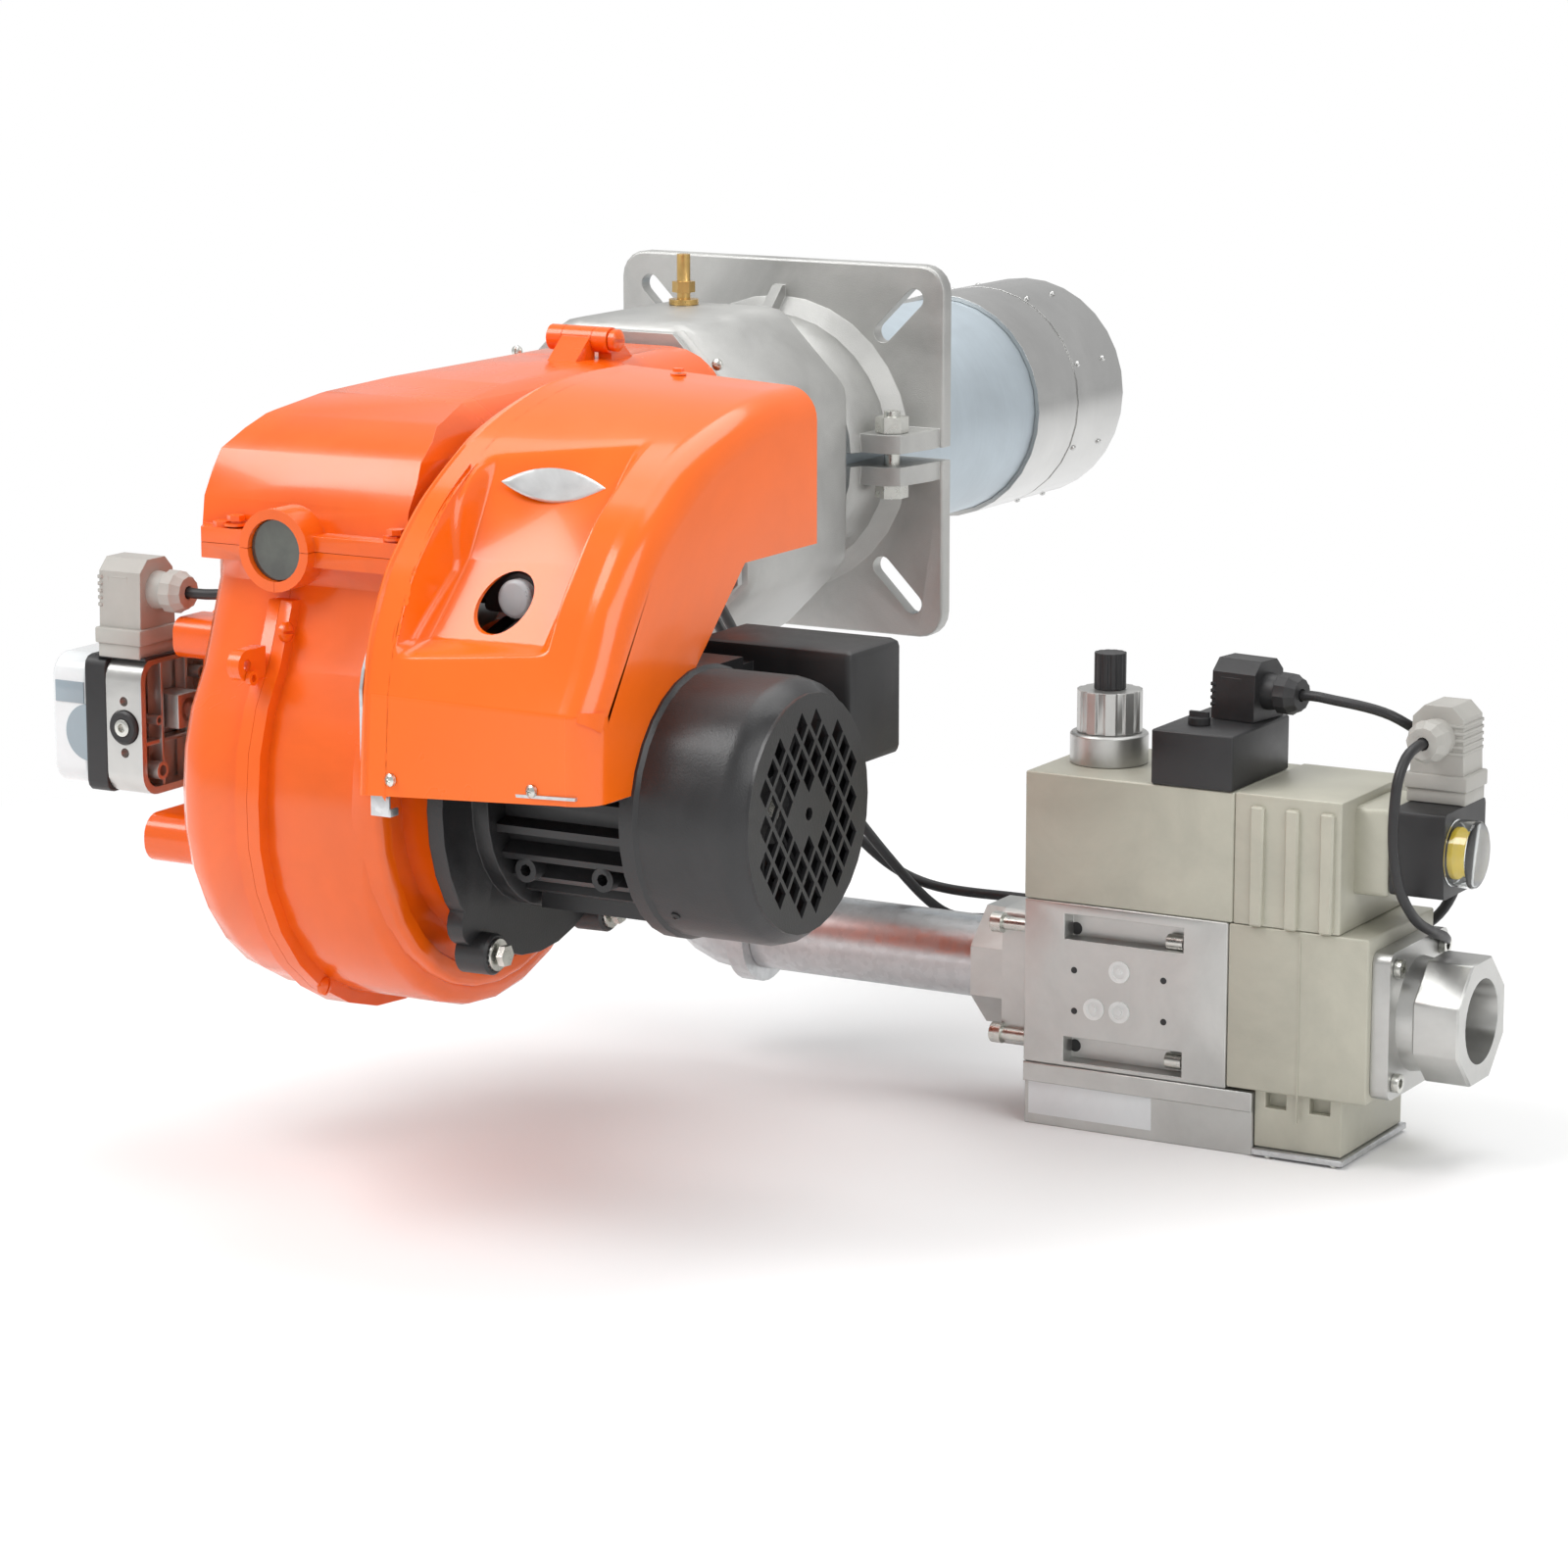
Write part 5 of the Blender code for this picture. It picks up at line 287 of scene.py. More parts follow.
def finish(name, colour, rough=(0.4, 0.55), metallic=0.0, grain=(900.0, 0.00004), smudge=9.0,
           tint=(0.86, 1.1), wear=0.0, wear_colour=None, coat=0.0, coat_rough=0.08,
           specks=0.0, spangle=None, streak=None, streak_depth=0.0):
    """Opaque finish: base colour with smudges, grain, worn edges and roughness variation."""
    material, tree, shader, place = new_material(name)
    detail = use_group(tree, "grain", Vector=place, Grain_Scale=grain[0], Smudge_Scale=smudge)
    soft = detail.outputs["Smudge"]
    base = blend(tree, soft, shade(colour, tint[0]), shade(colour, tint[1]))
    height = detail.outputs["Grain"]
    rough_from = soft
    if specks:
        share = math_node(tree, "MULTIPLY", detail.outputs["Specks"], specks, True)
        base = blend(tree, share, base, shade(colour, 0.55))
    if spangle:
        cells = use_group(tree, "spangle", Vector=place, Scale=spangle).outputs["Shade"]
        base = blend(tree, math_node(tree, "MULTIPLY", cells, 0.35), base, shade(colour, 0.7))
        rough_from = math_node(tree, "ADD", math_node(tree, "MULTIPLY", soft, 0.5),
                               math_node(tree, "MULTIPLY", cells, 0.5), True)
    if streak:
        lines = use_group(tree, "streak", Vector=place, Stretch=streak).outputs["Lines"]
        rough_from = math_node(tree, "ADD", math_node(tree, "MULTIPLY", soft, 0.35),
                               math_node(tree, "MULTIPLY", lines, 0.65), True)
        base = blend(tree, math_node(tree, "MULTIPLY", lines, streak_depth), base,
                     shade(colour, 0.62))
        height = lines
    if wear:
        edge = use_group(tree, "edge", Vector=place, Amount=wear).outputs["Mask"]
        base = blend(tree, edge, base, wear_colour or shade(colour, 1.5))
        rough_from = math_node(tree, "SUBTRACT", rough_from,
                               math_node(tree, "MULTIPLY", edge, 0.35), True)
    bump = put(tree, "ShaderNodeBump", {"Height": height, "Distance": grain[1],
                                        "Strength": 1.0})
    feed(tree, shader, {
        "Base Color": base, "Roughness": spread(tree, rough_from, *rough),
        "Normal": bump.outputs["Normal"], "Metallic": metallic, "Coat Weight": coat,
        "Coat Roughness": coat_rough})
    FINISHES[name] = material


def clear_finish(name, colour, rough, transmission=1.0):
    """Clear or frosted plastic, with faint handling marks."""
    material, tree, shader, place = new_material(name)
    detail = use_group(tree, "grain", Vector=place, Grain_Scale=700.0, Smudge_Scale=30.0)
    soft = detail.outputs["Smudge"]
    bump = put(tree, "ShaderNodeBump", {"Height": detail.outputs["Grain"],
                                        "Distance": 0.000006, "Strength": 1.0})
    feed(tree, shader, {
        "Base Color": blend(tree, soft, shade(colour, 0.94), colour),
        "Roughness": spread(tree, soft, *rough), "Normal": bump.outputs["Normal"],
        "Transmission Weight": transmission, "IOR": PLASTIC_IOR})
    FINISHES[name] = material


def finishes(colours):
    """Builds every finish once, from the chosen colours.

    After the colour come the range of roughness, the share of metal, the grain's scale and
    depth, the smudges' scale, the range of tint, the wear with its colour, and the coat.
    """
    if FINISHES:
        return FINISHES
    casing, hood, alloy, beige, zinc, black, plug = (
        tuple(getattr(colours, name))
        for name in ("casing", "hood", "alloy", "beige", "zinc", "black", "plug"))
    finish("casing_paint", casing, (0.16, 0.30), 0, (700, 0.00005), 7, (0.88, 1.08), 0.18,
           shade(casing, 1.35), 0.32, 0.08)
    finish("hood_plastic", hood, (0.14, 0.26), 0, (420, 0.00003), 6, (0.94, 1.06), 0.06,
           shade(hood, 1.25), 0.30, 0.06)
    finish("sand_cast", alloy, (0.36, 0.56), 0.75, (1100, 0.00022), 10, (0.80, 1.12), 0.6,
           (0.78, 0.78, 0.77), specks=0.35)
    finish("die_cast", shade(alloy, 1.12), (0.28, 0.44), 0.85, (1500, 0.00008), 14,
           (0.86, 1.1), 0.5, (0.82, 0.82, 0.81))
    finish("hood_panel", shade(hood, 1.04), (0.24, 0.34), 0, (420, 0.00003), 6,
           (0.96, 1.04), 0.05, shade(hood, 1.25), 0.3, 0.12)
    finish("badge_silver", (0.66, 0.67, 0.67), (0.3, 0.4), 0.7, (1600, 0.00003), 60,
           (0.92, 1.05))
    finish("switch_white", (0.74, 0.76, 0.77), (0.10, 0.2), 0, (900, 0.00003), 20,
           (0.94, 1.03), coat=0.5)
    finish("window_grey", (0.28, 0.34, 0.38), (0.1, 0.2), 0, (900, 0.00002), 20,
           (0.94, 1.03), coat=0.6)
    finish("tube_scale", (0.50, 0.57, 0.62), (0.38, 0.56), 0.55, (800, 0.00004), 8,
           (0.88, 1.1), 0.2, streak=(30, 500, 30), streak_depth=0.2)
    finish("stainless", (0.60, 0.60, 0.59), (0.14, 0.32), 1.0, (900, 0.00003), 8,
           (0.88, 1.1), 0.3, streak=(16, 900, 16), streak_depth=0.3)
    finish("galvanised", zinc, (0.26, 0.46), 0.95, (900, 0.00004), 9, (0.86, 1.12), 0.4,
           (0.85, 0.85, 0.85), spangle=230.0)
    finish("zinc_screw", (0.66, 0.66, 0.62), (0.22, 0.36), 1.0, (1600, 0.00003), 60,
           (0.82, 1.1), 0.5, (0.9, 0.9, 0.88))
    finish("black_screw", (0.05, 0.05, 0.05), (0.3, 0.45), 0.8, (1600, 0.00003), 60,
           (0.8, 1.2), 0.4, (0.3, 0.3, 0.3))
    finish("motor_paint", black, (0.28, 0.42), 0, (650, 0.00012), 12, (0.8, 1.5), 0.25,
           (0.10, 0.10, 0.10), specks=0.2)
    finish("black_plastic", black, (0.36, 0.52), 0, (1500, 0.00008), 16, (0.85, 1.4), 0.2,
           (0.09, 0.09, 0.09))
    finish("grey_plastic", plug, (0.40, 0.55), 0, (1500, 0.00007), 20, (0.92, 1.06), 0.15,
           shade(plug, 1.25))
    finish("valve_coating", beige, (0.34, 0.5), 0.15, (1000, 0.0001), 12, (0.88, 1.1), 0.4,
           shade(beige, 1.5), specks=0.15)
    finish("brass", (0.70, 0.46, 0.17), (0.2, 0.38), 1.0, (1200, 0.00004), 40, (0.75, 1.1),
           0.4, (0.9, 0.68, 0.34))
    finish("ceramic", (0.80, 0.78, 0.72), (0.2, 0.3), 0, (900, 0.00003), 20)
    # Black rubber for the cords, ring and gasket; the same black is painted shade on the discs in
    # the valve's holes
    finish("rubber_and_hole_shade", (0.016, 0.016, 0.017), (0.38, 0.55), 0, (1300, 0.00004), 40, (0.8, 1.6))
    finish("white_plug", (0.72, 0.73, 0.72), (0.3, 0.42), 0, (1200, 0.00004), 40, (0.9, 1.04))
    finish("yellow_dial", (0.86, 0.60, 0.015), (0.35, 0.48), 0, (1200, 0.00004), 40,
           (0.92, 1.04))
    clear_finish("clear_plastic", (0.93, 0.95, 0.95), (0.02, 0.07))
    clear_finish("frosted_plastic", (0.82, 0.84, 0.86), (0.25, 0.4), 0.55)
    finish("sight_glass", (0.045, 0.05, 0.04), (0.03, 0.1), 0, (500, 0.00001), 30, (0.7, 1.6),
           coat=1.0, coat_rough=0.02)
    return FINISHES


# Mesh helpers
WELD, FLAT_ANGLE, WALL_NEAR = 0.000002, math.radians(0.6), 0.006


def placed(name, data):
    """New object in the scene."""
    made = bpy.data.objects.new(name, data)
    bpy.context.scene.collection.objects.link(made)
    return made


def new_piece(name, bm, material, body, smooth=35.0):
    """Finished mesh object that rides on a body."""
    mesh = bpy.data.meshes.new(name)
    bm.to_mesh(mesh)
    bm.free()
    piece = placed(name, mesh)
    mesh.materials.append(material)
    if smooth:
        mesh.shade_smooth()
        mesh.set_sharp_from_angle(angle=math.radians(smooth))
    if body:
        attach(piece, body)
    return piece


def slotted(name, bm, material, body, smooth=33.0):
    """Piece that no solid stands for, with its faces turned outwards."""
    bmesh.ops.recalc_face_normals(bm, faces=bm.faces)
    new_piece(name, bm, material, body, smooth)


def edged(piece, width, angle=38.0, segments=2):
    """Rounds a piece's edges with a live bevel."""
    edges = piece.modifiers.new("edges", "BEVEL")
    edges.width = width
    edges.segments = segments
    edges.limit_method = "ANGLE"
    edges.angle_limit = math.radians(angle)
    edges.harden_normals = True
    return piece


def shaped(maker, *values):
    """New mesh that holds one basic shape."""
    bm = bmesh.new()
    maker(bm, *values)
    return bm


def join_rings(bm, rings):
    """Walls between rings of corners, with the first and the last ring closed."""
    for first, second in zip(rings, rings[1:]):
        for step in range(len(first)):
            after = (step + 1) % len(first)
            bm.faces.new((first[step], first[after], second[after], second[step]))
    bm.faces.new(rings[0][::-1])
    bm.faces.new(rings[-1])


def across(axis):
    """Two directions at right angles to an axis."""
    axis = Vector(axis).normalized()
    side = axis.cross(Vector((0, 0, 1)) if abs(axis.z) < 0.9 else Vector((1, 0, 0))).normalized()
    return axis, side, axis.cross(side)


def lathe(bm, foot, axis, profile, sides=48, shares=None):
    """Turned solid: profile points are (along, radius); shares vary the radius round about."""
    axis, side, up = across(axis)
    foot = Vector(foot)
    rings = []
    for along, radius in profile:
        ring = []
        for step in range(sides):
            angle = FULL_TURN * step / sides
            reach = radius * (shares[step % len(shares)] if shares else 1.0)
            ring.append(bm.verts.new(foot + axis * along
                                     + side * reach * math.cos(angle)
                                     + up * reach * math.sin(angle)))
        rings.append(ring)
    join_rings(bm, rings)


def turned_piece(name, foot, axis, profile, material, body, sides=48, shares=None):
    """Turned piece of its own."""
    slotted(name, shaped(lathe, foot, axis, profile, sides, shares), material, body, 35.0)


def bar(bm, low, high, edge=0.0):
    """Block with rounded edges between two corners."""
    low, high = Vector(low), Vector(high)
    made = bmesh.ops.create_cube(bm, size=1.0)["verts"]
    for vert in made:
        vert.co = (low + high) / 2 + Vector(
            (vert.co.x * (high.x - low.x), vert.co.y * (high.y - low.y),
             vert.co.z * (high.z - low.z)))
    if edge:
        lines = dict.fromkeys(line for vert in made for line in vert.link_edges)
        bmesh.ops.bevel(bm, geom=list(lines), offset=edge, segments=2, profile=0.5,
                        affect="EDGES")


def bars_piece(name, boxes, edge, material, body):
    """One piece of several rounded blocks."""
    bm = bmesh.new()
    for low, high in boxes:
        bar(bm, low, high, edge)
    new_piece(name, bm, material, body, 40.0)


def plate(bm, points, axis, start, end):
    """Prism over an outline given in the two other axes."""
    order = {"X": (2, 0, 1), "Y": (0, 2, 1), "Z": (0, 1, 2)}[axis]
    rings = []
    for place in (start, end):
        rings.append([bm.verts.new([(*point, place)[index] for index in order])
                      for point in points])
    join_rings(bm, rings)


def dress(node, material, edge=0.0, inset=0.0):
    """Smooth-shaded copy of a solid in its place; an inset moves its left wall inwards."""
    bm = bmesh.new()
    bm.from_mesh(frame["nodes"][node].data)
    bmesh.ops.remove_doubles(bm, verts=bm.verts, dist=WELD)
    bmesh.ops.dissolve_limit(bm, angle_limit=FLAT_ANGLE, verts=bm.verts, edges=bm.edges,
                             use_dissolve_boundaries=False)
    piece = new_piece(node + "_skin", bm, material, BODY_OF[node], 33.0)
    if edge:
        edged(piece, edge)
    if inset:
        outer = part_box(node)[0][0]
        for vert in piece.data.vertices:
            if vert.co.x < outer + WALL_NEAR:
                vert.co.x += inset
    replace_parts(piece, node)


def dress_all(nodes, material, edge=0.0):
    for node in nodes:
        dress(node, material, edge)


def combine(piece, name, operation, tool):
    """Live boolean of a piece with another object."""
    change = piece.modifiers.new(name, "BOOLEAN")
    change.operation = operation
    change.solver = "EXACT"
    change.object = tool


def settled(maker, *tools):
    """Mesh of an object with its modifiers applied; it and its tools are removed."""
    view = bpy.context.evaluated_depsgraph_get()
    mesh = bpy.data.meshes.new_from_object(maker.evaluated_get(view))
    for item in (maker, *tools):
        bpy.data.objects.remove(item)
    return mesh


def bent(before, start, end, after, share):
    """Point on a smooth curve between two of the points it goes through."""
    return ((start * 2) + (end - before) * share
            + (before * 2 - start * 5 + end * 4 - after) * share ** 2
            + (start * 3 - before - end * 3 + after) * share ** 3) / 2


# Fasteners
def solid(tree, kind, **values):
    """A primitive's mesh; in its inputs' names, underscores stand for spaces."""
    return put(tree, "GeometryNodeMesh" + kind,
               {name.replace("_", " "): value for name, value in values.items()}).outputs["Mesh"]


def moved(tree, mesh, place, turn=(0, 0, 0)):
    return put(tree, "GeometryNodeTransform", {
        "Translation": place, "Rotation": turn, "Geometry": mesh}).outputs["Geometry"]


def combined(tree, operation, first, second):
    made = put(tree, "GeometryNodeMeshBoolean", operation=operation, solver="EXACT")
    base = "Mesh 1" if operation == "DIFFERENCE" else "Mesh 2"
    link_all(tree, (first, made.inputs[base]), (second, made.inputs["Mesh 2"]))
    return made.outputs["Mesh"]


def screw_head(tree, kind):
    """Head of unit radius that stands on the origin, its outer side towards +Z."""
    if kind == "rivet":
        ball = solid(tree, "UVSphere", Segments=16, Rings=10, Radius=1.0)
        trim = moved(tree, solid(tree, "Cube", Size=(3, 3, 1.2)), (0, 0, 0.3))
        return combined(tree, "INTERSECT", ball, trim)
    if kind == "hex":
        head = moved(tree, solid(tree, "Cylinder", Vertices=6, Radius=1.0, Depth=0.95),
                     (0, 0, 0.6))
        trim = moved(tree, solid(tree, "Cone", Vertices=32, Radius_Top=0.72,
                                 Radius_Bottom=2.0, Depth=1.3), (0, 0, 0.47))
        washer = moved(tree, solid(tree, "Cylinder", Vertices=32, Radius=1.42, Depth=0.26),
                       (0, 0, 0.05))
        return combined(tree, "UNION", combined(tree, "INTERSECT", head, trim), washer)
    tall = {"socket": 1.0, "cross": 0.62, "slot": 0.55}[kind]
    head = moved(tree, solid(tree, "Cylinder", Vertices=28, Radius=1.0, Depth=tall + 0.3),
                 (0, 0, tall / 2 - 0.15))
    if kind == "socket":
        trim = moved(tree, solid(tree, "Cone", Vertices=28, Radius_Top=0.86,
                                 Radius_Bottom=2.2, Depth=1.4), (0, 0, 0.3))
        tool = moved(tree, solid(tree, "Cylinder", Vertices=6, Radius=0.56, Depth=1.2),
                     (0, 0, 1.05))
        return combined(tree, "DIFFERENCE", combined(tree, "INTERSECT", head, trim), tool)
    trim = moved(tree, solid(tree, "UVSphere", Segments=28, Rings=18, Radius=1.45),
                 (0, 0, tall - 1.45))
    head = combined(tree, "INTERSECT", head, trim)
    long = solid(tree, "Cube", Size=(1.15, 0.24, 0.8))
    tool = moved(tree, long, (0, 0, tall + 0.1))
    if kind == "slot":
        tool = moved(tree, solid(tree, "Cube", Size=(2.6, 0.26, 0.8)), (0, 0, tall + 0.1))
        return combined(tree, "DIFFERENCE", head, tool)
    other = moved(tree, long, (0, 0, tall + 0.1), (0, 0, math.pi / 2))
    return combined(tree, "DIFFERENCE", head, combined(tree, "UNION", tool, other))


SCREW_TREES = {}


def screw_tree(kind):
    """Tree that sets a head on each vertex, turned along its facing and scaled to its size."""
    if kind in SCREW_TREES:
        return SCREW_TREES[kind]
    tree = bpy.data.node_groups.new(kind + "_heads", "GeometryNodeTree")
    tree.interface.new_socket("Geometry", in_out="INPUT", socket_type="NodeSocketGeometry")
    tree.interface.new_socket("Turn Seed", in_out="INPUT", socket_type="NodeSocketInt")
    tree.interface.new_socket("Material", in_out="INPUT", socket_type="NodeSocketMaterial")
    tree.interface.new_socket("Geometry", in_out="OUTPUT", socket_type="NodeSocketGeometry")
    given = tree.nodes.new("NodeGroupInput")
    result = tree.nodes.new("NodeGroupOutput")
    facing = put(tree, "GeometryNodeInputNamedAttribute", {"Name": "facing"},
                 data_type="FLOAT_VECTOR")
    size = put(tree, "GeometryNodeInputNamedAttribute", {"Name": "size"}, data_type="FLOAT")
    turn = put(tree, "FunctionNodeRandomValue",
               {3: FULL_TURN, "Seed": given.outputs["Turn Seed"]}, data_type="FLOAT")
    about = put(tree, "ShaderNodeCombineXYZ", {"Z": turn.outputs[1]})
    upright = put(tree, "FunctionNodeEulerToRotation", {0: about.outputs[0]})
    align = put(tree, "FunctionNodeAlignRotationToVector",
                {"Vector": facing.outputs["Attribute"]}, axis="Z")
    order = put(tree, "FunctionNodeRotateRotation",
                {0: align.outputs["Rotation"], 1: upright.outputs[0]}, rotation_space="LOCAL")
    points = put(tree, "GeometryNodeMeshToPoints", {"Mesh": given.outputs["Geometry"]})
    heads = put(tree, "GeometryNodeInstanceOnPoints", {
        "Points": points.outputs["Points"], "Instance": screw_head(tree, kind),
        "Rotation": order.outputs["Rotation"], "Scale": size.outputs["Attribute"]})
    real = put(tree, "GeometryNodeRealizeInstances", {"Geometry": heads.outputs["Instances"]})
    paint = put(tree, "GeometryNodeSetMaterial", {
        "Geometry": real.outputs["Geometry"], "Material": given.outputs["Material"]})
    tree.links.new(paint.outputs["Geometry"], result.inputs["Geometry"])
    SCREW_TREES[kind] = tree
    return tree


def socket_named(tree, label):
    return next(item.identifier for item in tree.interface.items_tree
                if item.name == label and item.in_out == "INPUT")


def screws(name, kind, places, material, body, seed=7):
    """Heads at places given as (x, y, z), facing and radius, as one plain mesh."""
    mesh = bpy.data.meshes.new(name + "_places")
    mesh.from_pydata([place for place, facing, radius in places], [], [])
    mesh.attributes.new("facing", "FLOAT_VECTOR", "POINT")
    mesh.attributes.new("size", "FLOAT", "POINT")
    for index, (place, towards, radius) in enumerate(places):
        mesh.attributes["facing"].data[index].vector = towards
        mesh.attributes["size"].data[index].value = radius
    maker = placed(name + "_maker", mesh)
    tree = screw_tree(kind)
    heads = maker.modifiers.new("heads", "NODES")
    heads.node_group = tree
    heads[socket_named(tree, "Turn Seed")] = seed
    heads[socket_named(tree, "Material")] = material
    maker.update_tag()
    bm = bmesh.new()
    bm.from_mesh(settled(maker))
    bmesh.ops.remove_doubles(bm, verts=bm.verts, dist=0.000001)
    new_piece(name, bm, material, body, 30.0)


class BurnerOperator:
    """What every building step shares."""

    bl_options = {"REGISTER", "UNDO"}

    def execute(self, context):
        self.build(finishes(context.scene.burner_colours), context.scene.burner_sizes)
        return {"FINISHED"}


# Building steps
RIVET_COUNT, RIVET_ROWS = 8, (0.3260, 0.3720)
RIVET_START, RIVET_REACH, RIVET_RADIUS = math.radians(20), 0.0895, 0.0026


class BURNER_OT_head(BurnerOperator, bpy.types.Operator):
    """Blast tube, sleeve, diffuser and the split fixing flange"""

    bl_idname = "burner.head"
    bl_label = "Combustion head"

    def build(self, looks, sizes):
        dress_all(("flange_upper", "flange_lower"), looks["sand_cast"], sizes.edge_round)
        dress_all(("clamp_bolt_right", "clamp_bolt_left"), looks["zinc_screw"],
                  sizes.edge_round)
        dress("blast_tube", looks["tube_scale"], sizes.edge_round)
        dress("head_sleeve", looks["stainless"], sizes.edge_round)
        dress("mixing_head", looks["stainless"])
        dress_all(("ignition_electrode", "flame_rod"), looks["ceramic"])
        places = []
        for step in range(RIVET_COUNT):
            angle = RIVET_START + FULL_TURN * step / RIVET_COUNT
            facing = (math.cos(angle), 0.0, math.sin(angle))
            for along in RIVET_ROWS:
                places.append(((facing[0] * RIVET_REACH, along, facing[2] * RIVET_REACH),
                               facing, RIVET_RADIUS))
        screws("sleeve_rivets", "rivet", places, looks["stainless"], BODY_OF["head_sleeve"])


class BURNER_OT_block(BurnerOperator, bpy.types.Operator):
    """Cast block with its rear plate and test nipple"""

    bl_idname = "burner.block"
    bl_label = "Cast block"

    def build(self, looks, sizes):
        dress_all(("head_block", "block_plate"), looks["sand_cast"], sizes.edge_round)
        dress("test_nipple", looks["brass"], sizes.edge_round / 2)
        screws("plate_screws", "slot",
               [((side, -0.2490, 0.088), REARWARDS, 0.0042) for side in (-0.084, 0.084)],
               looks["zinc_screw"], "burner")


LOWER_SCREW_LESS = 0.0004


class BURNER_OT_casing(BurnerOperator, bpy.types.Operator):
    """Blower casing with its hinged cover, sight glass and fan"""

    bl_idname = "burner.casing"
    bl_label = "Blower casing"

    def build(self, looks, sizes):
        dress_all(("duct_neck", "volute_right", "scroll_cover"), looks["casing_paint"],
                  sizes.edge_round)
        dress("volute_left", looks["casing_paint"])
        dress("hinge_pin", looks["casing_paint"], sizes.edge_round)
        dress("sight_glass", looks["sight_glass"], sizes.edge_round)
        dress("fan_wheel", looks["galvanised"])
        dress("motor_shaft", looks["stainless"])
        upper = sizes.seam_screw
        for name, kind, places, body in (
                ("cover_bolts", "hex", [((-0.0305, -0.6680, 0.0200), UPWARDS, 0.0058),
                                        ((0.0940, -0.6680, 0.0200), UPWARDS, 0.0058)], "cover"),
                ("seam_screws", "slot",
                 [((0.0188, -0.6835, -0.0440), RIGHTWARDS, upper),
                  ((0.0188, -0.6489, -0.2854), RIGHTWARDS, upper - LOWER_SCREW_LESS)], "burner"),
                ("hinge_screw", "slot", [((0.0606, -0.3450, 0.1130), RIGHTWARDS, 0.0078)],
                 "burner"),
                ("lug_screw", "socket", [((0.0090, -0.7130, -0.0700), RIGHTWARDS, 0.0048)],
                 "burner")):
            screws(name, kind, places, looks["casing_paint"], body)


MOTOR_AXIS = (-0.572, -0.150)
MOTOR_PLATE_REAR = 0.1263
MOTOR_BOLTS = ((-0.0700, -0.1000), (0.0700, -0.1000))
COWL_SCREWS = (math.radians(225), math.radians(315))
COWL_SCREW_PLACE, COWL_SCREW_REACH = 0.2790, 0.0865


class BURNER_OT_motor(BurnerOperator, bpy.types.Operator):
    """Motor with its flange, finned frame, cowl and terminal box"""

    bl_idname = "burner.motor"
    bl_label = "Motor"

    def build(self, looks, sizes):
        dress_all(("motor_plate", "motor_frame", "fan_cowl"), looks["motor_paint"],
                  sizes.edge_round)
        dress("terminal_box", looks["black_plastic"], sizes.edge_round)
        dress("cooling_fan", looks["black_plastic"])
        y_axis, z_axis = MOTOR_AXIS
        for index, (along, lift) in enumerate(MOTOR_BOLTS):
            foot = (MOTOR_PLATE_REAR, y_axis + along, z_axis + lift)
            turned_piece("motor_lug_%d" % (index + 1), foot, RIGHTWARDS,
                         ((0, 0.0140), (0.0215, 0.0136), (0.0230, 0.0124), (0.0230, 0.0090),
                          (0.0224, 0.0088)), looks["motor_paint"], "burner", 40)
            washer = (foot[0] + 0.0226, foot[1], foot[2])
            turned_piece("motor_washer_%d" % (index + 1), washer, RIGHTWARDS,
                         ((0, 0.0112), (0.0013, 0.0110)), looks["black_screw"], "burner",
                         36, (1.0, 0.92))
        screws("motor_bolts", "hex",
               [((MOTOR_PLATE_REAR + 0.0238, y_axis + along, z_axis + lift), RIGHTWARDS, 0.0074)
                for along, lift in MOTOR_BOLTS], looks["zinc_screw"], "burner")
        screws("cowl_screws", "cross",
               [((COWL_SCREW_PLACE, y_axis + COWL_SCREW_REACH * math.cos(angle),
                  z_axis + COWL_SCREW_REACH * math.sin(angle)),
                 (0, math.cos(angle), math.sin(angle)), 0.0032) for angle in COWL_SCREWS],
               looks["black_screw"], "burner")


# Hood: a moulded shell drawn between two lines, with a dished control panel
HOOD_LEFT, HOOD_RIDGE, HOOD_RIGHT = 0.110, 0.240, 0.262
HOOD_EDGE_LEFT, HOOD_THICK, HOOD_FOLD = 0.006, 0.003, 1.0
HOOD_FRONT, HOOD_CUT_HIGH, HOOD_STEP = -0.4215, -0.003, -0.516
HOOD_TOE, HOOD_BOTTOM = -0.653, -0.131
HOOD_LEFT_LINE = (
    (-0.7405, -0.131), (-0.7350, -0.066), (-0.7280, -0.034), (-0.7115, 0.001),
    (-0.6955, 0.021), (-0.6660, 0.048), (-0.6290, 0.071), (-0.6005, 0.085),
    (-0.5600, 0.097), (-0.5170, 0.105), (-0.4680, 0.1075), (-0.4215, 0.1075),
)
HOOD_RIDGE_LINE = (
    (-0.7070, -0.131), (-0.7070, -0.074), (-0.6920, -0.050), (-0.6760, -0.020),
    (-0.6590, 0.003), (-0.6340, 0.031), (-0.6040, 0.053), (-0.5750, 0.071),
    (-0.5400, 0.085), (-0.5000, 0.095), (-0.4600, 0.100), (-0.4215, 0.101),
)
PANEL_LEFT, PANEL_RIGHT = 0.140, 0.215
PANEL_LEFT_LINE = ((-0.612, 0.080), (-0.653, 0.009), (-0.698, -0.036), (-0.735, -0.048))
PANEL_RIGHT_LINE = ((-0.571, 0.078), (-0.640, 0.010), (-0.686, -0.037), (-0.722, -0.048))
DISH_START, DISH_WALL = 0.1295, 0.011
DISH_END, DISH_SLOPE = 0.2235, 0.009
DISH_TOP, DISH_BOTTOM, DISH_SOFT = 0.082, -0.060, 0.0022
LEAF_SUNK = 0.0022
HOLE_PLACE, HOLE_RADIUS = (0.1765, -0.014), 0.0178
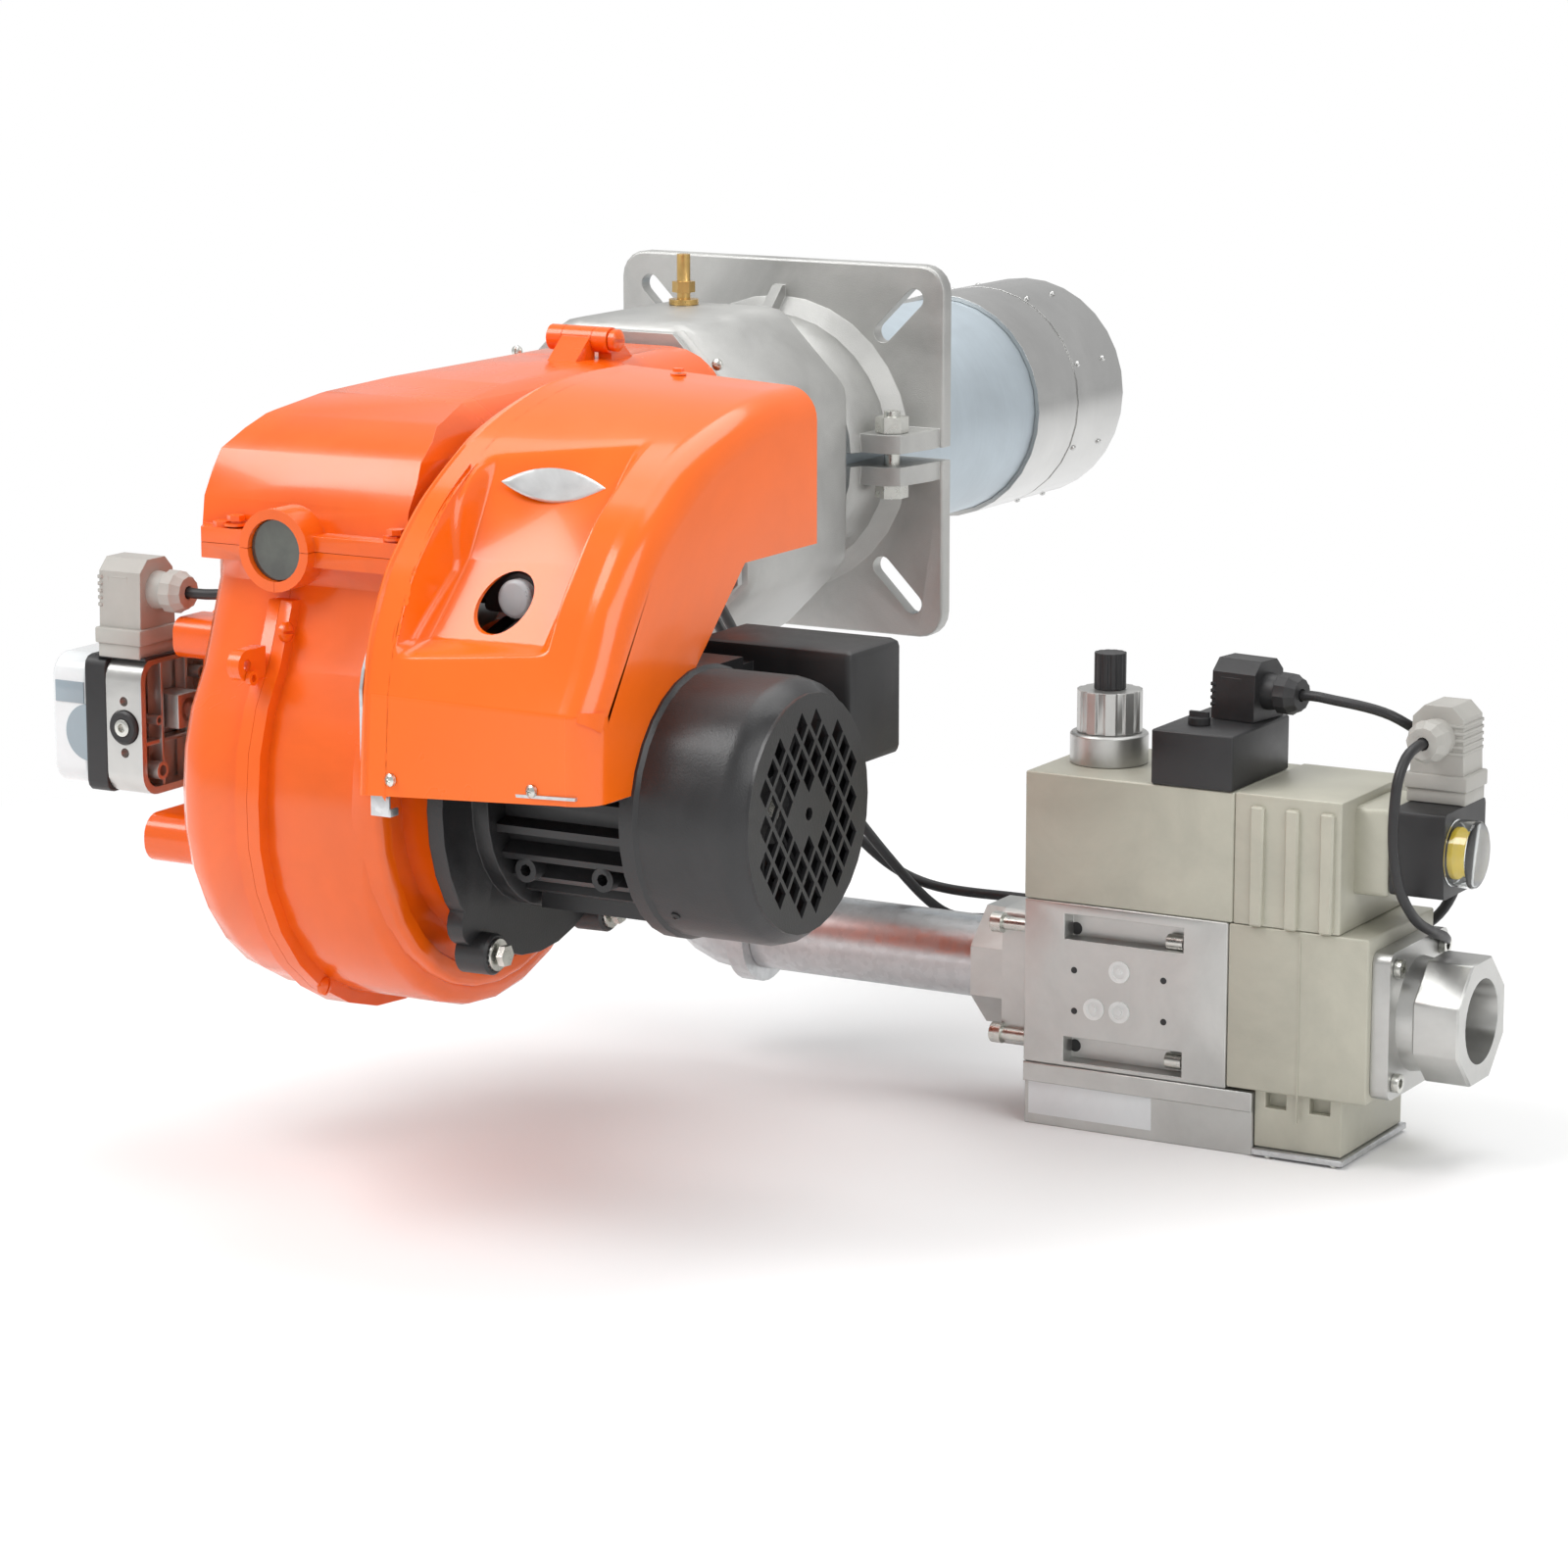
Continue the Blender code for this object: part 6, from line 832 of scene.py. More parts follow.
# The skin's rows of points: X of the first one, their spacing and their number
HOOD_ROWS = ((HOOD_LEFT + HOOD_EDGE_LEFT, 0.0019, 8), (DISH_START - 0.0008, 0.0004, 32),
             (0.1422, 0.0015, 47), (0.2125, 0.0008, 16), (0.2262, 0.0023, 7))
HOOD_STEPS, ROUND_STEPS = 300, 8
TRAY_INSET = 0.0029


def line_point(line, place):
    """Point on a smooth line at a place counted in its own points; the first run is straight."""
    index = min(int(place), len(line) - 2)
    share = place - index
    start, end = Vector(line[index]), Vector(line[index + 1])
    if index == 0:
        return start.lerp(end, share)
    before = Vector(line[index - 1]) if index > 1 else start * 2 - end
    after = Vector(line[index + 2]) if index + 2 < len(line) else end * 2 - start
    return bent(before, start, end, after, share)


def panel_depth(line, z):
    """Y of the dished panel's bent line at a height."""
    for (high_y, high_z), (low_y, low_z) in zip(line, line[1:]):
        if z >= low_z:
            break
    return high_y + (low_y - high_y) * (high_z - z) / (high_z - low_z)


def ease(value):
    value = min(max(value, 0.0), 1.0)
    return value * value * (3 - 2 * value)


def leaf_share(across_wall, z):
    """One inside the sunken leaf on the dish's left wall, none outside it."""
    top, bottom = 0.066, -0.036
    if not bottom - 0.004 < z < top:
        return 0.0
    along = (top - z) / (top - bottom)
    wide = 0.14 + 0.62 * min(along / 0.62, 1.0) - 0.25 * max(along - 0.62, 0.0) / 0.38
    inside = min(across_wall - 0.06, 0.06 + wide - across_wall) / 0.10
    ends = min(along, (z - bottom) / (top - bottom) + 0.02) / 0.03
    return ease(min(inside, ends))


def hood_point(x, place):
    """Point of the hood's outer skin; place runs from its rear edge over its roof."""
    share = (x - HOOD_LEFT) / (HOOD_RIDGE - HOOD_LEFT)
    outer = line_point(HOOD_LEFT_LINE, place).lerp(line_point(HOOD_RIDGE_LINE, place), share)
    y, z = outer
    if z > DISH_TOP or z < DISH_BOTTOM:
        return Vector((x, y, z))
    level = (x - PANEL_LEFT) / (PANEL_RIGHT - PANEL_LEFT)
    deep = panel_depth(PANEL_LEFT_LINE, z)
    deep += (panel_depth(PANEL_RIGHT_LINE, z) - deep) * level
    over = deep - y
    sunk = (over + math.sqrt(over * over + DISH_SOFT * DISH_SOFT)) / 2
    sunk *= ease((DISH_TOP - z) / 0.004) * ease((z - DISH_BOTTOM) / 0.012)
    wall = (x - DISH_START) / DISH_WALL
    opened = ease(wall) * ease((DISH_END - x) / DISH_SLOPE)
    leaf = leaf_share(wall, z) * LEAF_SUNK if 0 < wall < 1 else 0.0
    return Vector((x - leaf, y + sunk * opened, z))


def hood_rows():
    """X of the skin's rows, close together where the dish's walls are steep."""
    return [start + gap * step for start, gap, count in HOOD_ROWS for step in range(count)]


def hood_shell():
    """Skin with rounded ridge, left edge and flat right wall, as one open surface."""
    bm = bmesh.new()
    last = len(HOOD_RIDGE_LINE) - 1
    places = [last * step / HOOD_STEPS for step in range(HOOD_STEPS + 1)]

    def inward(line, place):
        near = line_point(line, min(place + 0.02, last)) - line_point(line, max(place - 0.02, 0))
        return Vector((near.y, -near.x)).normalized()

    def rounded_row(line, x, radius, sign):
        rows = []
        for turn in range(1, ROUND_STEPS + 1):
            angle = math.pi / 2 * turn / ROUND_STEPS
            row = []
            for place in places:
                point = line_point(line, place)
                point += inward(line, place) * radius * (1 - math.cos(angle))
                row.append(Vector((x + sign * radius * math.sin(angle), *point)))
            rows.append(row)
        return rows

    left_x = HOOD_LEFT + HOOD_EDGE_LEFT
    grid = []
    rounded_left = rounded_row(HOOD_LEFT_LINE, left_x, HOOD_EDGE_LEFT, -1)
    deep_left = [point + Vector((0, *inward(HOOD_LEFT_LINE, place))) * 0.010
                 for point, place in zip(rounded_left[-1], places)]
    grid.append(deep_left)
    grid += rounded_left[::-1]
    for x in hood_rows():
        grid.append([hood_point(x, place) for place in places])
    grid += rounded_row(HOOD_RIDGE_LINE, HOOD_RIDGE, HOOD_RIGHT - HOOD_RIDGE, 1)
    verts = []
    for row in grid:
        for point in row:
            point.y = min(point.y, HOOD_FRONT)
            point.z = max(point.z, HOOD_BOTTOM)
        verts.append([bm.verts.new(point) for point in row])
    flat_rows = range(ROUND_STEPS + 2, len(verts) - ROUND_STEPS)
    for index, (first, second) in enumerate(zip(verts, verts[1:])):
        for step in range(HOOD_STEPS):
            face = bm.faces.new((first[step], second[step], second[step + 1], first[step + 1]))
            if index in flat_rows and places[step + 1] <= HOOD_FOLD:
                face.material_index = 1
    corners = [(HOOD_FRONT, HOOD_CUT_HIGH), (HOOD_STEP, HOOD_CUT_HIGH), (HOOD_TOE, HOOD_BOTTOM)]
    wall = [bm.verts.new((HOOD_RIGHT, *corner)) for corner in corners]
    bm.faces.new(verts[-1] + wall)
    return bm


def hood_piece(looks):
    """The hood with its wall thickness and the round hole over the button."""
    bm = hood_shell()
    bmesh.ops.remove_doubles(bm, verts=bm.verts, dist=0.00002)
    bmesh.ops.recalc_face_normals(bm, faces=bm.faces)
    if sum(face.normal.z for face in bm.faces) < 0:
        bmesh.ops.reverse_faces(bm, faces=bm.faces)
    mesh = bpy.data.meshes.new("hood_skin")
    bm.to_mesh(mesh)
    bm.free()
    maker = placed("hood_maker", mesh)
    mesh.materials.append(looks["hood_plastic"])
    mesh.materials.append(looks["hood_panel"])
    wall = maker.modifiers.new("wall", "SOLIDIFY")
    wall.thickness = HOOD_THICK
    wall.offset = -1
    drill = solid_object(shaped(lathe, (HOLE_PLACE[0], -0.730, HOLE_PLACE[1]), (0, 1, 0),
                                ((0, HOLE_RADIUS), (0.105, HOLE_RADIUS)), 64))
    combine(maker, "hole", "DIFFERENCE", drill)
    made = settled(maker, drill)
    made.shade_smooth()
    made.set_sharp_from_angle(angle=math.radians(32))
    piece = placed("hood_shell", made)
    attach(piece, BODY_OF["control_hood"])
    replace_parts(piece, "control_hood")


def panel_normal():
    """Outward direction of the upper part of the dished panel."""
    (high_y, high_z), (low_y, low_z) = PANEL_LEFT_LINE[:2]
    (right_y, right_z) = PANEL_RIGHT_LINE[0]
    down = Vector((0, low_y - high_y, low_z - high_z))
    side = Vector((PANEL_RIGHT - PANEL_LEFT, right_y - high_y, right_z - high_z))
    normal = down.cross(side).normalized()
    return normal if normal.y < 0 else -normal


def badge_piece(looks):
    """Bare pointed oval badge on the upper panel."""
    normal = panel_normal()
    centre = Vector((0.1785, -0.6135, 0.0530)) + normal * 0.0006
    side = Vector((1, 0.36, 0)).normalized()
    side = (side - normal * side.dot(normal)).normalized()
    up = normal.cross(side)
    if up.z < 0:
        up = -up
    half_long, half_tall, steps = 0.0335, 0.0115, 24
    bm = bmesh.new()
    rings = []
    for lift, grow in ((0.0, 1.0), (0.0014, 1.0), (0.0024, 0.93), (0.0026, 0.80)):
        ring = []
        for step in range(steps * 2):
            along = math.cos(math.pi * step / steps)
            tall = (1 - along * along) * (1 if step <= steps else -1)
            ring.append(bm.verts.new(centre + side * along * half_long * grow
                                     + up * tall * half_tall * grow + normal * lift))
        rings.append(ring)
    join_rings(bm, rings)
    slotted("hood_badge", bm, looks["badge_silver"], "burner", 40.0)


def strip(bm, points, wide, thick):
    """Thin band along a bent line; wide is measured along Z."""
    rings = []
    for index, point in enumerate(points):
        before = points[max(index - 1, 0)]
        after = points[min(index + 1, len(points) - 1)]
        way = (Vector(after) - Vector(before)).normalized()
        out = way.cross(Vector((0, 0, 1))).normalized() * thick / 2
        rise = Vector((0, 0, wide / 2))
        rings.append([bm.verts.new(Vector(point) + corner)
                      for corner in (out + rise, out - rise, -out - rise, -out + rise)])
    join_rings(bm, rings)


class BURNER_OT_hood(BurnerOperator, bpy.types.Operator):
    """Moulded hood, its tray, the control box and the reset button"""

    bl_idname = "burner.hood"
    bl_label = "Hood"

    def build(self, looks, sizes):
        hood_piece(looks)
        badge_piece(looks)
        dress("hood_tray", looks["galvanised"], inset=TRAY_INSET)
        dress("control_box", looks["black_plastic"])
        dress("reset_button", looks["frosted_plastic"], sizes.edge_round)
        bm = bmesh.new()
        low = HOOD_BOTTOM + 0.0012
        rear = [(x, -0.7372 + (x - HOOD_LEFT) / (HOOD_RIDGE - HOOD_LEFT) * 0.034, low)
                for x in (0.112, 0.150, 0.190, 0.232)]
        strip(bm, rear, 0.0034, 0.0016)
        strip(bm, [(0.240, -0.7035, low), (0.251, -0.700, low), (0.2585, -0.690, low),
                   (0.2606, -0.680, low), (0.2606, HOOD_TOE, low)], 0.0034, 0.0016)
        slotted("hood_lip", bm, looks["galvanised"], "burner", 30.0)
        screws("hood_screws", "cross", [
            ((0.132, -0.7345, -0.1205), (-0.24, -1, 0), 0.0042),
            ((0.222, -0.7119, -0.1225), (-0.24, -1, 0), 0.0042),
        ], looks["zinc_screw"], "burner", seed=3)
        screws("hood_top_screw", "hex", [((0.165, -0.437, 0.1052), (0, 0, 1), 0.0038)],
               looks["hood_plastic"], "burner")
        bars_piece("hood_bracket", (
            ((0.1160, -0.7330, -0.1450), (0.1180, -0.7190, -0.1300)),
            ((0.1170, -0.7330, -0.1450), (0.1300, -0.7310, -0.1310)),
            ((0.1290, -0.7330, -0.1450), (0.1310, -0.7240, -0.1400)),
        ), 0.0004, looks["galvanised"], "burner")


# Air intake and its pressure switch
INTAKE_BOX = ((-0.1623, -0.5300, -0.2320), (-0.0623, -0.3750, -0.0680))
INTAKE_LOBES = (((-0.1623, -0.6020, -0.2320), (-0.0623, -0.5200, -0.1985), 0.015),
                ((-0.1623, -0.5640, -0.0960), (-0.0623, -0.5200, -0.0680), 0.010))
INTAKE_WALL, INTAKE_CORNER = 0.004, 0.020
CHAMBER_DEEP, CHAMBER_REACH = 0.027, 0.078
EYE_RADIUS = 0.068
CAST_LEFT, CAST_FACE = -0.2146, -0.1846
CAST_REAR, CAST_FRONT = -0.572, -0.488
CAST_LOW, CAST_HIGH = -0.194, -0.098


def rounded_box(low, high, radius, steps=6):
    """Outline of a rectangle with round corners, counter-clockwise."""
    points = []
    for corner, (level, up) in enumerate(((high[0], high[1]), (low[0], high[1]),
                                          (low[0], low[1]), (high[0], low[1]))):
        centre = (level - radius if level == high[0] else level + radius,
                  up - radius if up == high[1] else up + radius)
        for step in range(steps + 1):
            angle = math.pi / 2 * (corner + step / steps)
            points.append((centre[0] + radius * math.cos(angle),
                           centre[1] + radius * math.sin(angle)))
    return points


def solid_object(bm):
    """Throwaway object of a mesh, for the shape tools."""
    bmesh.ops.recalc_face_normals(bm, faces=bm.faces)
    mesh = bpy.data.meshes.new("shape")
    bm.to_mesh(mesh)
    bm.free()
    return placed("shape", mesh)


def carved(base, steps):
    """Mesh of a base shape with others added or taken away, in order."""
    body = solid_object(base)
    tools = [solid_object(tool) for operation, tool in steps]
    for index, (operation, tool) in enumerate(steps):
        combine(body, "change%d" % index, operation, tools[index])
    bm = bmesh.new()
    bm.from_mesh(settled(body, *tools))
    bmesh.ops.remove_doubles(bm, verts=bm.verts, dist=0.00001)
    bmesh.ops.dissolve_degenerate(bm, dist=0.00001, edges=bm.edges)
    return bm


def intake_piece(looks):
    """Intake box open below, with a round chamber that leads to the fan's eye."""
    low, high = (Vector(corner) for corner in INTAKE_BOX)
    y_axis, z_axis = MOTOR_AXIS
    box = shaped(plate, rounded_box(low[1:], high[1:], INTAKE_CORNER), "X", low.x, high.x)
    chamber = shaped(lathe, (high.x - CHAMBER_DEEP, y_axis, z_axis), (1, 0, 0),
                     ((0, CHAMBER_REACH - 0.004), (0.004, CHAMBER_REACH),
                      (CHAMBER_DEEP, CHAMBER_REACH)), 64)
    inside = Vector((INTAKE_WALL, INTAKE_WALL, INTAKE_WALL))
    hollow = shaped(bar, low + inside - Vector((0, 0, 0.02)), high - inside)
    way = shaped(lathe, (high.x - CHAMBER_DEEP + INTAKE_WALL, y_axis, z_axis), (1, 0, 0),
                 ((0, CHAMBER_REACH - INTAKE_WALL),
                  (CHAMBER_DEEP - INTAKE_WALL * 2, CHAMBER_REACH - INTAKE_WALL)), 64)
    eye = shaped(lathe, (high.x - 0.02, y_axis, z_axis), (1, 0, 0),
                 ((0, EYE_RADIUS), (0.04, EYE_RADIUS)), 64)
    lobes = [("UNION", shaped(plate, rounded_box(start[1:], end[1:], radius), "X",
                              start[0], end[0]))
             for start, end, radius in INTAKE_LOBES]
    bm = carved(box, (("UNION", chamber), *lobes, ("DIFFERENCE", hollow),
                      ("DIFFERENCE", way), ("DIFFERENCE", eye)))
    bmesh.ops.triangulate(bm, faces=bm.faces)
    bmesh.ops.dissolve_degenerate(bm, dist=0.00002, edges=bm.edges)
    piece = new_piece("intake_box", bm, looks["casing_paint"], "burner", 35.0)
    piece.data.validate()
    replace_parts(piece, "air_intake")


def switch_cast(looks):
    """Cast block of the air switch: round top edges, flat rear face and an open right side."""
    outline = rounded_box((CAST_REAR, CAST_LOW), (CAST_FRONT, CAST_HIGH), 0.016)
    inner = rounded_box((CAST_REAR + 0.005, CAST_LOW + 0.005),
                        (CAST_FRONT - 0.005, CAST_HIGH - 0.005), 0.012)
    middle = (CAST_LEFT + CAST_FACE) / 2
    height = (CAST_LOW + CAST_HIGH) / 2
    steps = [("DIFFERENCE", shaped(plate, inner, "X", CAST_FACE - 0.014, CAST_FACE + 0.02))]
    for lift, radius, deep, sides in ((0.0, 0.0125, 0.0112, 40), (-0.018, 0.0034, 0.018, 20),
                                      (0.018, 0.0034, 0.018, 20)):
        steps.append(("DIFFERENCE", shaped(
            lathe, (middle, CAST_REAR - 0.01, height + lift), (0, 1, 0),
            ((0, radius), (deep, radius)), sides)))
    bm = carved(shaped(plate, outline, "X", CAST_LEFT, CAST_FACE), steps)
    piece = edged(new_piece("air_switch_cast", bm, looks["die_cast"], "burner", 33.0), 0.0012)
    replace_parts(piece, "air_switch_base")
    inner_face = CAST_FACE - 0.013
    bars_piece("air_switch_ribs", (
        ((inner_face, -0.5480, CAST_LOW + 0.003), (CAST_FACE - 0.001, -0.5450, CAST_HIGH - 0.003)),
        ((inner_face, -0.5160, CAST_LOW + 0.003), (CAST_FACE - 0.004, -0.5130, CAST_HIGH - 0.003)),
        ((inner_face, CAST_REAR + 0.003, -0.1600),
         (CAST_FACE - 0.003, CAST_FRONT - 0.003, -0.1570)),
        ((inner_face, -0.5420, -0.1500), (CAST_FACE + 0.0090, -0.5180, -0.1260)),
    ), 0.0008, looks["die_cast"], "burner")
    bm = bmesh.new()
    for place, wide, long in (((-0.5560, -0.1770), 0.0062, 0.018),
                              ((-0.5560, -0.1420), 0.0034, 0.016),
                              ((-0.5050, -0.1160), 0.0044, 0.015),
                              ((-0.5300, -0.1380), 0.0085, 0.022)):
        lathe(bm, (inner_face, *place), (1, 0, 0),
              ((0, wide), (long, wide), (long, wide * 0.62), (long - 0.006, wide * 0.58)), 24)
    slotted("air_switch_bosses", bm, looks["die_cast"], "burner")
    turned_piece("air_switch_spigot", (CAST_FACE - 0.012, -0.505, -0.150), (1, 0, 0),
                 ((0, 0.0095), (0.020, 0.0095), (0.0225, 0.0105), (0.0345, 0.0105)),
                 looks["die_cast"], "burner", 32)
    turned_piece("air_switch_ring", (middle, CAST_REAR + 0.0010, height), (0, -1, 0),
                 ((0, 0.0120), (0.0024, 0.0116), (0.0036, 0.0102), (0.0036, 0.0064),
                  (0.0010, 0.0060)),
                 looks["rubber_and_hole_shade"], "burner", 40)
    turned_piece("air_switch_nipple", (middle, CAST_REAR + 0.0012, height), (0, -1, 0),
                 ((0, 0.0062), (0.0044, 0.0060), (0.0048, 0.0052), (0.0048, 0.0030),
                  (0.0020, 0.0026)),
                 looks["zinc_screw"], "burner", 28)


def switch_cover(looks):
    """Pale cover with a blue-grey window and a round scale behind it."""
    low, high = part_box("air_switch_cover")
    outline = rounded_box((low[1], low[2]), (high[1], high[2]), 0.017, 8)
    bm = shaped(plate, outline, "X", low[0], high[0])
    bmesh.ops.recalc_face_normals(bm, faces=bm.faces)
    cover = edged(new_piece("air_switch_lid", bm, looks["switch_white"], "burner", 33.0), 0.003,
                  segments=4)
    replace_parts(cover, "air_switch_cover")
    start, end = low[1] - 0.0006, low[1] + 0.002
    bars_piece("air_switch_window", (
        ((low[0] + 0.0035, start, -0.1330), (high[0] - 0.0020, end, -0.1180)),
    ), 0.0003, looks["window_grey"], "burner")
    centre, radius, steps = high[0] + 0.002, 0.0200, 24
    turns = [math.pi * step / steps for step in range(steps + 1)]
    points = [(max(centre - radius * math.sin(turn), low[0] + 0.004),
               -0.1530 + radius * math.cos(turn)) for turn in turns]
    slotted("air_switch_scale", shaped(plate, points, "Y", start, end), looks["window_grey"],
            "burner", 30.0)


class BURNER_OT_intake(BurnerOperator, bpy.types.Operator):
    """Air intake, damper and the air pressure switch"""

    bl_idname = "burner.intake"
    bl_label = "Air intake and switch"

    def build(self, looks, sizes):
        intake_piece(looks)
        dress("air_damper", looks["galvanised"])
        dress("damper_motor", looks["black_plastic"], sizes.edge_round)
        switch_cast(looks)
        dress("air_switch_band", looks["black_plastic"], 0.0012)
        switch_cover(looks)
        plug_piece("air_switch_connector", "air_switch_plug", AIR_PLUG, AIR_TURN,
                   looks["grey_plastic"])
        bars_piece("air_switch_gasket", (
            ((-0.2235, -0.5715, -0.0986), (-0.1805, -0.5210, -0.0966)),
        ), 0.0004, looks["rubber_and_hole_shade"], "burner")


FLANGE_LIFTS = (-0.3035, -0.3845)


class BURNER_OT_gas_pipe(BurnerOperator, bpy.types.Operator):
    """Elbow, pipe and the flange at the valve"""

    bl_idname = "burner.gas_pipe"
    bl_label = "Gas pipe"

    def build(self, looks, sizes):
        dress_all(("gas_elbow", "gas_pipe"), looks["galvanised"])
        dress("outlet_flange", looks["die_cast"], sizes.edge_round)
        bm = bmesh.new()
        for lift in FLANGE_LIFTS:
            lathe(bm, (0.2800, -0.1965, lift), RIGHTWARDS,
                  ((0, 0.0066), (0.0008, 0.0075), (0.0090, 0.0075), (0.0092, 0.0048),
                   (0.0285, 0.0048)), 24)
        slotted("outlet_screws", bm, looks["zinc_screw"], "burner")


WHITE_PLUGS = ((0.3831, -0.203, -0.3271), (0.3636, -0.203, -0.3564), (0.3835, -0.203, -0.3561))
SMALL_HOLES = ((0.3479, -0.203, -0.3299), (0.4173, -0.203, -0.3292), (0.3483, -0.203, -0.3595),
               (0.4178, -0.203, -0.3588))
POCKET_HOLES = ((0.3425, -0.1890, -0.3030), (0.3425, -0.1890, -0.3885))
POCKET_STUDS = ((0.4160, -0.1930, -0.3030), (0.4160, -0.1930, -0.3885))


class BURNER_OT_valve(BurnerOperator, bpy.types.Operator):
    """Gas valve with its castings, knobs, module and plug"""

    bl_idname = "burner.valve"
    bl_label = "Gas valve"

    def build(self, looks, sizes):
        dress_all(("valve_body", "valve_base", "inlet_flange"), looks["die_cast"],
                  sizes.edge_round)
        dress_all(("valve_cover", "filter_housing", "regulator_housing"),
                  looks["valve_coating"], sizes.edge_round)
        dress("foot_plate", looks["galvanised"], sizes.edge_round)
        dress("knob_base", looks["die_cast"], sizes.edge_round)
        dress("flow_ring", looks["die_cast"], sizes.edge_round / 2)
        dress_all(("flow_cap", "valve_module", "pointer_knob"), looks["black_plastic"],
                  sizes.edge_round)
        plug_piece("valve_connector", "valve_plug", VALVE_PLUG, VALVE_TURN,
                   looks["black_plastic"], VALVE_SUNK, 4)
        self.front(looks)
        screws("inlet_screws", "socket",
               [((0.5830, -0.145 + side * 0.0405, lift), RIGHTWARDS, 0.0066)
                for side in (-1, 1) for lift in FLANGE_LIFTS],
               looks["zinc_screw"], "burner")
        screws("foot_screws", "rivet",
               [((0.4980 + 0.0165 * step, -0.1990, -0.4436), DOWNWARDS, 0.0038)
                for step in (0, 3)] + [((0.5500, place, -0.4436), DOWNWARDS, 0.0038)
                                       for place in (-0.150, -0.098)],
               looks["zinc_screw"], "burner")

    def front(self, looks):
        """Plugs, black discs of painted shade for the holes, studs and the bare plate on the
        valve's front.
        """
        for name, rows, profile, finish_name, slot in (
                ("valve_white_plugs", WHITE_PLUGS,
                 ((0, 0.0080), (0.0012, 0.0078), (0.0012, 0.0052), (0.0004, 0.0050),
                  (0.0004, 0.0024), (0.0015, 0.0022)), "white_plug", "clear_plastic"),
                # The small holes and the pocket holes are thin black discs: painted shade in place
                # of real holes
                ("valve_hole_shades", SMALL_HOLES, ((0, 0.0024), (0.0003, 0.0023)), "rubber_and_hole_shade",
                 "black_rubber"),
                ("pocket_hole_shades", POCKET_HOLES, ((0, 0.0046), (0.0003, 0.0045)), "rubber_and_hole_shade",
                 "black_rubber")):
            bm = bmesh.new()
            for place in rows:
                lathe(bm, place, REARWARDS, profile, 28)
            slotted(name, bm, looks[finish_name], "burner")
        bm = bmesh.new()
        for place in POCKET_STUDS:
            lathe(bm, place, RIGHTWARDS, ((0, 0.0050), (0.0006, 0.0056), (0.0130, 0.0056)), 24)
        slotted("pocket_studs", bm, looks["zinc_screw"], "burner")
        bars_piece("type_plate", (((0.3115, -0.2006, -0.4395), (0.4080, -0.1990, -0.4125)),),
                   0.0003, looks["switch_white"], "burner")
        bars_piece("mould_line", (((0.5196, -0.2036, -0.4180), (0.5208, -0.2020, -0.2860)),),
                   0.0002, looks["valve_coating"], "burner")


class BURNER_OT_gas_switch(BurnerOperator, bpy.types.Operator):
    """Gas pressure switch with its dial and plug"""

    bl_idname = "burner.gas_switch"
    bl_label = "Gas pressure switch"

    def build(self, looks, sizes):
        dress("gas_switch", looks["black_plastic"], sizes.edge_round)
        dress("gas_dial", looks["yellow_dial"], sizes.edge_round)
        dress("dial_window", looks["clear_plastic"])
        plug_piece("gas_switch_connector", "gas_switch_plug", GAS_PLUG, GAS_TURN,
                   looks["grey_plastic"])


# Electric plugs and their cords
PLUG_BODY = (0.035, 0.037)
PLUG_FLANGE = (0.039, 0.046)
PLUG_TALL, PLUG_CHAMFER = 0.068, 0.0085
RIB_PITCH, RIB_TALL = 0.0048, 0.0026
GLAND_HIGH, GLAND_LONG = 0.046, 0.027
CORD_DIAMETER, CORD_SPACING = 0.0074, 0.006
AIR_PLUG, AIR_TURN = Vector((-0.2020, -0.5510, -0.0977)), 0.0
VALVE_PLUG, VALVE_TURN, VALVE_SUNK = Vector((0.445, -0.131, -0.1504)), -8.0, 0.026
GAS_PLUG, GAS_TURN = Vector((0.5956, -0.1330, -0.1937)), -90.0


def gland_point(place, turn, lift=0.0, past=0.0):
    """On the axis of a plug's gland: its mouth, or a distance past it."""
    reach = PLUG_BODY[0] / 2 + GLAND_LONG + past
    angle = math.radians(turn)
    return place + Vector((reach * math.cos(angle), reach * math.sin(angle), GLAND_HIGH - lift))


VALVE_CORD = (
    gland_point(VALVE_PLUG, VALVE_TURN, VALVE_SUNK, -0.010),
    gland_point(VALVE_PLUG, VALVE_TURN, VALVE_SUNK, 0.0),
    gland_point(VALVE_PLUG, VALVE_TURN, VALVE_SUNK, 0.020),
    (0.560, -0.134, -0.141), (0.584, -0.098, -0.180), (0.586, -0.080, -0.260),
    (0.545, -0.077, -0.306), (0.440, -0.077, -0.310), (0.345, -0.078, -0.312),
    (0.250, -0.088, -0.312), (0.168, -0.098, -0.306), (0.132, -0.140, -0.262),
    (0.126, -0.235, -0.176), (0.134, -0.320, -0.096), (0.146, -0.395, -0.036),
    (0.150, -0.455, -0.015), (0.150, -0.504, -0.012),
)
GAS_CORD = (
    gland_point(GAS_PLUG, GAS_TURN, 0.0, -0.010),
    gland_point(GAS_PLUG, GAS_TURN, 0.0, 0.0),
    (0.5953, -0.1865, -0.1479), (0.5945, -0.2015, -0.1522), (0.5935, -0.2120, -0.1640),
    (0.5925, -0.2155, -0.1800), (0.5915, -0.2145, -0.2100), (0.5925, -0.2050, -0.2420),
    (0.5950, -0.1820, -0.2680), (0.5950, -0.1490, -0.2840), (0.5910, -0.1160, -0.2950),
    (0.5790, -0.0910, -0.3060), (0.545, -0.077, -0.322), (0.440, -0.077, -0.326),
    (0.345, -0.078, -0.328), (0.250, -0.082, -0.326), (0.215, -0.084, -0.332),
    (0.186, -0.100, -0.325), (0.158, -0.135, -0.278), (0.146, -0.232, -0.184),
    (0.148, -0.316, -0.106), (0.160, -0.390, -0.046), (0.165, -0.455, -0.015),
    (0.165, -0.504, -0.012),
)
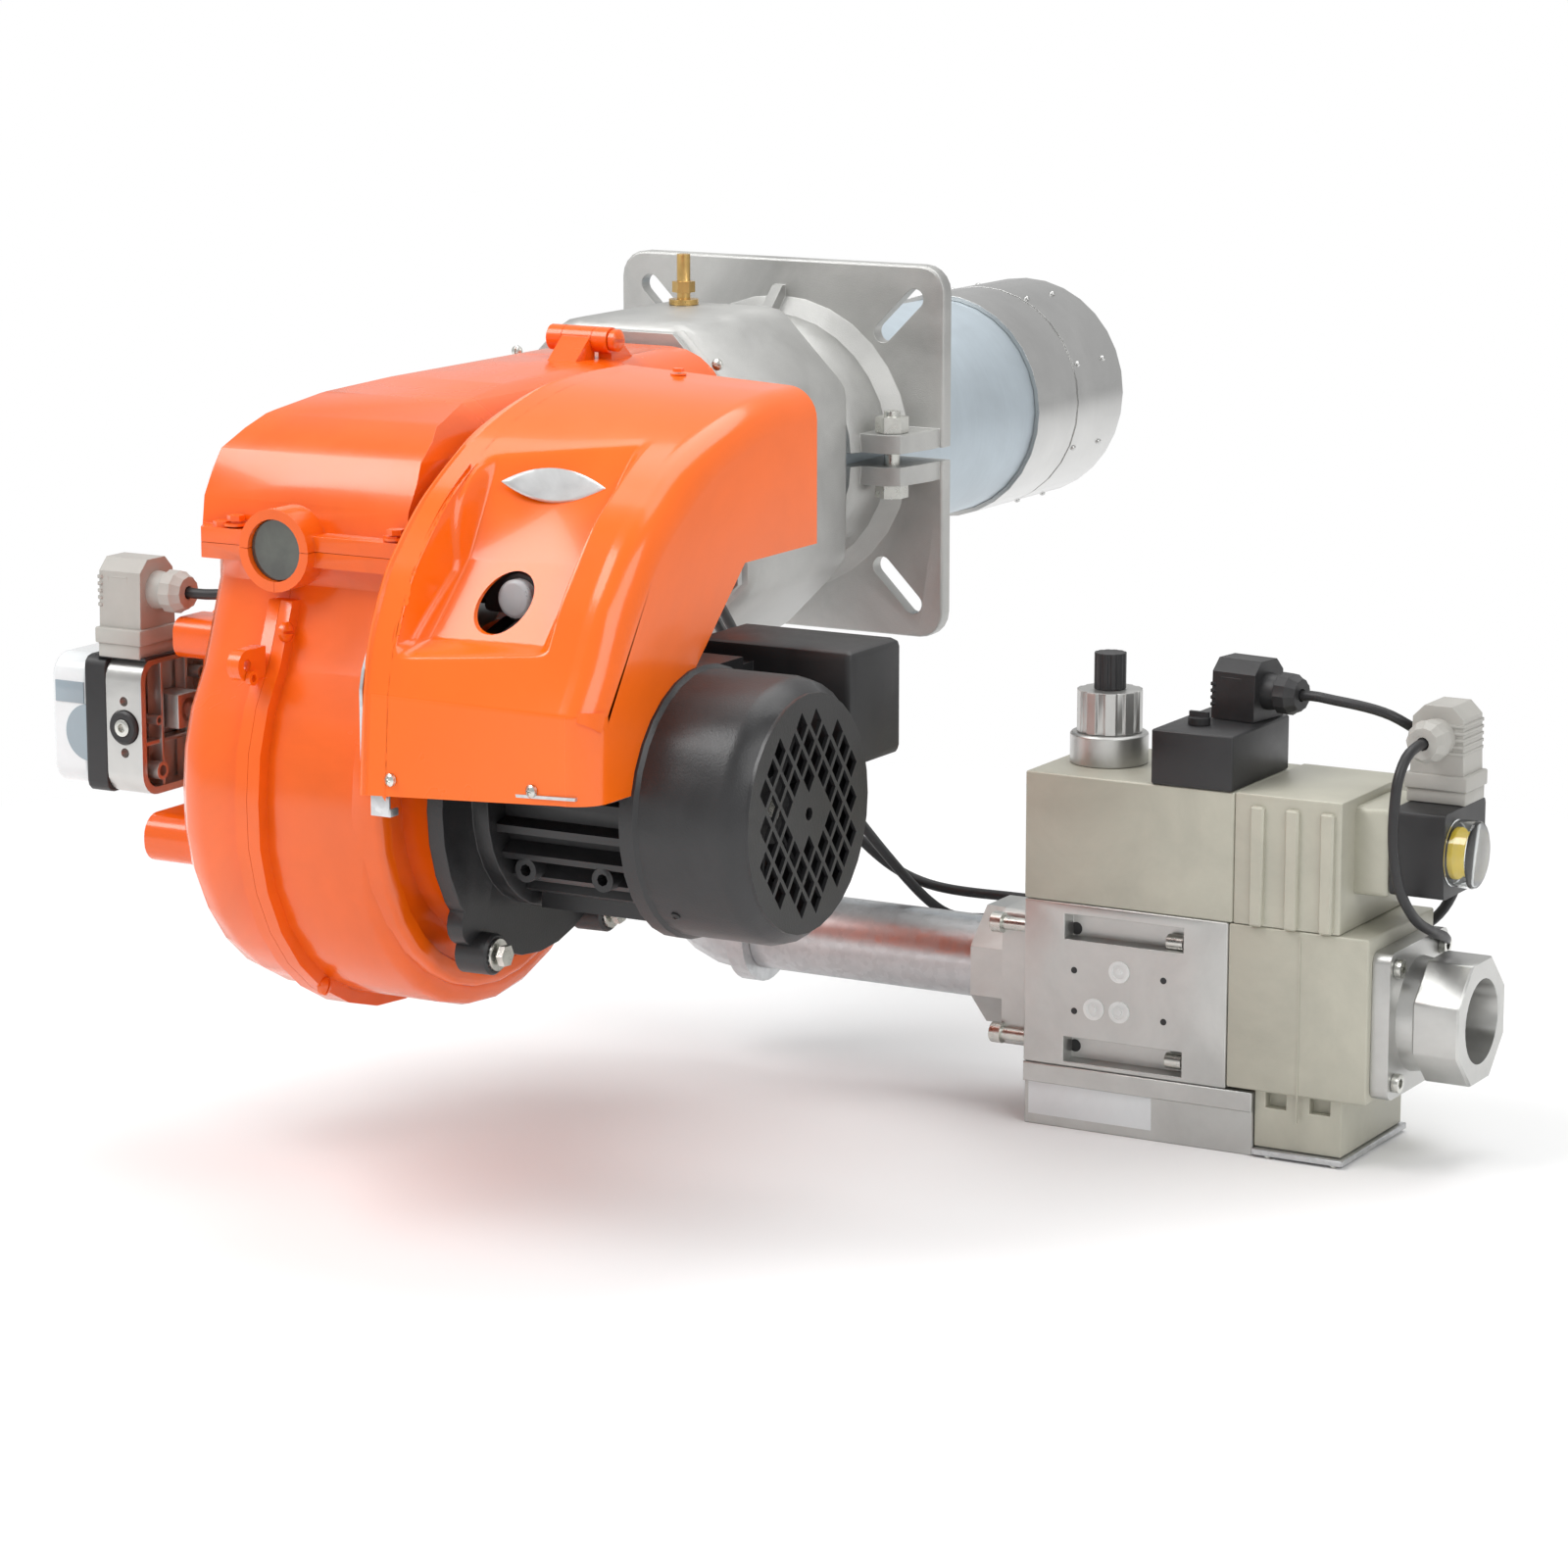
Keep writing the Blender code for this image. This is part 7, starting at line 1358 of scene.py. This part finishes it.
AIR_CORD = (
    gland_point(AIR_PLUG, AIR_TURN, 0.0, -0.010),
    gland_point(AIR_PLUG, AIR_TURN, 0.0, 0.0),
    gland_point(AIR_PLUG, AIR_TURN, 0.0, 0.014),
    (-0.1250, -0.5505, -0.0500), (-0.1072, -0.5455, -0.0480), (-0.0945, -0.5320, -0.0450),
    (-0.0895, -0.5150, -0.0420), (-0.0870, -0.4600, -0.0360), (-0.0855, -0.4000, -0.0320),
    (-0.0855, -0.3450, -0.0300), (-0.0855, -0.3150, -0.0290), (-0.0827, -0.3023, -0.0280),
    (-0.0748, -0.2920, -0.0275), (-0.0636, -0.2862, -0.0270),
)


def smooth_route(points):
    """Even points along a smooth curve through the route's own points."""
    knots = [Vector(point) for point in points]
    knots = [knots[0] * 2 - knots[1], *knots, knots[-1] * 2 - knots[-2]]
    fine = []
    for before, start, end, after in zip(knots, knots[1:], knots[2:], knots[3:]):
        for step in range(16):
            fine.append(bent(before, start, end, after, step / 16))
    fine.append(knots[-2])
    lengths = [0.0]
    for first, second in zip(fine, fine[1:]):
        lengths.append(lengths[-1] + (second - first).length)
    count = int(lengths[-1] / CORD_SPACING)
    even, index = [], 0
    for step in range(count + 1):
        goal = lengths[-1] * step / count
        while index < len(lengths) - 2 and lengths[index + 1] < goal:
            index += 1
        share = (goal - lengths[index]) / (lengths[index + 1] - lengths[index])
        even.append(fine[index].lerp(fine[index + 1], min(share, 1.0)))
    return even, lengths[-1]


def lead(name, node, route, material):
    """Free cord as a curve with a round section."""
    points, length = smooth_route(route)
    curve = bpy.data.curves.new(name, "CURVE")
    curve.dimensions = "3D"
    curve.bevel_depth = CORD_DIAMETER / 2
    curve.bevel_resolution = 4
    curve.use_fill_caps = True
    line = curve.splines.new("POLY")
    line.points.add(len(points) - 1)
    for place, point in zip(line.points, points):
        place.co = (*point, 1.0)
    line.use_smooth = True
    curve.materials.append(material)
    piece = placed(name, curve)
    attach(piece, BODY_OF[node])
    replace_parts(piece, node)


class BURNER_OT_leads(BurnerOperator, bpy.types.Operator):
    """Free electric leads of the valve, the gas switch and the air switch"""

    bl_idname = "burner.leads"
    bl_label = "Leads"

    def build(self, looks, sizes):
        lead("valve_lead", "valve_cable", VALVE_CORD, looks["rubber_and_hole_shade"])
        lead("switch_lead", "switch_cable", GAS_CORD, looks["rubber_and_hole_shade"])
        lead("air_lead", "air_switch_cable", AIR_CORD, looks["rubber_and_hole_shade"])


def plug_piece(name, node, place, turn, material, sunk=0.0, ribs=5):
    """Right-angle connector: stepped foot, ribbed body with chamfered top, gland with nut."""
    bm = bmesh.new()
    wide, deep = PLUG_BODY[0] / 2, PLUG_BODY[1] / 2
    tall = PLUG_TALL - sunk
    foot = max(0.020 - sunk, 0.0)
    shoulder = tall - PLUG_CHAMFER
    profile = [(-deep - 0.0012, foot * 0.9), (deep + 0.0012, foot * 0.9), (deep, shoulder),
               (deep - PLUG_CHAMFER, tall), (-deep + PLUG_CHAMFER, tall), (-deep, shoulder)]
    plate(bm, profile, "X", -wide, wide)
    if foot:
        half = Vector((PLUG_FLANGE[0] / 2, PLUG_FLANGE[1] / 2, 0))
        bar(bm, (-half.x, -half.y, 0.0095), (half.x, half.y, 0.0205), 0.0012)
        bar(bm, (-half.x + 0.002, -half.y + 0.0015, 0), (half.x - 0.002, half.y - 0.0015, 0.010),
            0.0006)
    for step in range(ribs):
        low = PLUG_TALL - 0.0335 - sunk + RIB_PITCH * step
        high = low + RIB_TALL
        for start, end in (((-wide - 0.0011, -deep + 0.013), (wide + 0.0011, deep + 0.0011)),
                           ((-wide - 0.0011, -deep - 0.0011), (-wide + 0.003, -deep + 0.001))):
            bar(bm, (*start, low), (*end, high), 0.0005)
    frame_low, frame_high = PLUG_TALL - 0.035 - sunk, PLUG_TALL - 0.012 - sunk
    for side in (-1, 1):
        for low, high in (((-0.0105, frame_low), (-0.0095, frame_high)),
                          ((0.0055, frame_low), (0.0065, frame_high)),
                          ((-0.0105, frame_low), (0.0065, frame_low + 0.001)),
                          ((-0.0105, frame_high - 0.001), (0.0065, frame_high))):
            face = side * (deep + 0.0003)
            bar(bm, (low[0], min(face, face - side * 0.001), low[1]),
                (high[0], max(face, face - side * 0.001), high[1]))
    high = GLAND_HIGH - sunk
    lathe(bm, (wide - 0.002, 0, high), (1, 0, 0),
          ((0, 0.0135), (0.004, 0.0132), (0.012, 0.0118), (0.013, 0.0105)), 32)
    lathe(bm, (wide + 0.0105, 0, high), (1, 0, 0),
          ((0, 0.0138), (0.0008, 0.0150), (0.0095, 0.0148), (0.0125, 0.0128),
           (0.0165, 0.0112), (0.0165, 0.0046), (0.0100, 0.0044)), 24,
          (1.0, 0.965, 1.0, 0.94))
    bmesh.ops.recalc_face_normals(bm, faces=bm.faces)
    bmesh.ops.transform(bm, verts=bm.verts, matrix=Matrix.Translation(place)
                        @ Matrix.Rotation(math.radians(turn), 4, "Z"))
    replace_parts(edged(new_piece(name, bm, material, BODY_OF[node], 30.0), 0.0004, 40.0), node)


FLOOR_REACH, FADE_CENTRE, FADE_START, FADE_END = 9.0, (0.15, -0.35, 0.0), 0.45, 1.35
WHITE_SEEN, WHITE_SHINE, WHITE_LIGHT = (1, 1, 1, 1), 0.62, 0.55
# Name, place, size, power and aim of each lamp
LAMPS = (("key", (-1.6, -2.2, 2.9), 2.2, 95.0, (0.15, -0.2, -0.1)),
         ("fill", (2.8, -1.6, 1.8), 2.0, 34.0, (0.2, -0.2, -0.1)),
         ("top", (0.3, 0.8, 3.0), 2.6, 50.0, (0.2, -0.1, 0.0)))
SENSOR, LENS, FAR_CLIP = 36.0, 110.6, 60.0
EYE_PLACE, EYE_TILT, EYE_TURN = (1.8066, -3.1735, 0.4822), 90 - 11.6, 29.7


class BURNER_OT_stage(bpy.types.Operator):
    """Floor, light and camera"""

    bl_idname = "burner.stage"
    bl_label = "Stage"

    def execute(self, context):
        scene = context.scene
        ground = CAD_BOX[0][2]
        bm = bmesh.new()
        corners = [bm.verts.new((x * FLOOR_REACH, y * FLOOR_REACH, ground)) for x, y in
                   ((-1, -1), (1, -1), (1, 1), (-1, 1))]
        bm.faces.new(corners)
        paint, tree, shader, place = new_material("floor_paint")
        grain = use_group(tree, "grain", Vector=place, Grain_Scale=300.0, Smudge_Scale=0.8)
        colour = tuple(scene.burner_colours.floor)
        feed(tree, shader, {
            "Base Color": blend(tree, grain.outputs["Smudge"], shade(colour, 0.995), colour),
            "Roughness": 0.9, "Specular IOR Level": 0.0})
        self.fade(tree, shader, place)
        new_piece("studio_floor", bm, paint, None, 0)
        self.light(scene)
        self.camera(scene)
        scene.view_settings.view_transform = "Standard"
        return {"FINISHED"}

    def fade(self, tree, shader, place):
        """Far floor turns to the backdrop's white, as the camera sees it."""
        apart = put(tree, "ShaderNodeVectorMath", {0: place, 1: FADE_CENTRE},
                    operation="SUBTRACT")
        flat = put(tree, "ShaderNodeVectorMath", {0: apart.outputs[0], 1: (1.0, 1.0, 0.0)},
                   operation="MULTIPLY")
        length = put(tree, "ShaderNodeVectorMath", {0: flat.outputs[0]}, operation="LENGTH")
        far = spread(tree, length.outputs["Value"], 0.0, 1.0, FADE_START, FADE_END)
        seen = tree.nodes.new("ShaderNodeLightPath")
        share = math_node(tree, "MULTIPLY", far, seen.outputs["Is Camera Ray"], True)
        white = put(tree, "ShaderNodeEmission", {"Color": WHITE_SEEN, "Strength": 1.0})
        mixed = tree.nodes.new("ShaderNodeMixShader")
        link_all(tree, (share, mixed.inputs[0]), (shader.outputs[0], mixed.inputs[1]),
                 (white.outputs[0], mixed.inputs[2]),
                 (mixed.outputs[0], tree.nodes["Material Output"].inputs["Surface"]))

    def light(self, scene):
        """White surroundings with a soft key and fill."""
        world = bpy.data.worlds.new("studio")
        scene.world = world
        world.use_nodes = True
        tree = world.node_tree
        back = tree.nodes["Background"]
        back.inputs["Color"].default_value = WHITE_SEEN
        seen = tree.nodes.new("ShaderNodeLightPath")
        direct = math_node(tree, "MAXIMUM", seen.outputs["Is Camera Ray"],
                           seen.outputs["Is Transmission Ray"])
        shiny = math_node(tree, "MULTIPLY", seen.outputs["Is Glossy Ray"], WHITE_SHINE)
        level = math_node(tree, "MAXIMUM", direct, shiny)
        tree.links.new(math_node(tree, "MAXIMUM", level, WHITE_LIGHT), back.inputs["Strength"])
        for name, place, size, power, aim in LAMPS:
            lamp = bpy.data.lights.new(name, "AREA")
            lamp.energy = power
            lamp.size = size
            lamp.color = (1.0, 1.0, 1.0)
            source = placed(name, lamp)
            source.location = place
            heading = Vector(aim) - Vector(place)
            source.rotation_euler = heading.to_track_quat("-Z", "Y").to_euler()

    def camera(self, scene):
        """Camera at the photograph's place and angle."""
        lens = bpy.data.cameras.new("camera")
        lens.sensor_width = SENSOR
        lens.lens = LENS
        lens.clip_end = FAR_CLIP
        eye = placed("camera", lens)
        eye.location = EYE_PLACE
        eye.rotation_euler = (math.radians(EYE_TILT), 0, math.radians(EYE_TURN))
        scene.camera = eye


STEPS = (BURNER_OT_stage, BURNER_OT_leads, BURNER_OT_head, BURNER_OT_block, BURNER_OT_casing,
         BURNER_OT_motor, BURNER_OT_hood, BURNER_OT_intake, BURNER_OT_gas_pipe,
         BURNER_OT_valve, BURNER_OT_gas_switch)


class BURNER_PT_panel(bpy.types.Panel):
    """Lists the settings and the building steps"""

    bl_idname = "BURNER_PT_panel"
    bl_label = "Gas burner"
    bl_space_type = "VIEW_3D"
    bl_region_type = "UI"
    bl_category = "Burner"

    def draw(self, context):
        column = self.layout.column()
        for settings in (context.scene.burner_colours, context.scene.burner_sizes):
            for name in settings.__annotations__:
                column.prop(settings, name)
        for step in STEPS:
            column.operator(step.bl_idname)


CLASSES = (BurnerColours, BurnerSizes, *STEPS, BURNER_PT_panel)


def register():
    for item in CLASSES:
        bpy.utils.register_class(item)
    bpy.types.Scene.burner_colours = bpy.props.PointerProperty(type=BurnerColours)
    bpy.types.Scene.burner_sizes = bpy.props.PointerProperty(type=BurnerSizes)


def unregister():
    del bpy.types.Scene.burner_sizes
    del bpy.types.Scene.burner_colours
    for item in reversed(CLASSES):
        bpy.utils.unregister_class(item)


def main():
    """Registers the add-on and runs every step."""
    register()
    for step in STEPS:
        group, name = step.bl_idname.split(".")
        getattr(getattr(bpy.ops, group), name)()


if __name__ == "__main__":
    main()
